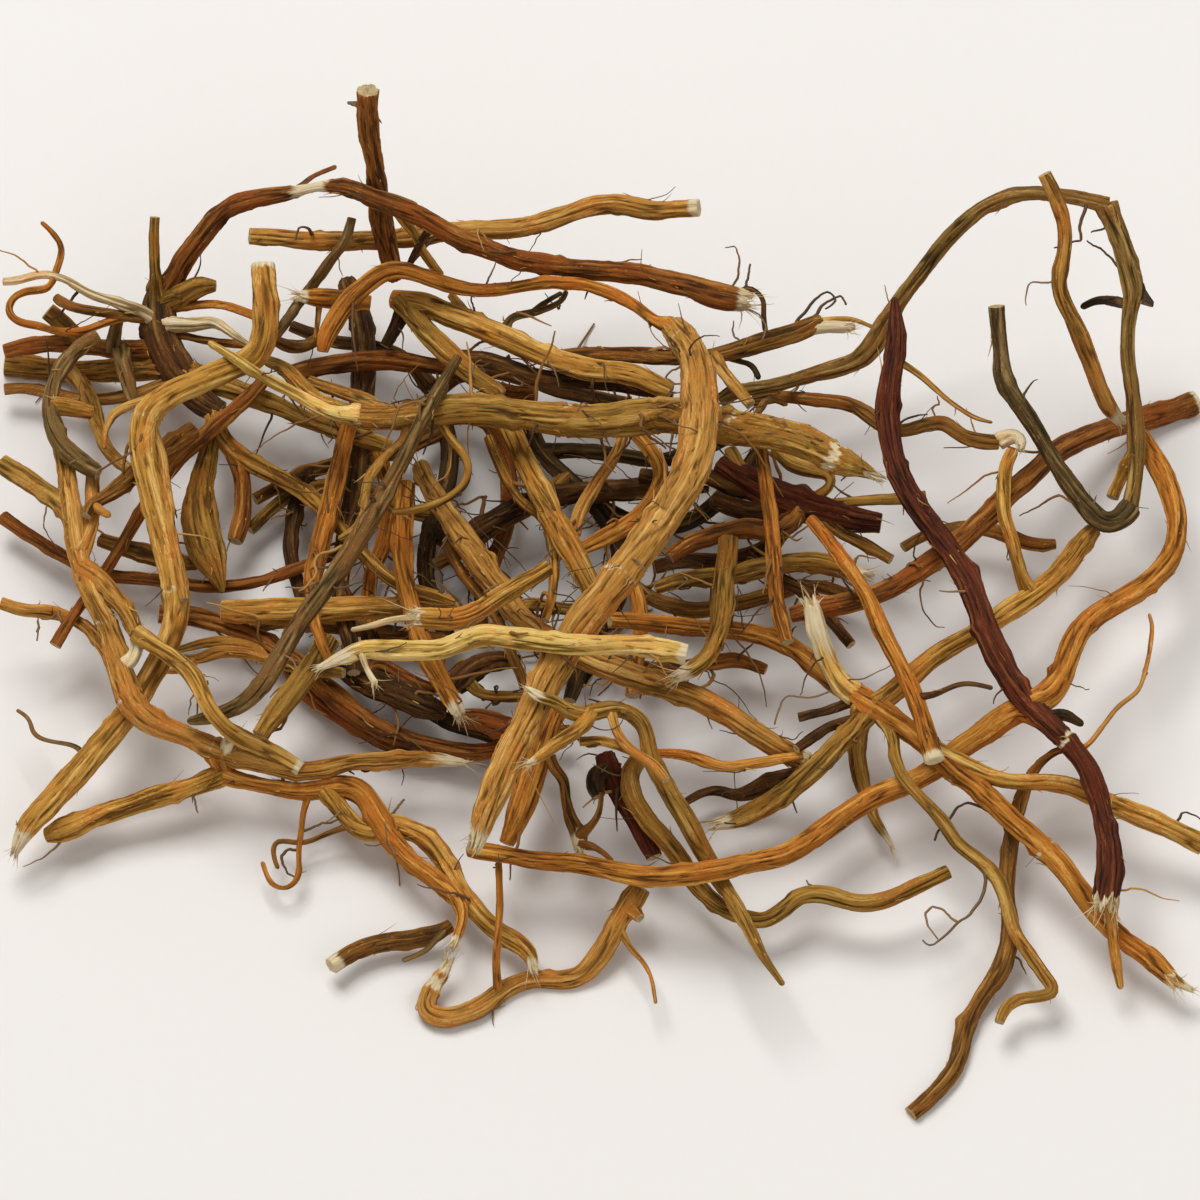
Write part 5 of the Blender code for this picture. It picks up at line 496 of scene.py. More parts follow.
         (-38.5, 59, 1.5), (-41, 54.5, 1.4), (-43, 50.8, 1)),
    root("fork_twig", "grey", 31, "gold_root", None,
         (-19.2, 52.6, 1), (-18.3, 56, 0.8), (-13, 57.5, 0.7), (-10, 58.5, 0.6), (-7.3, 60, 0.5),
         (-6.8, 61.5, 0.45)),
    root("fork_twig_upper", "grey", 31, "fork_twig", None,
         (-13.5, 57.4, 0.6), (-10.8, 59.7, 0.6), (-8, 61.3, 0.5)),
    root("olive_twig", "olive", 31, "gold_root", None,
         (-26.5, 56, 0.9), (-28, 58.8, 0.9), (-29.6, 61, 0.8)),
    root("pale_root", "straw", 40, None, (34, 36, 38, 38, 36),
         (-55.5, -13.5, 0.6), (-51, -11.3, 1.3), (-47, -9.7, 1.7), (-42, -9.8, 1.9), (-36, -10, 1.9),
         (-31, -9.7, 1.9), (-27, -8, 2), (-23, -7, 2), (-18, -7.4, 2), (-12, -8.2, 1.9), (-6, -9, 1.9),
         (0, -9, 1.9), (6, -9, 1.9), (12, -9.8, 2), (17, -10.8, 2)),
    root("pale_splinter", "cream", 40, "pale_root", None,
         (-47.5, -9.8, 0.7), (-46.5, -13, 0.6), (-44.5, -16.5, 0.7)),
    root("gold_short_root", "gold", 31, None, None,
         (-36.3, -3.5, 2), (-32, -3.9, 2), (-28, -3.8, 2), (-25, -2.8, 1.9), (-21.5, -0.5, 1.7),
         (-18, 1.8, 1.7), (-14, 4, 1.6), (-10.2, 6.3, 1.5)),
    root("gold_short_splinter", "cream", 31, "gold_short_root", None,
         (-35.5, -3.5, 0.8), (-40, -3.7, 0.6), (-45, -5, 0.6), (-49, -5.9, 0.5)),
    root("olive_diagonal", "gold", 21, None, None,
         (-18.3, 35, 2), (-15.8, 29.5, 2.2), (-13.2, 24, 2.2), (-10.3, 18.5, 2.3), (-7.5, 13, 2.3),
         (-4.7, 8, 2.3), (-2, 3, 2.2), (0.5, -2, 2)),
    root("thin_olive", "gold", 20, None, None,
         (-22.3, 32.5, 1), (-20, 27, 1.1), (-17.8, 22.5, 1.1), (-14.8, 18.7, 1.1), (-11.5, 16.5, 1.1),
         (-9.8, 13, 1), (-9.2, 8, 1), (-9.2, 3, 1), (-10.2, -2, 0.9), (-11, -4, 0.8)),
    root("dark_curved_root", "dark", 9, None, None,
         (-25.8, 13.3, 1.9), (-21.5, 15.8, 1.9), (-17, 18.4, 2), (-11, 20.2, 2), (-4, 21.4, 2.1),
         (3, 21.8, 2.2), (10, 22.2, 2.2), (16, 22.5, 2), (21.5, 23, 1.6)),
    root("broad_olive_root", "olive", 18, None, None,
         (-36, 27, 1.5), (-34, 22.5, 1.9), (-31.5, 18.5, 2.2), (-28.5, 14, 2.4), (-25.3, 9.5, 2.5),
         (-22.5, 5.5, 2.5), (-19.5, 1.5, 2.4), (-16.5, -2.5, 2.2), (-12.5, -6, 2), (-7.5, -9, 2),
         (-2, -11.8, 2.2), (4, -14.2, 2.3), (10, -16.3, 2.3), (16, -18.2, 2.3), (21, -20.3, 2.3),
         (26, -23, 2.3), (31, -26.5, 2.3), (36, -29.7, 2.2), (41, -32.3, 2.1)),
    root("thin_cross_root", "brown", 14, None, None,
         (-30.5, 11, 1), (-28.5, 7, 1.1), (-26.3, 3.7, 1.1), (-23.5, 0.5, 1.1), (-20.8, -3, 1),
         (-19, -7, 1), (-17.6, -11, 1), (-15.5, -15.5, 0.9), (-15, -18, 0.8)),
    root("back_upright", "orange", 8, None, None,
         (7, 3, 1.5), (8, -2, 1.6), (8, -7, 1.6), (7, -13, 1.6), (6.5, -19, 1.4)),
    root("orange_short", "orange", 19, None, None,
         (-4, 10, 1.2), (0, 12, 1.6), (4, 14, 1.7), (8, 17, 1.7), (11, 20.5, 1.6), (12.5, 25, 1.5),
         (10, 30, 1.4), (7, 33.5, 1.3)),
    root("tan_upright", "tan", 20, None, None,
         (-5, 13, 1.2), (-4.2, 17, 1.3), (-2, 21, 1.3), (0.5, 25, 1.2), (3, 28.5, 1.2), (4.5, 33, 1.1)),

    # Roots in the lower middle
    root("white_tipped_root", "olive", 39, None, (34, 33, 30, 26, 22, 20, 18, 16),
         (-14.3, -17.6, 0.8), (-12, -19.3, 1.3), (-9.5, -19.8, 1.2), (-6.5, -22, 1.5), (-2.5, -22.7, 1.6),
         (1.5, -21.7, 1.6), (5, -22, 1.6), (8, -24, 1.5), (9.3, -27.5, 1.4), (10, -31, 1.6), (12, -35, 1.7),
         (14.5, -39.5, 1.8), (16.5, -42.5, 1.9), (18.5, -46, 1.9), (21, -51, 1.8), (24, -56, 1.6),
         (27, -60.5, 1.5), (29.5, -65, 1.3), (32, -70, 0.9), (34, -73, 0.7), (36, -75.7, 0.5)),
    root("braid_strand", "tan", 34, "white_tipped_root", None,
         (1.5, -22, 0.8), (4, -27.5, 0.8), (7, -30.3, 0.9), (10.5, -32.5, 1), (13, -35.5, 0.9)),
    root("gold_cross_strand", "gold", 32, "white_tipped_root", None,
         (11.5, -33.6, 1), (8, -31, 0.9), (4, -29, 0.9), (0, -27.8, 0.9), (-4, -28, 0.8)),
    root("gold_over_piece", "gold", 39, "white_tipped_root", None,
         (-2.5, -22.7, 1.3), (-3.5, -25, 1.4), (-6.5, -27, 1.5), (-9.5, -29, 1.4), (-12, -31, 1),
         (-14.3, -32.3, 0.6)),
    root("wavy_root", "olive", 15, None, (13, 11, 9, 7, 6, 7, 9, 10, 10, 11, 12),
         (8.3, -31, 1.6), (6, -34.5, 1.8), (6.2, -38, 1.9), (9, -43, 1.9), (13, -47.5, 2), (16, -51.5, 2),
         (18, -55, 1.8), (21, -58.5, 1.7), (25, -61.5, 1.6), (29, -63, 1.5), (32.5, -63.5, 1.6),
         (36, -61.5, 1.6), (39, -59, 1.6), (42, -58.2, 1.6), (46, -58.7, 1.6), (50, -60, 1.5),
         (54, -60, 1.5), (58, -58.8, 1.5), (62, -57, 1.5), (66, -55.2, 1.5), (69, -53.7, 1.4)),
    root("dark_short_root", "darkred", 14, None, None,
         (1, -31, 2), (2, -34, 2.3), (4.5, -39, 2.2), (7.5, -44, 2.1), (9.5, -48, 2), (10.8, -51, 1.5)),
    root("dark_short_knot", "black", 15, "dark_short_root", None,
         (1.8, -33.2, 1.3), (-0.7, -35, 1.9), (-1, -37, 1.9), (-0.3, -39, 1.2)),
    root("under_thick_root", "orange", 10, None, None,
         (-9, -22, 2.2), (-11.5, -28, 2.4), (-13.5, -34.5, 2.6), (-15.8, -41.5, 2.5), (-18.6, -48.3, 1.4)),
    root("knotted_twig", "brown", 18, None, (12, 11, 10, 9),
         (-10, -31, 1.1), (-9.5, -33, 1.1), (-7.2, -35.5, 1), (-6.8, -39.5, 1), (-6, -43, 1.1),
         (-4.3, -46.3, 1.6), (-4, -49.8, 1.2)),
    root("knotted_twig_arm", "brown", 18, "knotted_twig", None,
         (-4.3, -46.3, 0.9), (-1, -43.8, 0.6), (0.3, -40.5, 0.5), (0.2, -38.5, 0.45)),
    root("knotted_twig_spike", "brown", 18, "knotted_twig", None,
         (-4.1, -48, 0.8), (0, -49.5, 0.6), (2.3, -51.7, 0.45)),
    root("orange_level_thin", "orange", 20, None, None,
         (11.5, -30.3, 0.8), (16, -30.5, 1), (20, -31.5, 1), (24, -33, 1), (28, -32.7, 1), (33, -32, 1),
         (36.5, -31.5, 1), (40, -31, 0.8)),
    root("bottom_loop", "tan", 10, None, (9, 6, 4, 2, 0, 0, 0, 0, 0, 0, 0, 2, 5),
         (8, -57, 2), (6.5, -59.5, 2.2), (4, -63, 2.1), (2, -67, 2), (-0.5, -71, 1.9), (-4, -74.5, 1.8),
         (-8, -75.3, 1.7), (-13, -75, 1.7), (-17.5, -76.3, 1.8), (-22, -79.5, 1.9), (-26.5, -82, 2),
         (-31, -82.8, 2.1), (-34.5, -81.3, 2.1), (-34.2, -78.5, 1.9), (-32, -75, 1.5), (-30.2, -71.8, 1)),
    root("loop_stub", "tan", 10, "bottom_loop", None,
         (5.3, -61, 1.2), (7, -62, 1.2), (8, -63, 1)),
    root("loop_rootlet", "tan", 12, "bottom_loop", (5, 6, 7),
         (3.2, -64.5, 0.8), (6, -69, 0.6), (8.5, -71.5, 0.5), (10.3, -75, 0.45), (11, -79.5, 0.4)),
    root("drop_rootlet", "orange", 28, "bottom_loop", (2, 8, 13, 12, 9, 9),
         (-20.3, -78.2, 0.9), (-20.6, -72, 0.8), (-20.2, -66, 0.7), (-19.9, -60, 0.7), (-20.1, -54, 0.65),
         (-20.2, -49, 0.6)),
    root("short_low_root", "brown", 12, None, (4, 3, 3, 4),
         (-53.3, -72.5, 1.6), (-50, -70.3, 1.7), (-46, -68.6, 1.7), (-41, -67.6, 1.7), (-36, -67, 1.8),
         (-32, -65.8, 1.7), (-29.7, -64.5, 1.3)),
    root("short_low_twig", "grey", 12, "short_low_root", None,
         (-31.5, -65.8, 0.6), (-35, -69.7, 0.5), (-38.8, -71.2, 0.45)),

    # Dark red root on the right, with the long orange root that crosses it
    root("dark_red_root", "darkred", 36, None, (40, 36, 33, 31, 29, 28, 26, 24, 21, 18, 15),
         (58.8, 60, 0.5), (59, 56, 1.4), (59, 51, 1.9), (58, 45, 2.2), (57.3, 39, 2.3), (58, 31, 2.2),
         (60, 24, 2.3), (63.5, 18, 2.1), (67.5, 12.5, 2.2), (71, 7.5, 2.3), (74, 2, 2.4), (76, -4, 2.5),
         (78.5, -10, 2.6), (82, -16.5, 2.4), (86, -21.5, 2.3), (89.5, -25, 2.1), (93, -28.5, 2),
         (96.5, -33, 1.9), (98.5, -38, 2), (100, -44, 2.1), (101, -50, 2.6), (100.5, -56, 2.9),
         (100, -60, 2.7)),
    root("long_orange", "orange", 29, "dark_red_root", (24, 18, 13, 12, 12, 13, 14, 13, 12, 10),
         (88, -23.6, 1.8), (84, -21.6, 2.5), (80, -23.5, 2.5), (76, -26.5, 2.3), (71, -30, 2.2),
         (66, -33.8, 2.1), (61, -36.5, 2.1), (56, -38.3, 2.1), (51, -41, 2.2), (46, -44.5, 2.2),
         (41, -48, 2.1), (36, -50.7, 1.9), (30, -52, 1.9), (24, -53.3, 2), (18, -54.2, 2), (12, -54.7, 2.1),
         (6, -54.3, 2.1), (0, -53, 2), (-6, -52, 1.9), (-12, -51.7, 1.7), (-18, -50.7, 1.6),
         (-23, -49.8, 1.8), (-26, -49.5, 1.3)),
    root("orange_rise", "orange", 29, "dark_red_root", (24, 23, 21, 19, 18, 18, 17, 16),
         (85, -20.2, 2), (88.5, -19, 2.5), (91, -16, 2.4), (93, -11, 2.3), (95, -6.5, 2.2), (98, -3.5, 2.1),
         (103, -0.5, 2.1), (108, 2.5, 2.1), (112, 6, 2.2), (114.5, 10, 2.1), (115.2, 15, 2.1),
         (114.3, 20, 2.1), (112.5, 25, 2), (110, 29.5, 1.9), (108.3, 33, 1.5)),
    root("dark_low_root", "dark", 10, "dark_red_root", (20, 13, 9, 7, 6, 5, 3, 1, 0, 0, 0),
         (93, -28.5, 0.9), (90, -30.3, 0.7), (87.5, -32.3, 0.8), (85.8, -34.5, 1), (84.3, -38, 1.4),
         (82.8, -42, 1.4), (81.8, -47, 1.5), (80.9, -53, 1.5), (80.8, -59, 1.4), (81.3, -64, 1.6),
         (80.8, -69, 1.9), (79.6, -73, 1.9), (77, -77, 1.7), (74, -81.5, 1.7), (72, -86, 1.8),
         (70.8, -91, 1.7), (68.5, -95, 1.8), (65, -98.6, 1.7), (61.5, -101.5, 1.5)),
    root("torn_knot", "black", 37, "dark_red_root", None,
         (88.3, -24, 1.3), (91.5, -22.6, 1.1), (95.3, -24.5, 0.7)),
    root("tan_whisker", "tan", 30, "dark_red_root", (20, 19, 18, 18),
         (94.5, -30.2, 0.6), (96.5, -29, 0.55), (99, -26, 0.5), (103, -21, 0.5), (107, -18, 0.5),
         (108.5, -14, 0.5), (109.7, -8, 0.5), (110, -5, 0.45), (109.4, -3, 0.4)),
    root("golden_tip", "gold", 36, "dark_red_root", (15, 12, 9, 6),
         (100.3, -58, 1.2), (101.3, -64, 1.1), (101.8, -69, 1.1), (103, -76.5, 0.6)),
    root("straight_twig", "tan", 36, "dark_red_root", None,
         (58.6, 48.3, 0.8), (64, 44.7, 0.6), (68, 41, 0.6), (71.5, 38.3, 0.55), (75, 36.2, 0.45),
         (78, 35.5, 0.35)),

    # Crown at the lower right
    root("crown_runner", "orange", 22, None, (13, 14, 14, 15, 17, 18, 15, 12, 10, 8, 6),
         (2, -4, 1.6), (8, -4.3, 1.7), (14, -5, 1.8), (20, -5.7, 1.8), (26, -6, 1.8), (32, -7, 1.8),
         (37, -9, 1.9), (41.5, -12, 2), (46, -15.5, 2.1), (50, -18.3, 2.3), (54, -21, 2.6),
         (58, -23.5, 2.1), (62, -26.5, 2), (66, -30, 1.9), (70, -33.7, 2), (75, -37.3, 2), (80, -42, 2),
         (85.5, -47, 2.1), (91, -52.3, 2.1), (95, -57.5, 2), (99, -63, 2), (104, -67.5, 2), (109, -71, 2),
         (113.5, -75.5, 1.6)),
    root("torn_lobe", "tan", 22, "crown_runner", (6, 5),
         (112.6, -74.7, 1.2), (115.5, -76.3, 0.9), (117.2, -77.2, 0.6)),
    root("spotted_root", "tan", 24, "crown_runner", (17, 18, 18, 18, 18, 17, 14, 11),
         (54, -21, 1.9), (58, -18.5, 2), (62, -15, 2), (66, -11.5, 2), (71, -8.5, 2), (76, -6, 2),
         (80, -3, 2), (85, 0, 2), (89, 3, 2), (93, 7, 2), (96, 11, 2), (98.5, 14, 1.6)),
    root("jointed_root", "gold", 28, "spotted_root", (18, 22, 25, 26, 25),
         (86, 0.8, 1.4), (84.5, 3.5, 1.3), (83.5, 7, 1.3), (82, 12, 1.3), (80.7, 16, 1.3), (80.3, 21, 1.4),
         (80.7, 26, 1.4), (82.2, 29.5, 1.2)),
    root("yellow_right", "gold", 27, "crown_runner", (18, 16, 15, 14, 13, 12, 10),
         (65.5, -29.6, 1.3), (69, -31, 1.7), (73, -33, 1.7), (78, -35.3, 1.6), (84, -36.2, 1.6),
         (90, -36.3, 1.7), (95, -37.5, 1.8), (100, -39.8, 1.9), (105, -42, 1.9), (110, -44, 2),
         (115, -46.3, 2), (119.6, -48.6, 1.9)),
    root("olive_tail", "olive", 31, "crown_runner", (17, 17, 17, 15, 12, 10, 9, 8, 7, 6, 6),
         (56, -22.3, 1.4), (58, -27, 1.3), (58.5, -31, 1.1), (60, -35, 1.1), (64, -39.5, 1.1),
         (68, -44, 1.3), (71, -48.5, 1.3), (75, -51.5, 1.4), (78.5, -55, 1.4), (80.5, -60, 1.2),
         (82, -65.5, 1.2), (85, -70, 1.2), (88, -74.5, 1.3), (90, -77.6, 1.2), (86.5, -78.5, 1.1),
         (82.5, -79, 1.1), (80, -81, 1.1), (79, -83.5, 0.9)),
    root("olive_stub", "olive", 23, "crown_runner", (16, 14, 12, 10, 9, 8, 8),
         (53.5, -21.2, 2.1), (50, -26.3, 2.1), (46, -30, 2.1), (42, -34, 2.1), (37, -38, 2.1),
         (32, -41.3, 2.1), (27, -43.5, 1.9), (23.3, -44.5, 1.4)),
    root("white_stub", "straw", 28, "crown_runner", (17, 19, 22, 25, 27),
         (51, -19.2, 2.1), (48.3, -17.2, 1.9), (46, -13.5, 1.8), (44.2, -9.5, 1.9), (42.8, -5, 1.9),
         (42, -0.8, 1.7)),
    root("brown_short", "dark", 17, "olive_stub", (10, 7, 6, 6, 7),
         (40.5, -35.2, 1.3), (38.3, -35, 1.6), (34, -36, 1.8), (30, -38.2, 1.7), (27, -38.8, 1.1),
         (23.5, -37.8, 0.9), (20, -38.5, 0.8), (17.3, -40, 0.7)),
    root("dark_twig_upper", "dark", 20, "crown_runner", (17, 15, 14),
         (51.5, -19.5, 1), (44, -22.3, 0.9), (39.5, -23.3, 0.8)),
    root("dark_twig_lower", "dark", 21, "olive_stub", (16, 14, 13),
         (52, -23.5, 1.1), (45, -25.5, 1.1), (41.5, -27.8, 1), (39, -29.5, 0.9)),
    root("down_root", "olive", 15, "crown_runner", (15, 8, 5, 4, 4),
         (53, -20.8, 2), (51, -28, 1.9), (51.3, -32, 1.8), (52, -36.5, 1.5), (53.5, -40, 1.1),
         (54.5, -43.5, 1), (56.5, -46.5, 0.8), (58, -49, 0.5)),

    # Centre crown and the roots round it
    root("centre_crown", "darkred", 14, None, (15, 15, 15),
         (24, 27, 2), (29, 24, 2.6), (34, 21.5, 3), (39, 19.5, 3.2), (44, 18, 2.8), (50, 16.3, 2.5),
         (56, 15.3, 1.9)),
    root("crown_left_strand", "dark", 15, "centre_crown", (15, 14, 14),
         (36, 20.6, 1.8), (32, 17.5, 1.8), (27, 18.3, 1.8), (22.5, 20, 1.5)),
    root("crown_level_root", "redbrown", 16, "centre_crown", (15, 17, 17, 16),
         (40, 19.2, 1.7), (38.3, 15.5, 1.8), (35, 13.8, 1.8), (29, 14.3, 1.9), (23, 12.8, 1.9),
         (18, 11.3, 1.8), (14, 8.5, 1.4)),
    root("crown_top_strand", "olive", 15, "centre_crown", None,
         (30, 23.5, 1.5), (28, 26, 1.5), (26, 30, 1.3)),
    root("crown_curl", "olive", 17, "centre_crown", (15, 17, 17, 16),
         (41, 18.9, 1.2), (43.5, 21, 1), (46, 22.6, 0.9), (46.3, 24.5, 1), (43, 25.6, 1.4), (39, 26.7, 1.6),
         (35, 30, 1.3)),
    root("crown_side_root", "olive", 14, "centre_crown", (15, 15, 15),
         (43.5, 18.1, 1.2), (49, 19.5, 1.1), (55, 19.9, 1.1), (60, 20.2, 1.1), (65, 20.7, 1.2)),
    root("crown_low_strand", "dark", 12, "centre_crown", (15, 11, 9, 8),
         (38, 19.8, 1.6), (36.5, 14, 1.6), (34, 11, 1.5), (29, 8.5, 1.6), (23, 7.5, 1.6), (17, 8, 1.5),
         (11, 6.5, 1.2)),
    root("olive_level_root", "olive", 13, None, None,
         (11, 2.5, 1.2), (16, 4, 1.6), (21, 4.6, 1.7), (26, 4.8, 1.8), (31, 6.2, 1.9), (37, 7.3, 1.9),
         (43, 7.5, 1.9), (48, 6.2, 1.8), (53, 4.8, 1.3)),
    root("orange_slant", "orange", 37, None, (28, 31, 31, 30, 29, 27, 25),
         (42, 16, 1.2), (45, 12.5, 1.3), (48, 8.5, 1.4), (51, 4, 1.45), (53.5, 0, 1.5), (55.5, -5, 1.5),
         (58, -10, 1.6), (61, -16, 1.6), (63, -21, 1.6), (64.5, -26, 1.7), (66.3, -31.8, 1.9)),
    root("orange_slant_twig", "dark", 37, "orange_slant", None,
         (62.4, -19.5, 0.7), (67, -18.6, 0.6), (70, -17, 0.5), (73, -16.5, 0.45), (77.5, -17.4, 0.4)),
    root("slanted_red_root", "redbrown", 23, None, (0, 1, 6, 12, 16, 19, 21, 22, 22, 22, 21),
         (119.7, 39.8, 2), (114, 37.7, 2.2), (108, 36, 2.2), (102, 34.3, 2.1), (96, 32, 2.1),
         (91, 29.3, 2.1), (86, 25, 2.1), (81, 20.5, 2.1), (76, 15.5, 2.1), (71, 11, 2.1), (65, 7, 2.1),
         (59, 3, 2), (53, 0.5, 2), (47, -1, 2), (42, -2, 1.9), (38, -3, 1.3)),
    root("tan_thin_upright", "orange", 26, None, None,
         (32, 31, 1.2), (32.8, 25, 1.3), (33.4, 20, 1.4), (34.1, 15, 1.4), (34.5, 10, 1.5), (34.8, 5, 1.4),
         (35.2, 0, 1.4), (36.2, -4.5, 1.5), (37.3, -8.3, 1.2)),
    root("ragged_olive_root", "olive", 24, None, None,
         (25.6, 12, 1.8), (25.4, 8, 2), (24.6, 4, 2), (24.4, 0, 2), (24, -4, 1.8), (23, -8, 1.6),
         (21, -11.8, 1.7), (18, -14, 1.9), (15.3, -15.2, 1.2)),
    root("brown_bridge", "brown", 26, None, (14, 18, 22, 24, 24, 25, 26, 27),
         (31, 40, 1.2), (36, 40.7, 1.2), (41, 40.3, 1.3), (46, 39.8, 1.3), (50.5, 38.9, 1.4),
         (54, 36.5, 1.6), (57, 34.3, 1.4), (61, 33.8, 1.3), (65, 35, 1.4), (69, 35.3, 1.6), (71.5, 33, 1.6),
         (75, 31.8, 1.6), (79.5, 31.5, 1.5)),
    root("white_knot", "cream", 30, "brown_bridge", None,
         (79.5, 31.5, 1.3), (82, 32.8, 1.3), (84.2, 32.2, 1.1), (83.8, 30.5, 0.9)),
    root("low_side_root", "brown", 12, None, (9, 9, 9, 9),
         (60.5, 10.5, 1), (64, 12.5, 1), (68, 14, 1.1), (73, 14.6, 1.2), (79, 13.8, 1.3), (84, 11.8, 1.2),
         (88, 11, 1.2), (91, 11.2, 0.9)),

    # Roots that arch over the upper right, and the upper sticks
    root("black_root", "black", 34, None, (18, 18, 19, 20, 24, 32, 40, 47, 53, 54, 50),
         (24, 40, 1.3), (28, 42, 1.4), (33, 42.6, 1.4), (38, 43.8, 1.4), (43, 45.3, 1.5), (48, 46.6, 1.8),
         (52, 48.2, 1.9), (54.3, 50.5, 2.2), (55.8, 53.2, 2), (58, 57, 1.6), (61, 61.3, 1.6),
         (65, 66.6, 1.5), (69, 71.8, 1.5), (73, 75.6, 1.5), (77.5, 78.9, 1.4), (82, 80.7, 1.4),
         (87, 81.2, 1.4), (92, 80.6, 1.4), (97, 79.7, 1.5), (101, 78.7, 1.7)),
    root("black_drop", "black", 37, "black_root", (50, 45, 40, 36, 31, 26, 22, 19, 17),
         (101, 78.7, 1.7), (102.8, 74.5, 1.8), (104.3, 70, 1.8), (105.5, 65.5, 2), (106.5, 61.5, 2.1),
         (105.8, 58, 1.5), (105.3, 53, 1.4), (105.4, 48, 1.5), (106.3, 42, 1.5), (106.8, 36, 1.6),
         (107, 30, 1.8), (106.7, 24, 1.5), (105.8, 18.7, 1.6)),
    root("black_spike", "black", 37, "black_drop", None,
         (106.3, 61.3, 1.8), (108.5, 60.3, 1.2), (110.2, 59.2, 0.6)),
    root("black_twig", "dark", 37, "black_drop", None,
         (106, 58.8, 1.1), (101.5, 60, 0.9), (98.5, 59.8, 0.8), (96.8, 58.8, 0.7)),
    root("gold_tine", "gold", 37, "black_drop", (21, 18, 17),
         (106.9, 29, 1.4), (104.8, 26, 1.2), (103.4, 23.3, 1.1), (102.3, 20.5, 1.2)),
    root("black_hook", "black", 38, "black_drop", (17, 16, 18, 21, 24, 28, 31, 34, 38, 42),
         (105.9, 19, 1.7), (103.5, 15.8, 2), (100.3, 15.5, 2.1), (97.5, 18.3, 1.9), (94.5, 22, 1.7),
         (91.8, 26, 1.5), (89, 30.5, 1.5), (86.5, 34.8, 1.6), (84, 38.5, 1.7), (81.5, 42, 1.8),
         (80.3, 45, 1.8), (80, 49, 1.3), (79.5, 54, 1.4), (79, 58.5, 1.6)),
    root("tan_right_root", "tan", 35, None, (62, 58, 53, 49, 45, 40, 34, 28, 20),
         (88.6, 84.8, 1.4), (90, 82, 1.5), (91.6, 78, 1.4), (92.5, 74, 1.35), (92.5, 70, 1.4),
         (91.8, 66, 1.5), (91.5, 62, 1.5), (92.6, 59, 1.5), (94.5, 55.5, 1.6), (96.3, 51.5, 1.7),
         (98, 47, 1.7), (99.6, 42.5, 1.7), (101.6, 38.5, 1.7), (104, 35.8, 1.4)),
    root("split_stick", "brown", 24, None, None,
         (-11, 48.6, 1.1), (-5, 49, 1.4), (1, 49.1, 1.5), (7, 48.9, 1.6), (13, 48.4, 1.6), (18, 48.2, 1.5),
         (22, 48.6, 1.5), (26, 49.5, 1.8), (30, 50.8, 2), (35, 52.2, 1.9), (40, 53.8, 1.9),
         (44, 55.6, 1.6)),
    root("split_pale_end", "cream", 24, "split_stick", None,
         (42, 54.6, 1), (46, 54.6, 1.2), (49.7, 54.5, 1.1)),
    root("split_whip", "tan", 25, "split_stick", None,
         (43.5, 55.3, 0.6), (47, 56.2, 0.5), (50, 56.4, 0.45), (53, 55.4, 0.45), (55.4, 54.4, 0.4)),
    root("split_black_twig", "black", 24, "split_stick", None,
         (25, 49.2, 0.7), (28, 47.6, 0.55), (30.5, 47.2, 0.6), (31.3, 45.5, 0.7), (31.6, 44.6, 0.6)),
    root("split_tan_branch", "tan", 35, "split_stick", None,
         (22.6, 48.7, 1.1), (25, 45, 1.2), (27.5, 42, 1.2), (30, 39, 1)),
    root("upright_stick", "redbrown", 26, None, (74, 67, 58, 48, 38, 30, 24),
         (-46.2, 101.3, 2.1), (-46.3, 97, 2.1), (-45.7, 91, 1.8), (-44.9, 86, 1.8), (-44.2, 81, 1.9),
         (-43.7, 76, 2.4), (-43, 72, 2.2), (-42, 68, 1.9), (-41.2, 64.5, 1.5)),
    root("upright_twig", "grey", 26, "upright_stick", None,
         (-46.4, 98.9, 0.9), (-48.6, 99.1, 0.6), (-50.3, 99.5, 0.4)),
    root("tan_cut_root", "tan", 22, None, (38, 36, 35, 34, 34, 35, 36, 39, 42),
         (-70, 72.7, 1.5), (-65, 72.4, 1.7), (-60, 71.9, 1.8), (-54, 71.7, 1.85), (-48, 71.9, 1.85),
         (-42, 72.2, 1.9), (-36, 72.8, 1.9), (-31, 73.6, 1.9), (-25, 74.1, 1.95), (-19, 74.2, 1.95),
         (-14, 74.8, 1.95), (-9, 76.2, 1.9), (-4, 78, 1.9), (0, 79.1, 1.85), (4, 79.2, 1.85),
         (8, 78.3, 1.85), (11, 77.8, 1.8), (15, 78.1, 1.7), (19.7, 78.3, 1.7)),
    # Dark roots that lie deepest, under the left and the middle; their dark tones are partly painted shade
    root("under_left_trunk", "dark", 2, None, None,
         (-35.5, 45.5, 1.4), (-32, 38, 1.7), (-30, 30, 1.8), (-31, 22, 1.8), (-34, 14, 1.7), (-35, 6, 1.7),
         (-33, -2, 1.6), (-29, -10, 1.4)),
    root("under_left_level", "brown", 4, "under_left_trunk", None,
         (-31, 34, 1.6), (-40, 30, 1.6), (-50, 28, 1.5), (-60, 25, 1.4), (-69, 20, 1.2)),
    root("under_left_inner", "redbrown", 3, "under_left_trunk", None,
         (-32, 38, 1.4), (-24, 37, 1.5), (-20, 31, 1.6), (-18, 23, 1.6), (-19, 14, 1.5), (-22, 6, 1.5),
         (-24, -2, 1.4), (-23, -9, 1.2)),
    root("under_left_slant", "dark", 1, "under_left_trunk", None,
         (-34, 14, 1.4), (-26, 9, 1.5), (-20, 3, 1.5), (-14, -4, 1.4), (-8, -12, 1.4), (-2, -16, 1.1)),
    root("under_left_bow", "olive", 3, "under_left_trunk", None,
         (-33, 17, 1.3), (-40, 18, 1.4), (-47, 22, 1.4), (-54, 23, 1.4), (-62, 21, 1.3), (-70, 14, 1.1)),
    root("under_left_drop", "orange", 2, "under_left_level", None,
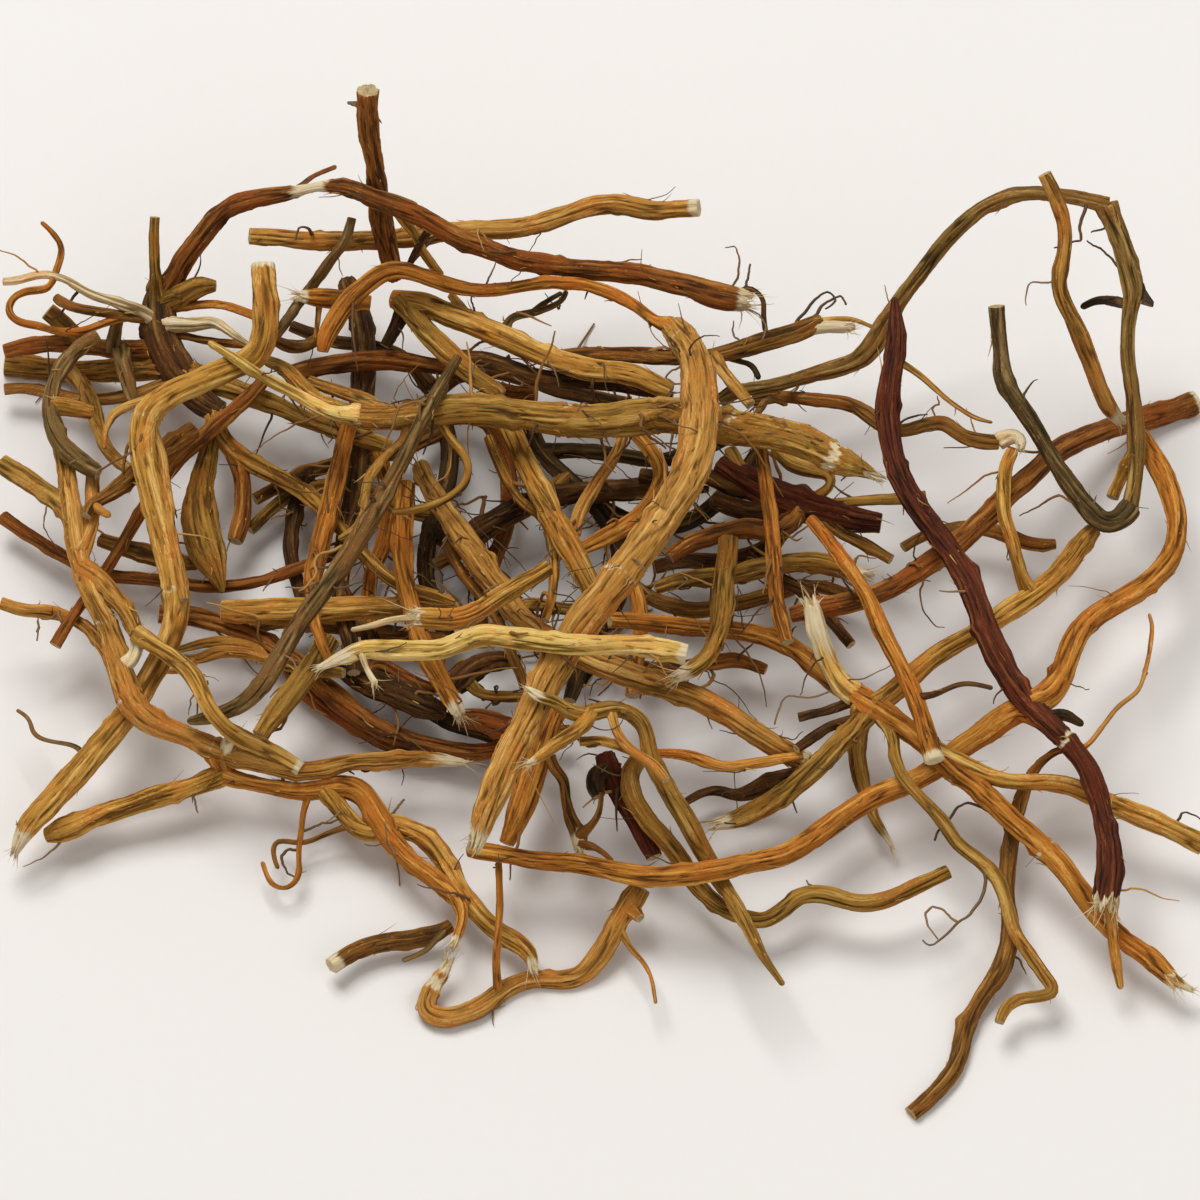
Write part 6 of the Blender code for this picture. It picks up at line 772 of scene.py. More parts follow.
         (-44, 29, 1.4), (-42, 20, 1.5), (-43, 12, 1.5), (-46, 4, 1.4), (-46, -4, 1.4), (-44, -11, 1.1)),
    root("under_left_outer", "dark", 4, "under_left_level", None,
         (-59, 25, 1.3), (-61, 18, 1.4), (-62, 10, 1.4), (-60, 2, 1.3), (-58, -6, 1.1)),
    root("under_left_lower", "brown", 3, "under_left_trunk", None,
         (-30, -8, 1.4), (-38, -7, 1.5), (-46, -6, 1.5), (-55, -5, 1.5), (-63, -4, 1.4), (-72, -7, 1.1)),
    root("under_left_upper", "dark", 5, "under_left_trunk", None,
         (-34, 43, 1.3), (-40, 49, 1.4), (-46, 51, 1.4), (-54, 52, 1.3), (-62, 55, 1.1)),
    root("under_left_far", "dark", 5, "under_left_trunk", None,
         (-33, 41, 1.3), (-26, 46, 1.4), (-17, 45, 1.5), (-8, 42, 1.4), (2, 40, 1.3), (10, 38, 1.1)),
    root("under_left_foot", "dark", 2, "under_left_lower", None,
         (-46, -6, 1.3), (-44, -13, 1.5), (-38, -19, 1.6), (-31, -24, 1.6), (-22, -27, 1.5),
         (-14, -31, 1.2)),
    root("under_left_toe", "redbrown", 2, "under_left_lower", None,
         (-60, -4.5, 1.2), (-63, -11, 1.4), (-60, -17, 1.4), (-54, -22, 1.4), (-46, -27, 1.4),
         (-38, -31, 1.1)),
    root("under_middle_trunk", "dark", 3, None, None,
         (-15, 38, 1.3), (-12, 30, 1.7), (-6, 24, 1.8), (0, 18, 1.8), (4, 10, 1.8), (4, 2, 1.7),
         (0, -6, 1.7), (-4, -14, 1.5), (-6, -20, 1.2)),
    root("under_middle_arm", "dark", 2, "under_middle_trunk", None,
         (0, 18, 1.5), (8, 15, 1.6), (16, 15, 1.6), (24, 20, 1.6), (30, 27, 1.5), (34, 34, 1.2)),
    root("under_middle_level", "brown", 4, "under_middle_trunk", None,
         (4, 4, 1.4), (11, 0, 1.5), (18, -2, 1.5), (26, -1, 1.5), (34, 1, 1.5), (42, 3, 1.4), (50, 1, 1.1)),
    root("under_middle_low", "redbrown", 3, "under_middle_trunk", None,
         (-2, -10, 1.4), (5, -13, 1.5), (12, -14, 1.5), (20, -13, 1.5), (27, -12, 1.4), (33, -14, 1.1)),
    root("under_middle_high", "dark", 4, "under_middle_trunk", None,
         (-12, 30, 1.3), (-4, 30, 1.4), (4, 29, 1.4), (12, 28, 1.4), (20, 30, 1.3), (27, 33, 1.1)),
    root("under_middle_back", "brown", 5, "under_middle_trunk", None,
         (-6, 24, 1.3), (-13, 19, 1.4), (-20, 15, 1.4), (-27, 10, 1.3), (-33, 7, 1.1)),
    root("under_middle_left", "olive", 4, "under_middle_trunk", None,
         (3, -1, 1.2), (-6, -2, 1.3), (-14, -1, 1.3), (-21, -4, 1.1)),
    root("crown_back_root", "dark", 11, "centre_crown", None,
         (33, 22, 1.4), (27, 22, 1.6), (20, 25, 1.6), (14, 24, 1.5), (8, 25, 1.2)),
    root("crown_fork", "brown", 13, "centre_crown", None,
         (43, 18.2, 1.3), (48, 13.5, 1.3), (53, 11, 1.2), (58, 8, 1.1)),
    root("crown_under_fork", "dark", 11, "crown_low_strand", None,
         (30, 8.7, 1.2), (36, 4, 1.3), (42, 1, 1.3), (46, -4, 1.2), (50, -9, 1.1)),
)

# Pairs where the first root lies over the second, against their ranks
LIES_OVER = {
    ("elbow_root", "knob_diagonal"),
    ("elbow_seam", "knob_diagonal"),
    ("dark_diagonal", "tan_left"),
    ("crown_runner", "long_orange"),
    ("yellow_right", "long_orange"),
    ("main_root", "black_root"),
    ("long_orange", "white_tipped_root"),
}


def unit(vectors):
    """The vectors at length one."""
    return vectors / np.linalg.norm(vectors, axis=-1, keepdims=True)


def measured(points):
    """Distances between successive points, and the length run at each point."""
    gaps = np.linalg.norm(np.diff(points, axis=0), axis=1)
    return gaps, np.concatenate(([0.0], np.cumsum(gaps)))


def smooth_route(stations):
    """Cubic through the stations, whose slope at each is the weighted mean of the chords that meet there."""
    table = np.array(stations, dtype=float)
    points = table[:, :2]
    gaps, along = measured(points)
    chords = np.diff(points, axis=0) / gaps[:, None]
    share = (gaps[:-1] / (gaps[:-1] + gaps[1:]))[:, None]
    slopes = np.concatenate((chords[:1], chords[:-1] * (1 - share) + chords[1:] * share, chords[-1:]))
    samples = np.linspace(0.0, along[-1], max(3, math.ceil(along[-1] / ROUTE_STEP) + 1))
    piece = np.clip(np.searchsorted(along, samples, side="right") - 1, 0, len(gaps) - 1)
    length = gaps[piece][:, None]
    t = (samples - along[piece])[:, None] / length
    curve = (points[piece] * (2 * t**3 - 3 * t**2 + 1) + slopes[piece] * length * (t**3 - 2 * t**2 + t)
             + points[piece + 1] * (3 * t**2 - 2 * t**3) + slopes[piece + 1] * length * (t**3 - t**2))
    return curve, np.interp(samples, along, table[:, 2]), samples


def start_on_parent(item, parent):
    """Stations of a side root, begun on the nearest point of its parent's middle line."""
    first = np.array(item.stations[0][:2])
    distance = np.hypot(parent.across - first[0], parent.up - first[1])
    nearest = int(np.argmin(distance))
    start = (parent.across[nearest], parent.up[nearest], item.stations[0][2])
    rest = item.stations[1:] if distance[nearest] < parent.radius[nearest] else item.stations
    return (start,) + tuple(rest), nearest


def first_heights(item, across, up, radius):
    """Heights given for the root, or a layer that follows its rank and thins towards the rim."""
    if item.heights is not None:
        share = np.linspace(0.0, 1.0, len(across))
        return REST_DEPTH * radius + np.interp(share, np.linspace(0.0, 1.0, len(item.heights)), item.heights)
    spread = np.clip((np.hypot(across, up) - CORE_RADIUS) / (RIM_RADIUS - CORE_RADIUS), 0.0, 1.0)
    return radius + (LOWEST_LAYER + LAYER_HEIGHT * item.rank) * (1 - RIM_THINNING * spread)


def lay_out(roots):
    """Smooth strands of all roots, with the joint of each side root on its parent."""
    strands = []
    joints = []
    places = {}
    for item in roots:
        stations = item.stations
        if item.parent is not None:
            parent = strands[places[item.parent]]
            stations, nearest = start_on_parent(item, parent)
            joints.append((len(strands), places[item.parent], nearest))
        curve, radius, along = smooth_route(stations)
        height = first_heights(item, curve[:, 0], curve[:, 1], radius)
        places[item.name] = len(strands)
        strands.append(Strand(item, curve[:, 0], curve[:, 1], radius, height, along))
    return strands, joints


def front_table(roots):
    """Square table that says which root of each pair lies nearer the eye: of equal ranks, the later one."""
    order = np.array([item.rank + index * RANK_STEP for index, item in enumerate(roots)])
    front = order[:, None] > order[None, :]
    names = [item.name for item in roots]
    for upper, lower in LIES_OVER:
        front[names.index(upper), names.index(lower)] = True
        front[names.index(lower), names.index(upper)] = False
    return front


def crossings(strands, joints):
    """Pairs of samples that pass each other, as front index, back index and the height that they need.

    Over its first few millimetres a side root takes its parent's place in the order, because it is inside
    the parent there. Roots of one node are only kept apart away from their joints, and less far.
    """
    roots = [strand.root for strand in strands]
    owner = np.repeat(np.arange(len(strands)), [len(strand.across) for strand in strands])
    across, up, radius, along = (np.concatenate([getattr(strand, name) for strand in strands])
                                 for name in ("across", "up", "radius", "along"))
    nodes = {name: index for index, name in enumerate(dict.fromkeys(item.node for item in roots))}
    node = np.array([nodes[item.node] for item in roots])[owner]
    leader = owner.copy()
    for child, holder, nearest in joints:
        inside = strands[holder].radius[nearest] + strands[child].radius[0] + ROOT_CLEARANCE
        leader[(owner == child) & (along < inside)] = holder
    front = front_table(roots)
    pairs = []
    for start in range(0, len(owner), BLOCK):
        block = np.arange(start, min(start + BLOCK, len(owner)))
        distance = np.hypot(across[block, None] - across[None, :], up[block, None] - up[None, :])
        reach = radius[block, None] + radius[None, :] + ROOT_CLEARANCE
        one, two = np.nonzero((distance < reach) & (owner[block, None] < owner[None, :]))
        pairs.append(np.stack((block[one], two), axis=1))
    one, two = np.concatenate(pairs).T
    fused = node[one] == node[two]
    at_joint = np.zeros(len(one), dtype=bool)
    for child, holder, nearest in joints:
        members = np.isin(owner[one], (child, holder)) | np.isin(owner[two], (child, holder))
        gap = np.hypot(across[one] - strands[holder].across[nearest], up[one] - strands[holder].up[nearest])
        at_joint |= members & (gap < JOIN_LENGTH)
    depth = np.where(fused, FUSE_DEPTH, 1.0)
    reach = (radius[one] + radius[two]) * depth + np.where(fused, 0.0, ROOT_CLEARANCE)
    distance = np.hypot(across[one] - across[two], up[one] - up[two])
    keep = (distance < reach) & ~(fused & at_joint)
    one, two, reach, distance, fused = one[keep], two[keep], reach[keep], distance[keep], fused[keep]
    swap = np.where(fused, ~front[owner[one], owner[two]], ~front[leader[one], leader[two]])
    fore, back = np.where(swap, two, one), np.where(swap, one, two)
    lift = np.sqrt(reach**2 - distance**2) * SIN_VIEW + (up[fore] - up[back]) * COS_VIEW
    return fore, back, lift


def settle(strands, joints):
    """Move the samples along the line of sight until every root clears the ones that it crosses.

    Each round measures how far each pair falls short, moves both samples by a share that is larger for the
    thinner root, spreads the move along the root by repeated averaging, puts side roots back on their
    parents and keeps all of it above the table.
    """
    sizes = [len(strand.across) for strand in strands]
    ends = np.cumsum(sizes)
    starts = ends - sizes
    height, radius, along = (np.concatenate([getattr(strand, name) for strand in strands])
                             for name in ("height", "radius", "along"))
    before = np.maximum(np.arange(len(height)) - 1, np.repeat(starts, sizes))
    after = np.minimum(np.arange(len(height)) + 1, np.repeat(ends - 1, sizes))
    fore, back, lift = crossings(strands, joints)
    ease = 1.0 / (LEAST_STIFFNESS + radius)
    fore_share = ease[fore] / (ease[fore] + ease[back])
    floor = radius * REST_DEPTH
    for passes, rounds in SETTLING:
        for _ in range(rounds):
            short = np.maximum(lift - height[fore] + height[back], 0.0)
            rise = np.zeros_like(height)
            sink = np.zeros_like(height)
            np.maximum.at(rise, fore, short * fore_share)
            np.maximum.at(sink, back, short * (1 - fore_share))
            move = rise - sink
            for _ in range(passes):
                move = (move[before] + 2 * move + move[after]) / 4
            height = np.maximum(height + move, floor)
            for child, holder, nearest in joints:
                part = slice(starts[child], ends[child])
                slip = height[starts[holder] + nearest] - height[starts[child]]
                height[part] += slip * np.exp(-along[part] / JOIN_LENGTH)
            height = np.maximum(height, floor)
    return [strand._replace(height=height[start:end]) for strand, start, end in zip(strands, starts, ends)]


def as_placed(across, up, height):
    """Points of the drafting view at their heights, as (x, y, z) in millimetres over the table."""
    return np.stack((across, (up - height * COS_VIEW) / SIN_VIEW, height), axis=-1)


def middle_lines(strands):
    """Middle lines in millimetres as seen from the table, with the footprint's middle at the origin."""
    lines = [as_placed(strand.across, strand.up, strand.height) for strand in strands]
    low = np.min([(line[:, :2] - strand.radius[:, None]).min(axis=0)
                  for line, strand in zip(lines, strands)], axis=0)
    high = np.max([(line[:, :2] + strand.radius[:, None]).max(axis=0)
                   for line, strand in zip(lines, strands)], axis=0)
    middle = np.append((low + high) / 2, 0.0)
    return [line - middle for line in lines]


# Bark tones from shade to light, in linear colour
TONES = {
    "straw": ((0.36, 0.19, 0.0248), (0.78, 0.52, 0.136), (0.93, 0.74, 0.36)),
    "gold": ((0.19, 0.076, 0.0066), (0.52, 0.255, 0.0408), (0.78, 0.5, 0.14)),
    "tan": ((0.18, 0.074, 0.0077), (0.5, 0.235, 0.0425), (0.76, 0.46, 0.135)),
    "orange": ((0.15, 0.043, 0.0033), (0.48, 0.175, 0.0204), (0.74, 0.37, 0.07)),
    "redbrown": ((0.085, 0.025, 0.0028), (0.28, 0.094, 0.0145), (0.55, 0.245, 0.044)),
    "darkred": ((0.03, 0.007, 0.0017), (0.105, 0.023, 0.0076), (0.25, 0.072, 0.02)),
    "olive": ((0.115, 0.052, 0.0055), (0.36, 0.185, 0.0289), (0.6, 0.36, 0.088)),
    "grey": ((0.06, 0.032, 0.0055), (0.19, 0.108, 0.0298), (0.38, 0.24, 0.09)),
    "brown": ((0.07, 0.028, 0.0033), (0.255, 0.11, 0.0179), (0.5, 0.255, 0.056)),
    "dark": ((0.024, 0.01, 0.0017), (0.098, 0.042, 0.0093), (0.28, 0.135, 0.032)),
    "black": ((0.014, 0.007, 0.0017), (0.058, 0.031, 0.0085), (0.22, 0.115, 0.028)),
    "bistre": ((0.05, 0.026, 0.0039), (0.25, 0.14, 0.0306), (0.5, 0.31, 0.095)),
    "umber": ((0.026, 0.014, 0.0028), (0.11, 0.066, 0.0187), (0.33, 0.21, 0.075)),
    "cream": ((0.42, 0.25, 0.09), (0.76, 0.60, 0.33), (0.88, 0.79, 0.58)),
    "hair": ((0.028, 0.014, 0.0033), (0.11, 0.06, 0.0213), (0.26, 0.155, 0.065)),
    "fibre": ((0.34, 0.19, 0.06), (0.66, 0.47, 0.22), (0.84, 0.73, 0.50)),
}
CUT_WOOD = (0.62, 0.45, 0.22)
TORN_WOOD = (0.82, 0.70, 0.47)

# Bark noises: stretch of the place twice across the root and once along it, scale, detail and roughness
BARK_NOISE = {
    "streaks": ((1.0, 1.0, 0.045), 2.1, 5.0, 0.65),
    "fibres": ((1.0, 1.0, 0.035), 4.6, 3.0, 0.7),
    "flecks": ((1.0, 1.0, 0.4), 1.7, 4.0, 0.7),
    "cracks": ((0.5, 0.5, 1.6), 1.5, 3.0, 0.6),
    "specks": ((1.0, 1.0, 0.30), 3.2, 2.0, 0.6),
}

# Scales of the noises that are read at places in metres
PATCH_SCALE = 75.0
HAIR_PATCH_SCALE = 160.0
RING_SCALE = 1500.0
FLOOR_GRAIN_SCALE = 300.0

# Attributes the bark reads: painted furrow shade, painted crest highlight, bare wood, cut face, root's
# lightness
MARKS = ("hollow", "ridge", "bare", "cut", "tone")

# Materials of the thin pieces and the tones that they take; the dark threads are partly painted shade
THREAD_TONES = {"rootlet": "hair", "torn fibre": "fibre", "bark shred": "olive", "thin root": "brown",
                "dark and shade thread": "dark"}

# Seeds of the random numbers
FIRST_SEED = 1000
ROOTLET_SEED = 77

# Roots whose bark has another tone than their part of the CAD
RETONED = {
    "elbow_root": "gold", "arch_branch": "gold", "edge_lower": "olive", "light_fork": "gold",
    "black_root": "bistre", "black_drop": "bistre", "black_hook": "umber", "dark_low_left": "brown",
    "low_left_root": "gold", "dark_low_root": "brown",
    # Under roots made black: partly painted shade of the deepest layer, over their own dark tone
    "under_left_trunk": "black", "under_left_slant": "black", "under_left_foot": "black",
    "under_middle_trunk": "black", "under_middle_arm": "black", "under_middle_high": "black",
    "spotted_root": "gold", "long_left": "tan", "broad_olive_root": "tan",
}

# Places (across, up, reach) in the drafting view, by root, where the bark is broken and pale wood shows
BREAKS = {
    "red_arch": ((-56, 82, 5.0),),
    "main_root": ((-44, 41, 0.6), (-3.7, 37, 0.6), (12, 37, 0.6), (26.5, 35, 0.6), (46, 26.5, 1.2)),
    "long_left": ((-92, -7, 0.6), (-90, -22.5, 0.6), (-73.7, -29.5, 0.6)),
    "thick_root": ((15, 50, 0.6), (-2, 5, 0.6)),
    "elbow_root": ((-88, 35, 0.6), (-89, 0, 0.6)),
    "crown_runner": ((72, -35, 0.6), (88, -51, 0.6)),
    "bottom_loop": ((-31, -76, 1.6),),
    "dark_red_root": ((86, -23, 0.6), (93, -28, 0.6)),
}

# How the first and the last end of a root look, where the usual look does not suit: a clean cut, torn wood,
# a thin tip or an end sunk in its parent, and the length of bare wood in mm
CLEAN, TORN, TIP, SUNK = "clean", "torn", "tip", "sunk"
FIRST_ENDS = {
    "elbow_root": (CLEAN, 1), "long_left": (TIP, 0), "short_level_root": (TORN, 2),
    "pale_root": (TORN, 8), "gold_short_root": (TORN, 0.8), "main_root": (TIP, 0),
    "white_tipped_root": (TORN, 4), "short_low_root": (CLEAN, 2.5), "slanted_red_root": (CLEAN, 1),
}
LAST_ENDS = {
    "red_arch": (TORN, 2), "elbow_root": (TORN, 5), "long_left": (TORN, 7), "knobs": (TORN, 3),
    "yellow_left": (CLEAN, 1.5), "cut_stub": (TORN, 3), "chain_root": (TORN, 2),
    "thick_root": (TORN, 2.5), "pale_root": (CLEAN, 2), "pale_splinter": (TORN, 5),
    "main_root": (TORN, 1.5), "gold_over_piece": (TORN, 2), "broad_olive_root": (CLEAN, 2),
    "speckled_root": (TORN, 3), "bottom_loop": (TORN, 2.5), "knotted_twig": (TORN, 4),
    "tan_cut_root": (CLEAN, 2), "orange_slant": (CLEAN, 2), "white_stub": (TORN, 11),
    "olive_stub": (TORN, 3), "down_root": (TORN, 4), "split_pale_end": (TORN, 8), "white_knot": (TORN, 6),
    "dark_red_root": (TORN, 1), "torn_lobe": (TORN, 3), "crown_runner": (TORN, 1),
    "ragged_olive_root": (TORN, 3), "olive_level_root": (TORN, 4), "twin_root": (TORN, 2),
    "tan_right_root": (TORN, 5),
}

# Rows that close an end: shares of the radius, and steps outwards in radii
CUT_ROWS = ((0.96, 0.86, 0.62, 0.34, 0.12), (0.05, 0.09, 0.07, 0.03, 0.0))
END_ROWS = {TIP: ((0.75, 0.35), (0.5, 0.9)), SUNK: ((0.6,), (0.1,)), CLEAN: CUT_ROWS, TORN: CUT_ROWS}

# Fine hairs, as (across, up) points in the drafting view, and the root that each springs from
HAIRS = (
    ("olive_tail", ((75, -52), (76.6, -54.5), (76, -58), (74.3, -61), (72, -63), (69.5, -65), (67, -67.3),
                    (65.3, -68.3), (64, -67))),
    ("olive_tail", ((71, -63.8), (68.5, -62), (66.5, -60.5), (65, -60.8), (64, -62.5), (65, -65),
                    (66.8, -67.3))),
    ("crown_runner", ((79, -43.3), (76.5, -41.5), (73, -40.3), (70.5, -41.5), (68.7, -43.8), (66.6, -46),
                      (66, -48))),
    ("crown_runner", ((49.5, -18.3), (45.5, -18), (42, -19.2), (38, -19), (36.2, -18.7), (34.8, -21.5),
                      (34.2, -24.3))),
    ("black_drop", ((104.5, 65.5), (101, 68.3), (98, 70.5), (96.5, 71.5))),
    ("black_root", ((96.8, 79.5), (96.8, 77.5), (96, 74), (96.5, 71.5), (93.5, 71), (91, 70.3))),
    ("rootlet_down", ((-60, -50), (-62, -49), (-63.5, -51), (-62.5, -54), (-60.5, -55))),
    ("rootlet_down", ((-59.4, -46), (-56, -44.5), (-53, -44), (-50.5, -42))),
    ("twin_root", ((-46, -45.5), (-43, -43), (-40.5, -41.5), (-38.5, -39))),
    ("low_left_root", ((-79, -36), (-81, -39.5), (-80, -42.5))),
    ("split_stick", ((38, 53.5), (40, 57), (43, 60.5), (46, 62), (47.5, 60), (45, 58))),
    ("split_stick", ((42, 55), (44, 59), (47.5, 60.8), (48.5, 58.5))),
    ("red_arch", ((24, 60.5), (28, 58), (31.5, 57), (33, 54), (32, 51.5))),
    ("red_arch", ((27.5, 60.2), (29.5, 63.5), (30, 67))),
    ("thin_cross_root", ((-19, -7), (-16, -9.5), (-13, -11), (-12, -14))),
)


class RootBarkSettings(bpy.types.PropertyGroup):
    """Sizes of the bark's relief."""

    furrow_depth: FloatProperty(
        name="Furrow Depth", description="Depth of the long furrows on a root 5 mm thick",
        default=0.00028, min=0.0, max=0.001, precision=5, unit="LENGTH")
    furrow_spacing: FloatProperty(
        name="Furrow Spacing", description="Distance from one furrow to the next round a root",
        default=0.00068, min=0.0004, max=0.004, precision=5, unit="LENGTH")
    knot_spacing: FloatProperty(
        name="Knot Spacing", description="Average length of root between two knots",
        default=0.017, min=0.004, max=0.2, precision=4, unit="LENGTH")
    grain_depth: FloatProperty(
        name="Grain Depth", description="Depth of the fine grain on the bark",
        default=0.00030, min=0.0, max=0.001, precision=5, unit="LENGTH")


class RootletSettings(bpy.types.PropertyGroup):
    """Number and size of the loose rootlets."""

    count: IntProperty(
        name="Rootlets", description="Number of loose rootlets that spring from the roots",
        default=480, min=0, max=3000)
    shreds: IntProperty(
        name="Shreds", description="Number of shreds of bark that lift off the roots",
        default=1500, min=0, max=6000)
    thickness: FloatProperty(
        name="Thickness", description="Diameter of a rootlet at its base",
        default=0.00058, min=0.0001, max=0.002, precision=5, unit="LENGTH")
    length: FloatProperty(
        name="Length", description="Length of the longest rootlets",
        default=0.013, min=0.001, max=0.05, precision=4, unit="LENGTH")


class TableStageSettings(bpy.types.PropertyGroup):
    """Floor, light and camera."""

    floor_colour: FloatVectorProperty(
        name="Floor Colour", description="Colour of the plain floor", subtype="COLOR",
        size=3, min=0.0, max=1.0, default=(0.86, 0.832, 0.80))
    sky_strength: FloatProperty(
        name="Sky Strength", description="Strength of the even light from all round", default=0.36, min=0.0)
    window_power: FloatProperty(
        name="Window Power", description="Power of the large soft light above the bundle", default=1.0,
        min=0.0, unit="POWER")
    camera_distance: FloatProperty(
        name="Camera Distance", description="Distance from the camera to the middle of the view",
        default=5.0, min=0.5, unit="LENGTH", subtype="DISTANCE")

class Node:
    """A socket of a shader, on which Python's own operators add Math nodes."""

    def __init__(self, tree, socket):
        self.tree = tree
        self.socket = socket

    @classmethod
    def made(cls, tree, kind, output, settings=None, **inputs):
        """The output of a new node, after its settings and then the values or links of its sockets.

        A socket is called by its name, with _ for each space, or by its number after a _.
        """
        node = tree.nodes.new(kind)
        for key, value in (settings or {}).items():
            setattr(node, key, value)
        for key, value in inputs.items():
            socket = node.inputs[int(key[1:]) if key[0] == "_" else key.replace("_", " ")]
            if isinstance(value, cls):
                tree.links.new(value.socket, socket)
            else:
                socket.default_value = value
        return cls(tree, node.outputs[output])

    def _math(self, operation, first, second):
        return Node.made(self.tree, "ShaderNodeMath", 0, {"operation": operation}, _0=first, _1=second)

    def __add__(self, other):
        return self._math("ADD", self, other)

    def __sub__(self, other):
        return self._math("SUBTRACT", self, other)

    def __mul__(self, other):
        return self._math("MULTIPLY", self, other)

    def __rsub__(self, other):
        return self._math("SUBTRACT", other, self)

    __radd__ = __add__
    __rmul__ = __mul__

    def clamped(self, low, high):
        """Rises smoothly from 0 at low to 1 at high."""
        return Node.made(self.tree, "ShaderNodeMapRange", "Result", {"interpolation_type": "SMOOTHSTEP"},
                         Value=self, From_Min=low, From_Max=high)


class Surface:
    """A material and the few kinds of nodes that the bundle needs."""

    def __init__(self, name):
        self.material = bpy.data.materials.new(name)
        self.material.use_nodes = True
        self.tree = self.material.node_tree
        self.shader = self.tree.nodes["Principled BSDF"]

    def node(self, kind, output, settings=None, **inputs):
        return Node.made(self.tree, kind, output, settings, **inputs)

    def attribute(self, name, output="Fac"):
        return self.node("ShaderNodeAttribute", output, {"attribute_name": name})

    def scaled(self, vector, factors):
        return self.node("ShaderNodeVectorMath", 0, {"operation": "MULTIPLY"}, _0=vector, _1=factors)

    def noise(self, vector, scale, detail=3.0, roughness=0.6):
        return self.node("ShaderNodeTexNoise", "Fac", Vector=vector, Scale=scale, Detail=detail,
                         Roughness=roughness)

    def mix(self, factor, first, second):
        """Colour between two, each a colour or a link."""
        colours = [value if isinstance(value, Node) else (*value, 1.0) for value in (first, second)]
        return self.node("ShaderNodeMix", 2, {"data_type": "RGBA"}, _0=factor, _6=colours[0], _7=colours[1])

    def link(self, value, name):
        self.tree.links.new(value.socket, self.shader.inputs[name])

    def fix(self, name, value):
        self.shader.inputs[name].default_value = value


def tinted(colour, *factors):
    """A colour with its channels multiplied, by one factor each or by the same one."""
    return tuple(value * factor for value, factor in zip(colour, factors * (3 // len(factors))))


def bark_surface(name, tones, grain_depth):
    """Bark: three tones by a weighted sum of noises and a painted highlight on the crests, and further
    colours laid over it one by one.

    The noises are read at a place that follows the root, so streaks and fibres run along it, over twenty
    times longer than they are wide. Each layer's colour comes in where its own sum of noises or marks rises
    from a low to a high value, at a strength of at most 1: reddish patches, pale specks, dark fibres, flecks
    and cracks, painted shade in the furrows, bare wood, and the rings of a cut face.
    """
    shade, body, light = tones
    bark = Surface(name)
    straight = bark.attribute("straight", "Vector")
    place = bark.node("ShaderNodeTexCoord", "Object")
    hollow, ridge, bare, cut, tone = (bark.attribute(mark) for mark in MARKS)
    patches = bark.noise(place, PATCH_SCALE)
    streaks, fibres, flecks, cracks, specks = (
        bark.noise(bark.scaled(straight, stretch), *looks) for stretch, *looks in BARK_NOISE.values())
    wood = bark.mix((fibres * 0.7 + streaks * 0.5).clamped(0.35, 0.80), CUT_WOOD, TORN_WOOD)
    rings = bark.noise(place, RING_SCALE, 2.0)
    face = bark.mix(rings.clamped(0.30, 0.70), tinted(CUT_WOOD, 0.62), CUT_WOOD)
    # Lightness: random noises and tone, and a painted highlight on the crests of the bark
    lightness = streaks * 0.9 + patches * 0.9 + fibres * 0.9 + tone * 0.20 + ridge * 0.60 - 1.22
    layers = (
        (lightness.clamped(0.00, 0.46), body),
        (lightness.clamped(0.46, 1.02), light),
        ((patches + specks * 0.7).clamped(0.84, 1.00) * 0.80, tinted(body, 1.08, 0.72, 0.50)),
        ((specks + streaks * 0.5).clamped(0.88, 1.00) * 0.80, light),
        ((1.0 - fibres.clamped(0.34, 0.47)) * 0.50, shade),
        ((flecks + fibres * 0.4).clamped(0.88, 0.98) * 0.35, shade),
        ((cracks + fibres * 0.25).clamped(0.82, 0.90) * 0.40, shade),
        # Painted shade: the furrows darkened towards a deep copy of the shade tone
        (hollow.clamped(0.25, 1.0) * 0.78, tinted(shade, 0.45)),
        ((bare + fibres * 0.6 + streaks * 0.5 - 0.55).clamped(0.28, 0.75), wood),
        (cut.clamped(0.2, 0.8) * (1.0 - bare.clamped(0.1, 0.9)), face),
    )
    colour = shade
    for mask, tint in layers:
        colour = bark.mix(mask, colour, tint)
    bark.link(colour, "Base Color")
    bark.link(0.92 - streaks * 0.22, "Roughness")
    bark.fix("Specular IOR Level", 0.20)
    relief = fibres * 0.55 + streaks * 0.65 + cracks * 0.25 + flecks * 0.3
    bump = bark.node("ShaderNodeBump", "Normal", Strength=1.0, Distance=grain_depth, Height=relief)
    bark.link(bump, "Normal")
    return bark.material


def hair_surface(name, tones):
    """Thin roots: two tones in soft patches, and a third on the lightest roots."""
    shade, body, light = tones
    hair = Surface(name)
    place = hair.node("ShaderNodeTexCoord", "Object")
    tone = hair.attribute("tone")
    patches = hair.noise(place, HAIR_PATCH_SCALE)
    colour = hair.mix((patches * 0.6 + tone * 0.7 + 0.1).clamped(0.2, 0.7), shade, body)
    colour = hair.mix((tone + patches * 0.3).clamped(0.62, 1.1), colour, light)
    hair.link(colour, "Base Color")
    hair.fix("Roughness", 0.85)
    return hair.material


def eased(share):
    """Smooth step from 0 to 1, level at both ends."""
    return share * share * (3 - 2 * share)


def meander(random, turns, along, columns):
    """Noise between 0 and 1 that closes round the root: random values on a lattice, joined by smooth steps.

    turns is the number of lattice cells round the root, and along the position in cells at each row.
    """
    lattice = random.random((int(along.max()) + 3, turns))
    cell = np.floor(along).astype(int)[:, None]
    rise = eased(along[:, None] - cell)
    place = np.mod(columns, turns)
    left = np.floor(place).astype(int) % turns
    right = (left + 1) % turns
    share = eased(place - np.floor(place))
    near = lattice[cell, left] * (1 - share) + lattice[cell, right] * share
    far = lattice[cell + 1, left] * (1 - share) + lattice[cell + 1, right] * share
    return near * (1 - rise) + far * rise


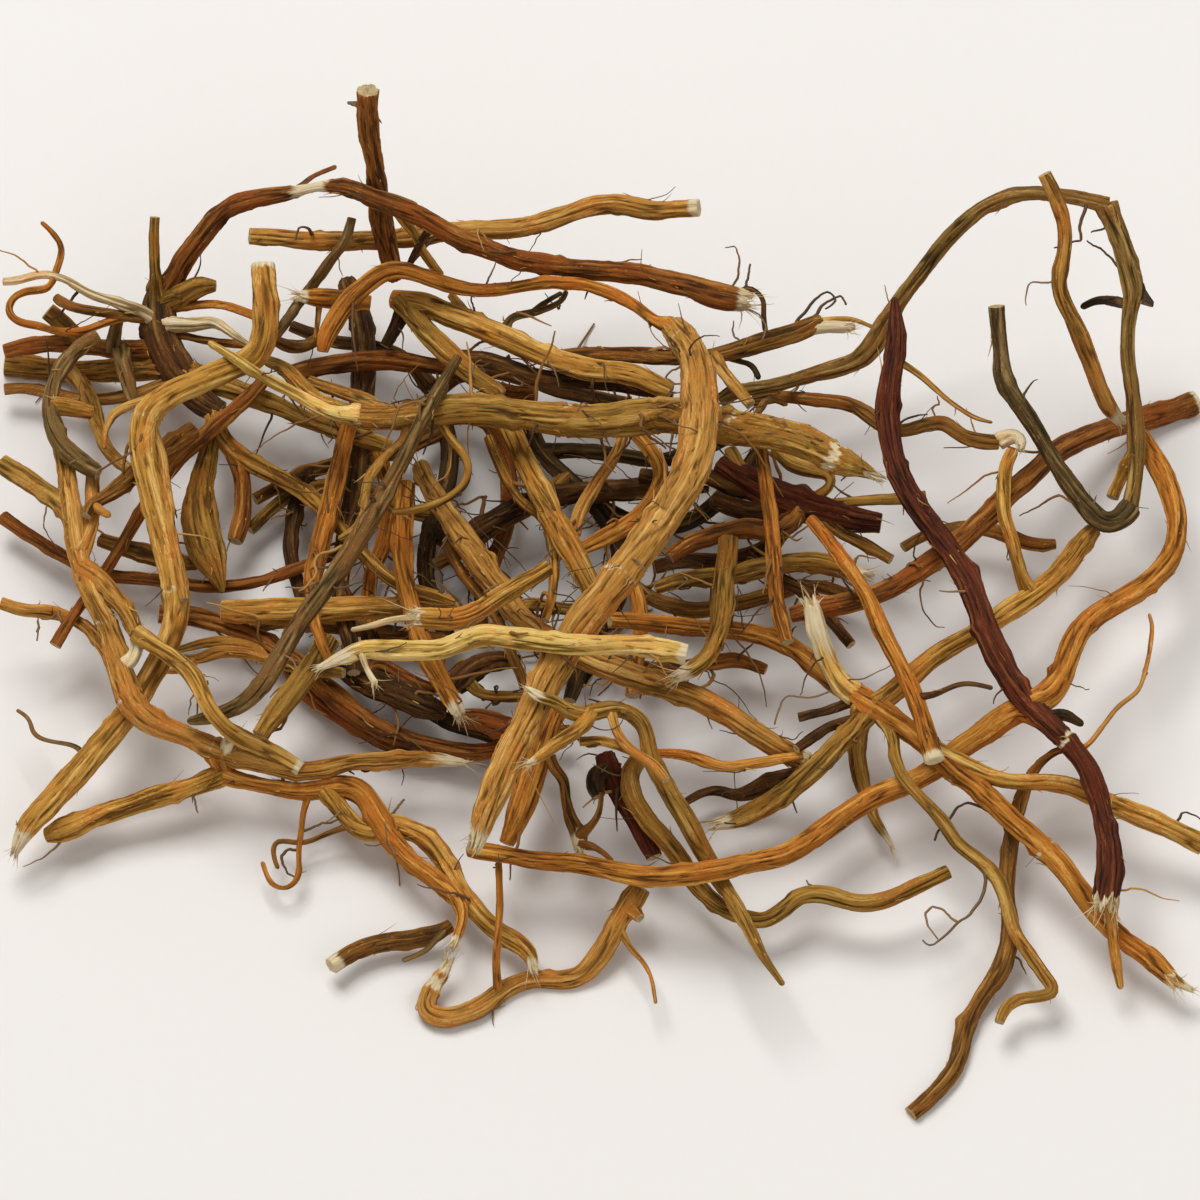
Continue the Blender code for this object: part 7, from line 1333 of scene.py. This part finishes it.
def frames_along(line):
    """Unit tangent and two unit normals at each row, turned so that they do not twist along the line."""
    tangent = unit(np.gradient(line, axis=0))
    axis = np.zeros(3)
    axis[np.argmin(np.abs(tangent).max(axis=0))] = 1.0
    side = unit(np.cross(tangent, axis))
    over = np.cross(side, tangent)
    carried = side[:-1] - np.sum(side[:-1] * tangent[1:], axis=1)[:, None] * tangent[1:]
    slip = np.arctan2(np.sum(carried * over[1:], axis=1), np.sum(carried * side[1:], axis=1))
    turn = np.concatenate(([0.0], np.cumsum(slip)))[:, None]
    return tangent, side * np.cos(turn) + over * np.sin(turn), over * np.cos(turn) - side * np.sin(turn)


def softened(values, rounds):
    """The values, each but the first and last averaged with its neighbours a number of times."""
    values = values.copy()
    for _ in range(rounds):
        values[1:-1] = (values[:-2] + 2 * values[1:-1] + values[2:]) / 4
    return values


def fine_line(line, radius, step):
    """The middle line and radius at a closer spacing, evened out, and the length run at each row."""
    _, along = measured(line)
    samples = np.linspace(0.0, along[-1], max(FEWEST_ROWS, math.ceil(along[-1] / step) + 1))
    dense = np.stack([np.interp(samples, along, line[:, axis]) for axis in range(3)], axis=1)
    return softened(dense, 4), softened(np.interp(samples, along, radius), 4), samples


def styles_of(item, width):
    """Style and bare length in mm of the root's start and end: as the tables give them, or by the width."""
    first, last = ((CLEAN, 0) if width[end] > BLUNT_RADIUS else (TIP, 0) for end in (0, -1))
    if item.parent:
        first = (SUNK, 0)
    return FIRST_ENDS.get(item.name, first), LAST_ENDS.get(item.name, last)


def furrowed_skin(width, along, angle, bark, random):
    """The bark on a grid of rows along the root and columns round it, with its furrows and crests, and how
    much painted shade the furrows and painted highlight the crests get.

    The radius is the given one times slow lumps and swellings, plus a relief. The relief sums two smooth
    noises, whose cells are far longer along the root than across, and ribs across it, and takes off a sharp
    crease wherever one of the noises passes its middle value. The columns drift round the root along it, so
    that the furrows wind a little.
    """
    wander = np.cumsum(random.normal(0.0, WANDER_STEP, len(along)))[:, None] * WANDER
    furrows = max(4, int(round(2 * math.pi * width.mean() / (bark.furrow_spacing / MM))))
    twist = along[:, None] * random.normal(0.0, TWIST)
    columns = (angle / (2 * math.pi) + wander + twist) * furrows
    wide = meander(random, furrows, along / FURROW_LENGTH, columns)
    fine = meander(random, 2 * furrows, along / FINE_FURROW_LENGTH, columns * 2)
    lumps = meander(random, 3, along / LUMP_LENGTH, columns * 3 / furrows)
    swell = meander(random, 1, along / SWELL_LENGTH, columns * 0)
    ribs = meander(random, 1, along / RIB_LENGTH, columns * 0)
    crease = np.clip(1.0 - np.abs(wide - 0.5) * CREASE_SHARPNESS, 0.0, 1.0)
    nick = np.clip(1.0 - np.abs(fine - 0.5) * NICK_SHARPNESS, 0.0, 1.0)
    depth = bark.furrow_depth / MM * np.sqrt(width / REFERENCE_RADIUS)[:, None]
    relief = depth * (FURROW_DEPTH * (wide - 0.5) + FINE_FURROW_DEPTH * (fine - 0.5) - CREASE_DEPTH * crease
                      - NICK_DEPTH * nick + RELIEF_LIFT + RIB_DEPTH * (ribs - 0.5))
    radius = width[:, None] * (1.0 + LUMP_SIZE * (lumps - 0.5) + SWELL_SIZE * (swell - 0.5)) + relief
    # Painted shade: how much the colour darkens in the creases and nicks of the furrows
    hollow = np.clip(0.85 * crease + 0.5 * nick, 0.0, 1.0)
    # Painted highlight: how much the colour lightens on the crests, none in the furrows
    ridge = np.clip(0.5 + 1.2 * (wide - 0.5) + 0.8 * (fine - 0.5), 0.0, 1.0) * (1.0 - hollow)
    return Skin(radius, columns, furrows, hollow, ridge)


def knotted(radius, width, along, angle, spacing, random):
    """The radius with knots: bumps at random places that fall off along the root and round it."""
    knots = int(random.poisson(along[-1] / spacing))
    for place, turn in zip(random.uniform(0, along[-1], knots), random.uniform(0, 2 * math.pi, knots)):
        size = random.uniform(*KNOT_SIZE) * np.interp(place, along, width)
        reach = random.uniform(*KNOT_REACH)
        near = np.exp(-((along - place) / reach)[:, None] ** 2)
        radius = radius + size * near * np.exp((np.cos(angle - turn) - 1.0) * KNOT_ROUNDNESS)
    return radius


def with_torn_ends(radius, styles, width, along, skin, random):
    """The radius with its torn ends thinned, where wood is bare, and how far each column is pushed along.

    Bare wood reaches from the end for the given length, with a ragged edge. At a torn end every column is
    pushed along the root by its own amount, which fades within about two radii.
    """
    bare = np.zeros_like(radius)
    push = np.zeros_like(radius)
    thick = width.mean()
    for (style, pale), from_end, outwards in zip(styles, (along, along[-1] - along), (-1.0, 1.0)):
        ragged = meander(random, skin.furrows, np.zeros(len(along)), skin.columns)
        if pale:
            bare = np.maximum(bare, np.clip(1.3 - from_end[:, None] / pale + 0.5 * (ragged - 0.5), 0.0, 1.0))
        if style == TORN:
            close = np.clip(1.0 - from_end[:, None] / (2.2 * thick + 0.6), 0.0, 1.0) ** 2
            push = push + outwards * close * (ragged - 0.55) * (2.0 * thick + 1.0)
            radius = radius * (1.0 - 0.30 * close * np.abs(ragged - 0.4) * 2.0)
    return radius, bare, push


def with_breaks(radius, bare, strand, width, along, skin, random):
    """The radius and bare wood at the root's breaks: the bark ends there in a low lip with an uneven edge."""
    level = np.zeros(len(along))
    for across, up, reach in BREAKS.get(strand.root.name, ()):
        nearest = np.argmin(np.hypot(strand.across - across, strand.up - up))
        gap = along - along[-1] * nearest / (len(strand.across) - 1)
        uneven = meander(random, skin.furrows, level, skin.columns) - 0.5
        edge = gap[:, None] + BREAK_UNEVENNESS * uneven
        inside = np.exp(-(edge / reach) ** 4)
        lip = np.exp(-((np.abs(edge) - reach) / LIP_WIDTH) ** 2)
        radius = radius + width[:, None] * (0.13 * lip - 0.14 * inside)
        torn = meander(random, 5, level, skin.columns * 5 / skin.furrows)
        bare = np.maximum(bare, inside * np.clip(2.2 * torn - 1.0 + 0.4 * reach, 0.0, 0.85))
    return radius, bare


def tube_faces(rows, sides):
    """Squares between neighbouring rows, and triangles from the outermost rows to their poles.

    The two poles come after the points of the rows, the first row's one first.
    """
    base = np.arange(rows - 1)[:, None] * sides
    column = np.arange(sides)
    following = (column + 1) % sides
    quads = np.stack((base + column, base + following, base + sides + following, base + sides + column),
                     axis=2)
    last = (rows - 1) * sides
    pole = np.full(sides, rows * sides)
    caps = np.concatenate((np.stack((following, column, pole), axis=1),
                           np.stack((last + column, last + following, pole + 1), axis=1)))
    return quads.reshape(-1, 4), caps


def root_surface(strand, line, bark, random):
    """One root as a closed grid of rows along it and columns round it, with the marks that its bark reads.

    A point is the middle line's, plus the push along the tangent, plus the radius times the unit vector of
    its column. A few rows of falling radius and a pole close each end. The attribute straight holds the
    point's place on the root drawn straight, moved by a random step so that no two roots look alike.
    """
    item = strand.root
    step = ROW_STEP if strand.radius.max() > THIN_RADIUS else THIN_ROW_STEP
    centre, width, along = fine_line(line, strand.radius, step)
    sides = next(count for limit, count in SIDES if width.max() > limit)
    angle = np.linspace(0.0, 2 * math.pi, sides, endpoint=False)[None, :]
    styles = styles_of(item, width)
    skin = furrowed_skin(width, along, angle, bark, random)
    radius = knotted(skin.radius, width, along, angle, bark.knot_spacing / MM, random)
    if item.parent:
        radius = radius * (1.0 + FLARE * np.exp(-(along / (1.6 * width[0] + 1.2)) ** 2))[:, None]
    radius, bare, push = with_torn_ends(radius, styles, width, along, skin, random)
    radius, bare = with_breaks(radius, bare, strand, width, along, skin, random)

    (start_share, start_out), (end_share, end_out) = (np.array(END_ROWS[style]) for style, _ in styles)
    counts = (len(start_share), len(along), len(end_share))
    share = np.concatenate((start_share[::-1], np.ones(len(along)), end_share))[:, None]
    out = np.concatenate((-start_out[::-1] * width[0], np.zeros(len(along)), end_out * width[-1]))
    pick = np.pad(np.arange(len(along)), (counts[0], counts[2]), mode="edge")
    open_ends = [style in (CLEAN, TORN) for style, _ in styles]
    cut = np.repeat([float(open_ends[0]), 0.0, float(open_ends[1])], counts)[:, None]
    tangent, side, over = frames_along(centre)
    turn = angle[:, :, None]
    outwards = side[pick][:, None, :] * np.cos(turn) + over[pick][:, None, :] * np.sin(turn)
    lift = (push[pick] * share + out[:, None])[:, :, None]
    points = (centre[pick][:, None, :] + tangent[pick][:, None, :] * lift
              + (radius[pick] * share)[:, :, None] * outwards)
    poles = np.stack((points[0].mean(axis=0), points[-1].mean(axis=0)))
    points = np.concatenate((points.reshape(-1, 3), poles))
    points[:, 2] = np.maximum(points[:, 2], 0.0)

    position = along[pick] + out
    straight = np.stack(np.broadcast_arrays(width[pick][:, None] * np.cos(angle),
                                            width[pick][:, None] * np.sin(angle), position[:, None]), axis=2)
    offset = np.append(random.uniform(-40, 40, 2), random.uniform(0, 900))
    middles = [[0, 0, position[0]], [0, 0, position[-1]]]
    straight = np.concatenate((straight.reshape(-1, 3), middles)) + offset
    tone = np.full(1, random.uniform(0.0, 1.0))
    # The painted furrow shade is left off the cut faces
    grids = (skin.hollow[pick] * (1 - cut), skin.ridge[pick], bare[pick], cut, tone)
    grids = [np.broadcast_to(grid, (len(pick), sides)) for grid in grids]
    marks = [np.concatenate((grid.ravel(), grid[[0, -1]].mean(axis=1))) for grid in grids]
    return points, *tube_faces(len(pick), sides), straight, marks


def thin_tubes(lines, widths, sides=4):
    """Many thin tubes at once, closed by poles: lines is tubes × rows × 3, and widths tubes × rows."""
    tubes, rows, _ = lines.shape
    tangent = np.gradient(lines, axis=1)
    tangent /= np.linalg.norm(tangent, axis=2)[:, :, None] + 1e-9
    side = np.cross(tangent, np.array([0.21, 0.35, 0.91]))
    side /= np.linalg.norm(side, axis=2)[:, :, None] + 1e-9
    over = np.cross(side, tangent)
    angle = np.linspace(0.0, 2 * math.pi, sides, endpoint=False)[None, None, :, None]
    ring = side[:, :, None, :] * np.cos(angle) + over[:, :, None, :] * np.sin(angle)
    points = lines[:, :, None, :] + widths[:, :, None, None] * ring
    poles = np.stack((lines[:, 0], lines[:, -1]), axis=1)
    body = np.concatenate((points.reshape(tubes, rows * sides, 3), poles), axis=1)
    quads, caps = tube_faces(rows, sides)
    shift = (np.arange(tubes) * (rows * sides + 2))[:, None, None]
    return body.reshape(-1, 3), (quads[None] + shift).reshape(-1, 4), (caps[None] + shift).reshape(-1, 3)


def mesh_object(name, points, quads, caps, materials, slots=None, straight=None, marks=None):
    """A smooth mesh object in the row's frame, from arrays in millimetres, squares before triangles."""
    mesh = bpy.data.meshes.new(name)
    mesh.vertices.add(len(points))
    mesh.vertices.foreach_set("co", (points * MM).ravel())
    corners = np.concatenate((quads.ravel(), caps.ravel()))
    mesh.loops.add(len(corners))
    mesh.loops.foreach_set("vertex_index", corners.astype(np.int32))
    faces = len(quads) + len(caps)
    starts = np.concatenate((np.arange(len(quads)) * 4, len(quads) * 4 + np.arange(len(caps)) * 3))
    mesh.polygons.add(faces)
    mesh.polygons.foreach_set("loop_start", starts.astype(np.int32))
    mesh.polygons.foreach_set("use_smooth", np.ones(faces, dtype=bool))
    for material in materials:
        mesh.materials.append(material)
    if slots is not None:
        mesh.polygons.foreach_set("material_index", slots.astype(np.int32))
    mesh.update(calc_edges=True)
    if straight is not None:
        layer = mesh.attributes.new("straight", "FLOAT_VECTOR", "POINT")
        layer.data.foreach_set("vector", straight.astype(np.float32).ravel())
    for mark, values in (marks or {}).items():
        layer = mesh.attributes.new(mark, "FLOAT", "POINT")
        layer.data.foreach_set("value", values.astype(np.float32))
    if mesh.validate():
        raise RuntimeError(f"{name} had faces that are not valid")
    piece = bpy.data.objects.new(name, mesh)
    bpy.context.scene.collection.objects.link(piece)
    return piece


class Bundle:
    """Strands, middle lines and materials that the operators share, worked out once."""

    strands = None
    lines = None
    materials = {}

    @classmethod
    def settled(cls):
        if cls.strands is None:
            cls.strands = settle(*lay_out(ROOTS))
            cls.lines = middle_lines(cls.strands)
        return cls.strands, cls.lines

    @classmethod
    def shift(cls):
        """How far the drafting view's origin lies from the bundle's, in millimetres."""
        strands, lines = cls.settled()
        start = strands[0]
        return lines[0][0] - as_placed(start.across[0], start.up[0], start.height[0])

    @classmethod
    def bark(cls, finish, depth):
        if finish not in cls.materials:
            cls.materials[finish] = bark_surface(finish + " bark", TONES[finish], depth)
        return cls.materials[finish]


def slot_of(node):
    """The record's material slot of a CAD node."""
    return next(part["material_slot"] for part in frame["record"]["subparts"] if part["node"] == node)


def dress_node(node, bark):
    """All roots of one CAD node as one piece that stands for it. Each root has random numbers of its own."""
    finishes = []
    surfaces = []
    for index, (strand, line) in enumerate(zip(*Bundle.settled())):
        item = strand.root
        if item.node == node:
            finishes.append(RETONED.get(item.name, item.finish))
            surfaces.append(root_surface(strand, line, bark, np.random.default_rng(FIRST_SEED + index)))
    if not surfaces:
        raise RuntimeError(f"no root belongs to {node}")
    bodies, quads, caps, straights, marks = zip(*surfaces)
    starts = np.cumsum([0] + [len(body) for body in bodies[:-1]])
    used = list(dict.fromkeys(finishes))
    places = [used.index(finish) for finish in finishes]
    slots = [np.repeat(places, [len(part) for part in parts]) for parts in (quads, caps)]
    piece = mesh_object(node + "_bark", np.concatenate(bodies),
                        np.concatenate([part + start for part, start in zip(quads, starts)]),
                        np.concatenate([part + start for part, start in zip(caps, starts)]),
                        [Bundle.bark(finish, bark.grain_depth) for finish in used],
                        np.concatenate(slots), np.concatenate(straights),
                        {mark: np.concatenate(values) for mark, values in zip(MARKS, zip(*marks))})
    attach(piece, "root")
    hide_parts(node)
    slot_of(node)


def nodes_between(low, high):
    """CAD nodes in the order of the table whose box has its middle between two values across, in metres."""
    names = []
    for name in dict.fromkeys(item.node for item in ROOTS):
        lowest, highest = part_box(name)
        if low <= (lowest[0] + highest[0]) / 2 < high:
            names.append(name)
    return names


class SARSAPARILLA_OT_left_roots(bpy.types.Operator):
    """Dress the roots on the left, with the knotty crown that most of them spring from"""

    bl_idname = "sarsaparilla.left_roots"
    bl_label = "Left Roots"

    def execute(self, context):
        for node in nodes_between(-BEYOND, LEFT_LIMIT):
            dress_node(node, context.scene.root_bark)
        return {"FINISHED"}


class SARSAPARILLA_OT_middle_roots(bpy.types.Operator):
    """Dress the roots in the middle, with the thick root that runs over them"""

    bl_idname = "sarsaparilla.middle_roots"
    bl_label = "Middle Roots"

    def execute(self, context):
        for node in nodes_between(LEFT_LIMIT, RIGHT_LIMIT):
            dress_node(node, context.scene.root_bark)
        return {"FINISHED"}


class SARSAPARILLA_OT_right_roots(bpy.types.Operator):
    """Dress the roots on the right, with the two crowns there and the roots that arch above them"""

    bl_idname = "sarsaparilla.right_roots"
    bl_label = "Right Roots"

    def execute(self, context):
        for node in nodes_between(RIGHT_LIMIT, BEYOND):
            dress_node(node, context.scene.root_bark)
        return {"FINISHED"}


def kept_inside(path, margin):
    """The path pushed back into the CAD box, and from its sides by a margin in millimetres."""
    low, high = np.array(CAD_BOX) / MM
    return np.clip(path, low + margin, high - margin)


def units_across(along, random):
    """A random unit vector square to each of the given unit vectors."""
    around = random.normal(size=along.shape)
    around -= np.sum(around * along, axis=1)[:, None] * along
    return unit(around)


def scattered(tangents, weight, count, random):
    """Random places on the roots by weight, with a unit heading along the root and one square to it."""
    pick = random.choice(len(weight), count, p=weight / weight.sum())
    along = unit(tangents[pick]) * random.choice((-1.0, 1.0), count)[:, None]
    return pick, along, units_across(along, random)


def rootlet_lines(settings, share, random):
    """Curly walks that start on the roots: each step turns the heading a little and lets it sink.

    A walk leaves its root at a low angle. The larger the share is, the fewer, longer and thicker are the
    walks, and the more of them start near the middle of the bundle. All are made at once, as
    tubes × rows × 3, with radii as tubes × rows, and none leaves the CAD box or goes through the table.
    """
    strands, lines = Bundle.settled()
    count = int(settings.count / share)
    long = [(strand, line) for strand, line in zip(strands, lines) if len(line) > 6]
    places = np.concatenate([line[2:-2] for _, line in long])
    tangents = np.concatenate([line[3:-1] - line[1:-3] for _, line in long])
    widths = np.concatenate([strand.radius[2:-2] for strand, _ in long])
    away = (places[:, :2] - GATHER_MIDDLE) / GATHER_REACH
    gathered = np.exp(-np.hypot(away[:, 0], away[:, 1]) ** 2)
    pick, along, around = scattered(tangents, widths * (EVEN_SHARE / share + gathered), count, random)
    heading = along * random.uniform(*LEAN_ALONG, (count, 1)) + around * LEAN_OUT
    curl = random.normal(0.0, CURL, (count, 1, 3))
    wobble = random.normal(0.0, CURL, (count, ROOTLET_ROWS, 3))
    steps = heading[:, None, :] + np.cumsum(wobble + curl * CURL_GROWTH, axis=1)
    steps[:, :, 2] -= np.linspace(0.0, SINKING, ROOTLET_ROWS)[None, :]
    length = share * settings.length / MM * random.beta(*LENGTH_SPREAD, count)[:, None, None]
    path = np.cumsum(unit(steps) * (length + SHORTEST_ROOTLET) / ROOTLET_ROWS, axis=1)
    start = (places[pick] + around * widths[pick][:, None] * 0.75)[:, None, :]
    path = kept_inside(np.concatenate((start, start + path), axis=1), ROOTLET_MARGIN)
    taper = np.linspace(1.0, ROOTLET_TIP, ROOTLET_ROWS + 1)[None, :]
    radius = share ** 0.6 * settings.thickness / MM / 2
    return path, radius * random.uniform(*WIDTH_SPREAD, (count, 1)) * taper


def drawn_hairs(random):
    """The hairs of the table, each with the same number of rows, near the height of its root."""
    strands, _ = Bundle.settled()
    names = [strand.root.name for strand in strands]
    paths = []
    for name, table in HAIRS:
        holder = strands[names.index(name)]
        table = np.array(table, dtype=float)
        nearest = np.argmin(np.hypot(holder.across - table[0, 0], holder.up - table[0, 1]))
        _, along = measured(table)
        samples = np.linspace(0.0, along[-1], HAIR_ROWS)
        across, up = (softened(np.interp(samples, along, values), 2) for values in table.T)
        across += np.cumsum(random.normal(0.0, HAIR_SHAKE, HAIR_ROWS))
        up += np.cumsum(random.normal(0.0, HAIR_SHAKE, HAIR_ROWS))
        height = holder.height[nearest] + np.cumsum(random.normal(0.0, HAIR_LIFT, HAIR_ROWS))
        paths.append(as_placed(across, up, np.maximum(height, LOWEST_HAIR)) + Bundle.shift())
    width = np.linspace(*HAIR_RADII, HAIR_ROWS)[None, :] * random.uniform(*HAIR_SPREAD, (len(paths), 1))
    return np.array(paths), width


def splinters(places, headings, lengths, thickness, random):
    """Short splinters: straight walks with a slight bend, as tubes × rows × 3, and their radii."""
    share = np.linspace(0.0, 1.0, len(SPLINTER_TAPER))[None, :, None]
    bend = random.normal(0.0, SPLINTER_BEND, (len(places), 1, 3))
    path = places[:, None, :] + lengths[:, None, None] * share * (headings[:, None, :] + bend * share)
    return kept_inside(path, SPLINTER_MARGIN), thickness[:, None] * np.array(SPLINTER_TAPER)


def torn_fibres(random):
    """Pale fibres that stick out of every torn end, from within its ring and along the root."""
    places, headings, lengths, widths = [], [], [], []
    for strand, line in zip(*Bundle.settled()):
        for end, looks in ((0, FIRST_ENDS), (-1, LAST_ENDS)):
            if looks.get(strand.root.name, (SUNK, 0))[0] != TORN:
                continue
            radius = strand.radius[end]
            inner = line[2] if end == 0 else line[-3]
            count = int(FIBRES + FIBRES_PER_RADIUS * radius)
            along = np.tile(unit(line[end] - inner), (count, 1))
            around = units_across(along, random)
            reach = random.uniform(0.0, 1.0, (count, 1))
            places.append(line[end] - along * FIBRE_ROOT + around * radius * 0.85 * reach ** 0.5)
            headings.append(along + around * random.uniform(0.0, 0.35, (count, 1)))
            lengths.append(FIBRE_ROOT + (0.8 + 0.9 * radius) * random.uniform(0.4, 1.5, count))
            widths.append(random.uniform(*FIBRE_RADII, count) * (0.6 + 0.25 * radius))
    return splinters(*map(np.concatenate, (places, headings, lengths, widths)), random)


def bark_shreds(count, random):
    """Shreds of bark that lift off the roots at a low angle, mostly on the thick ones."""
    strands, lines = Bundle.settled()
    places = np.concatenate([line[1:-1] for line in lines])
    tangents = np.concatenate([line[2:] - line[:-2] for line in lines])
    radius = np.concatenate([strand.radius[1:-1] for strand in strands])
    pick, along, around = scattered(tangents, radius ** 2, count, random)
    start = places[pick] + around * (radius[pick] * 0.97)[:, None]
    heading = along + around * random.uniform(0.05, 0.35, (count, 1))
    shortest, spread = SHRED_LENGTHS
    lengths = shortest + spread * random.beta(1.2, 2.6, count)
    return splinters(start, heading, lengths, random.uniform(*SHRED_RADII, count), random)


class SARSAPARILLA_OT_rootlets(bpy.types.Operator):
    """Add the fine rootlets, hairs, torn fibres and shreds of bark that hang on the roots"""

    bl_idname = "sarsaparilla.rootlets"
    bl_label = "Rootlets"

    def execute(self, context):
        random = np.random.default_rng(ROOTLET_SEED)
        settings = context.scene.rootlets
        looks = {name: hair_surface(name, TONES[tone]) for name, tone in THREAD_TONES.items()}
        pieces = (
            ("loose_rootlets", "rootlet", rootlet_lines(settings, 1.0, random)),
            ("thin_roots", "thin root", rootlet_lines(settings, 1.9, random)),
            ("dark_and_shade_threads", "dark and shade thread", rootlet_lines(settings, 1.5, random)),
            ("drawn_hairs", "rootlet", drawn_hairs(random)),
            # Dark threads gathered in the middle, partly painted shade of the bundle's middle
            ("torn_fibres", "torn fibre", torn_fibres(random)),
            ("bark_shreds", "bark shred", bark_shreds(settings.shreds, random)),
        )
        for name, look, (paths, widths) in pieces:
            points, quads, caps = thin_tubes(paths, widths)
            tone = np.repeat(random.uniform(0.0, 1.0, len(paths)), len(points) // len(paths))
            piece = mesh_object(name, points, quads, caps, [looks[look]], marks={"tone": tone})
            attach(piece, "root")
        return {"FINISHED"}


def looking_against(back, target, distance):
    """Matrix of something that stands at a distance from a target, in the direction back, and looks at it."""
    turn = back.to_track_quat("Z", "Y").to_matrix().to_4x4()
    return Matrix.Translation(target + back * distance) @ turn


class SARSAPARILLA_OT_stage(bpy.types.Operator):
    """Lay the pale floor, hang the soft lights and set the camera"""

    bl_idname = "sarsaparilla.stage"
    bl_label = "Stage"

    def execute(self, context):
        settings = context.scene.table_stage
        scene = context.scene
        scene.view_settings.view_transform = "Standard"
        paper = Surface("pale floor")
        grain = paper.noise(paper.node("ShaderNodeTexCoord", "Object"), FLOOR_GRAIN_SCALE, 2.0)
        colour = tuple(settings.floor_colour)
        paper.link(paper.mix(grain, colour, tinted(colour, 0.985)), "Base Color")
        paper.fix("Roughness", 0.9)
        paper.fix("Specular IOR Level", 0.1)
        mesh = bpy.data.meshes.new("floor")
        corners = [(FLOOR_REACH * x, FLOOR_REACH * y, 0) for x, y in ((-1, -1), (1, -1), (1, 1), (-1, 1))]
        mesh.from_pydata(corners, [], [(0, 1, 2, 3)])
        mesh.materials.append(paper.material)
        floor = bpy.data.objects.new("floor", mesh)
        scene.collection.objects.link(floor)

        world = bpy.data.worlds.new("studio")
        world.use_nodes = True
        sky = world.node_tree.nodes["Background"]
        sky.inputs["Color"].default_value = SKY_COLOUR
        sky.inputs["Strength"].default_value = settings.sky_strength
        scene.world = world
        for name, (place, size, share) in LAMPS.items():
            light = bpy.data.lights.new(name, "AREA")
            light.size = size
            light.energy = settings.window_power * share
            lamp = bpy.data.objects.new(name, light)
            lamp.matrix_world = looking_against(Vector(place), Vector(), 1.0)
            scene.collection.objects.link(lamp)

        camera = bpy.data.cameras.new("camera")
        camera.sensor_width = SENSOR_WIDTH
        camera.lens = SENSOR_WIDTH * settings.camera_distance / (BUNDLE_WIDTH * MM)
        camera.clip_start, camera.clip_end = CLIP_RANGE
        viewer = bpy.data.objects.new("camera", camera)
        back = Vector((0.0, -COS_VIEW, SIN_VIEW))
        viewer.matrix_world = looking_against(back, Vector(Bundle.shift() * MM), settings.camera_distance)
        scene.collection.objects.link(viewer)
        scene.camera = viewer
        return {"FINISHED"}


class SARSAPARILLA_PT_bundle(bpy.types.Panel):
    """Pieces of the root bundle"""

    bl_label = "Root Bundle"
    bl_idname = "SARSAPARILLA_PT_bundle"
    bl_space_type = "VIEW_3D"
    bl_region_type = "UI"
    bl_category = "Root Bundle"

    def draw(self, context):
        layout = self.layout
        for group in ("root_bark", "rootlets", "table_stage"):
            settings = getattr(context.scene, group)
            box = layout.box()
            for name in settings.__annotations__:
                box.prop(settings, name)
        for operator in OPERATORS:
            layout.operator(operator.bl_idname)


OPERATORS = (SARSAPARILLA_OT_left_roots, SARSAPARILLA_OT_middle_roots, SARSAPARILLA_OT_right_roots,
             SARSAPARILLA_OT_rootlets, SARSAPARILLA_OT_stage)
SETTINGS = {"root_bark": RootBarkSettings, "rootlets": RootletSettings, "table_stage": TableStageSettings}
CLASSES = tuple(SETTINGS.values()) + OPERATORS + (SARSAPARILLA_PT_bundle,)


def register():
    for item in CLASSES:
        bpy.utils.register_class(item)
    for name, group in SETTINGS.items():
        setattr(bpy.types.Scene, name, PointerProperty(type=group))


def unregister():
    for name in SETTINGS:
        delattr(bpy.types.Scene, name)
    for item in reversed(CLASSES):
        bpy.utils.unregister_class(item)


def main():
    register()
    bpy.ops.sarsaparilla.left_roots()
    bpy.ops.sarsaparilla.middle_roots()
    bpy.ops.sarsaparilla.right_roots()
    bpy.ops.sarsaparilla.rootlets()
    bpy.ops.sarsaparilla.stage()


if __name__ == "__main__":
    main()
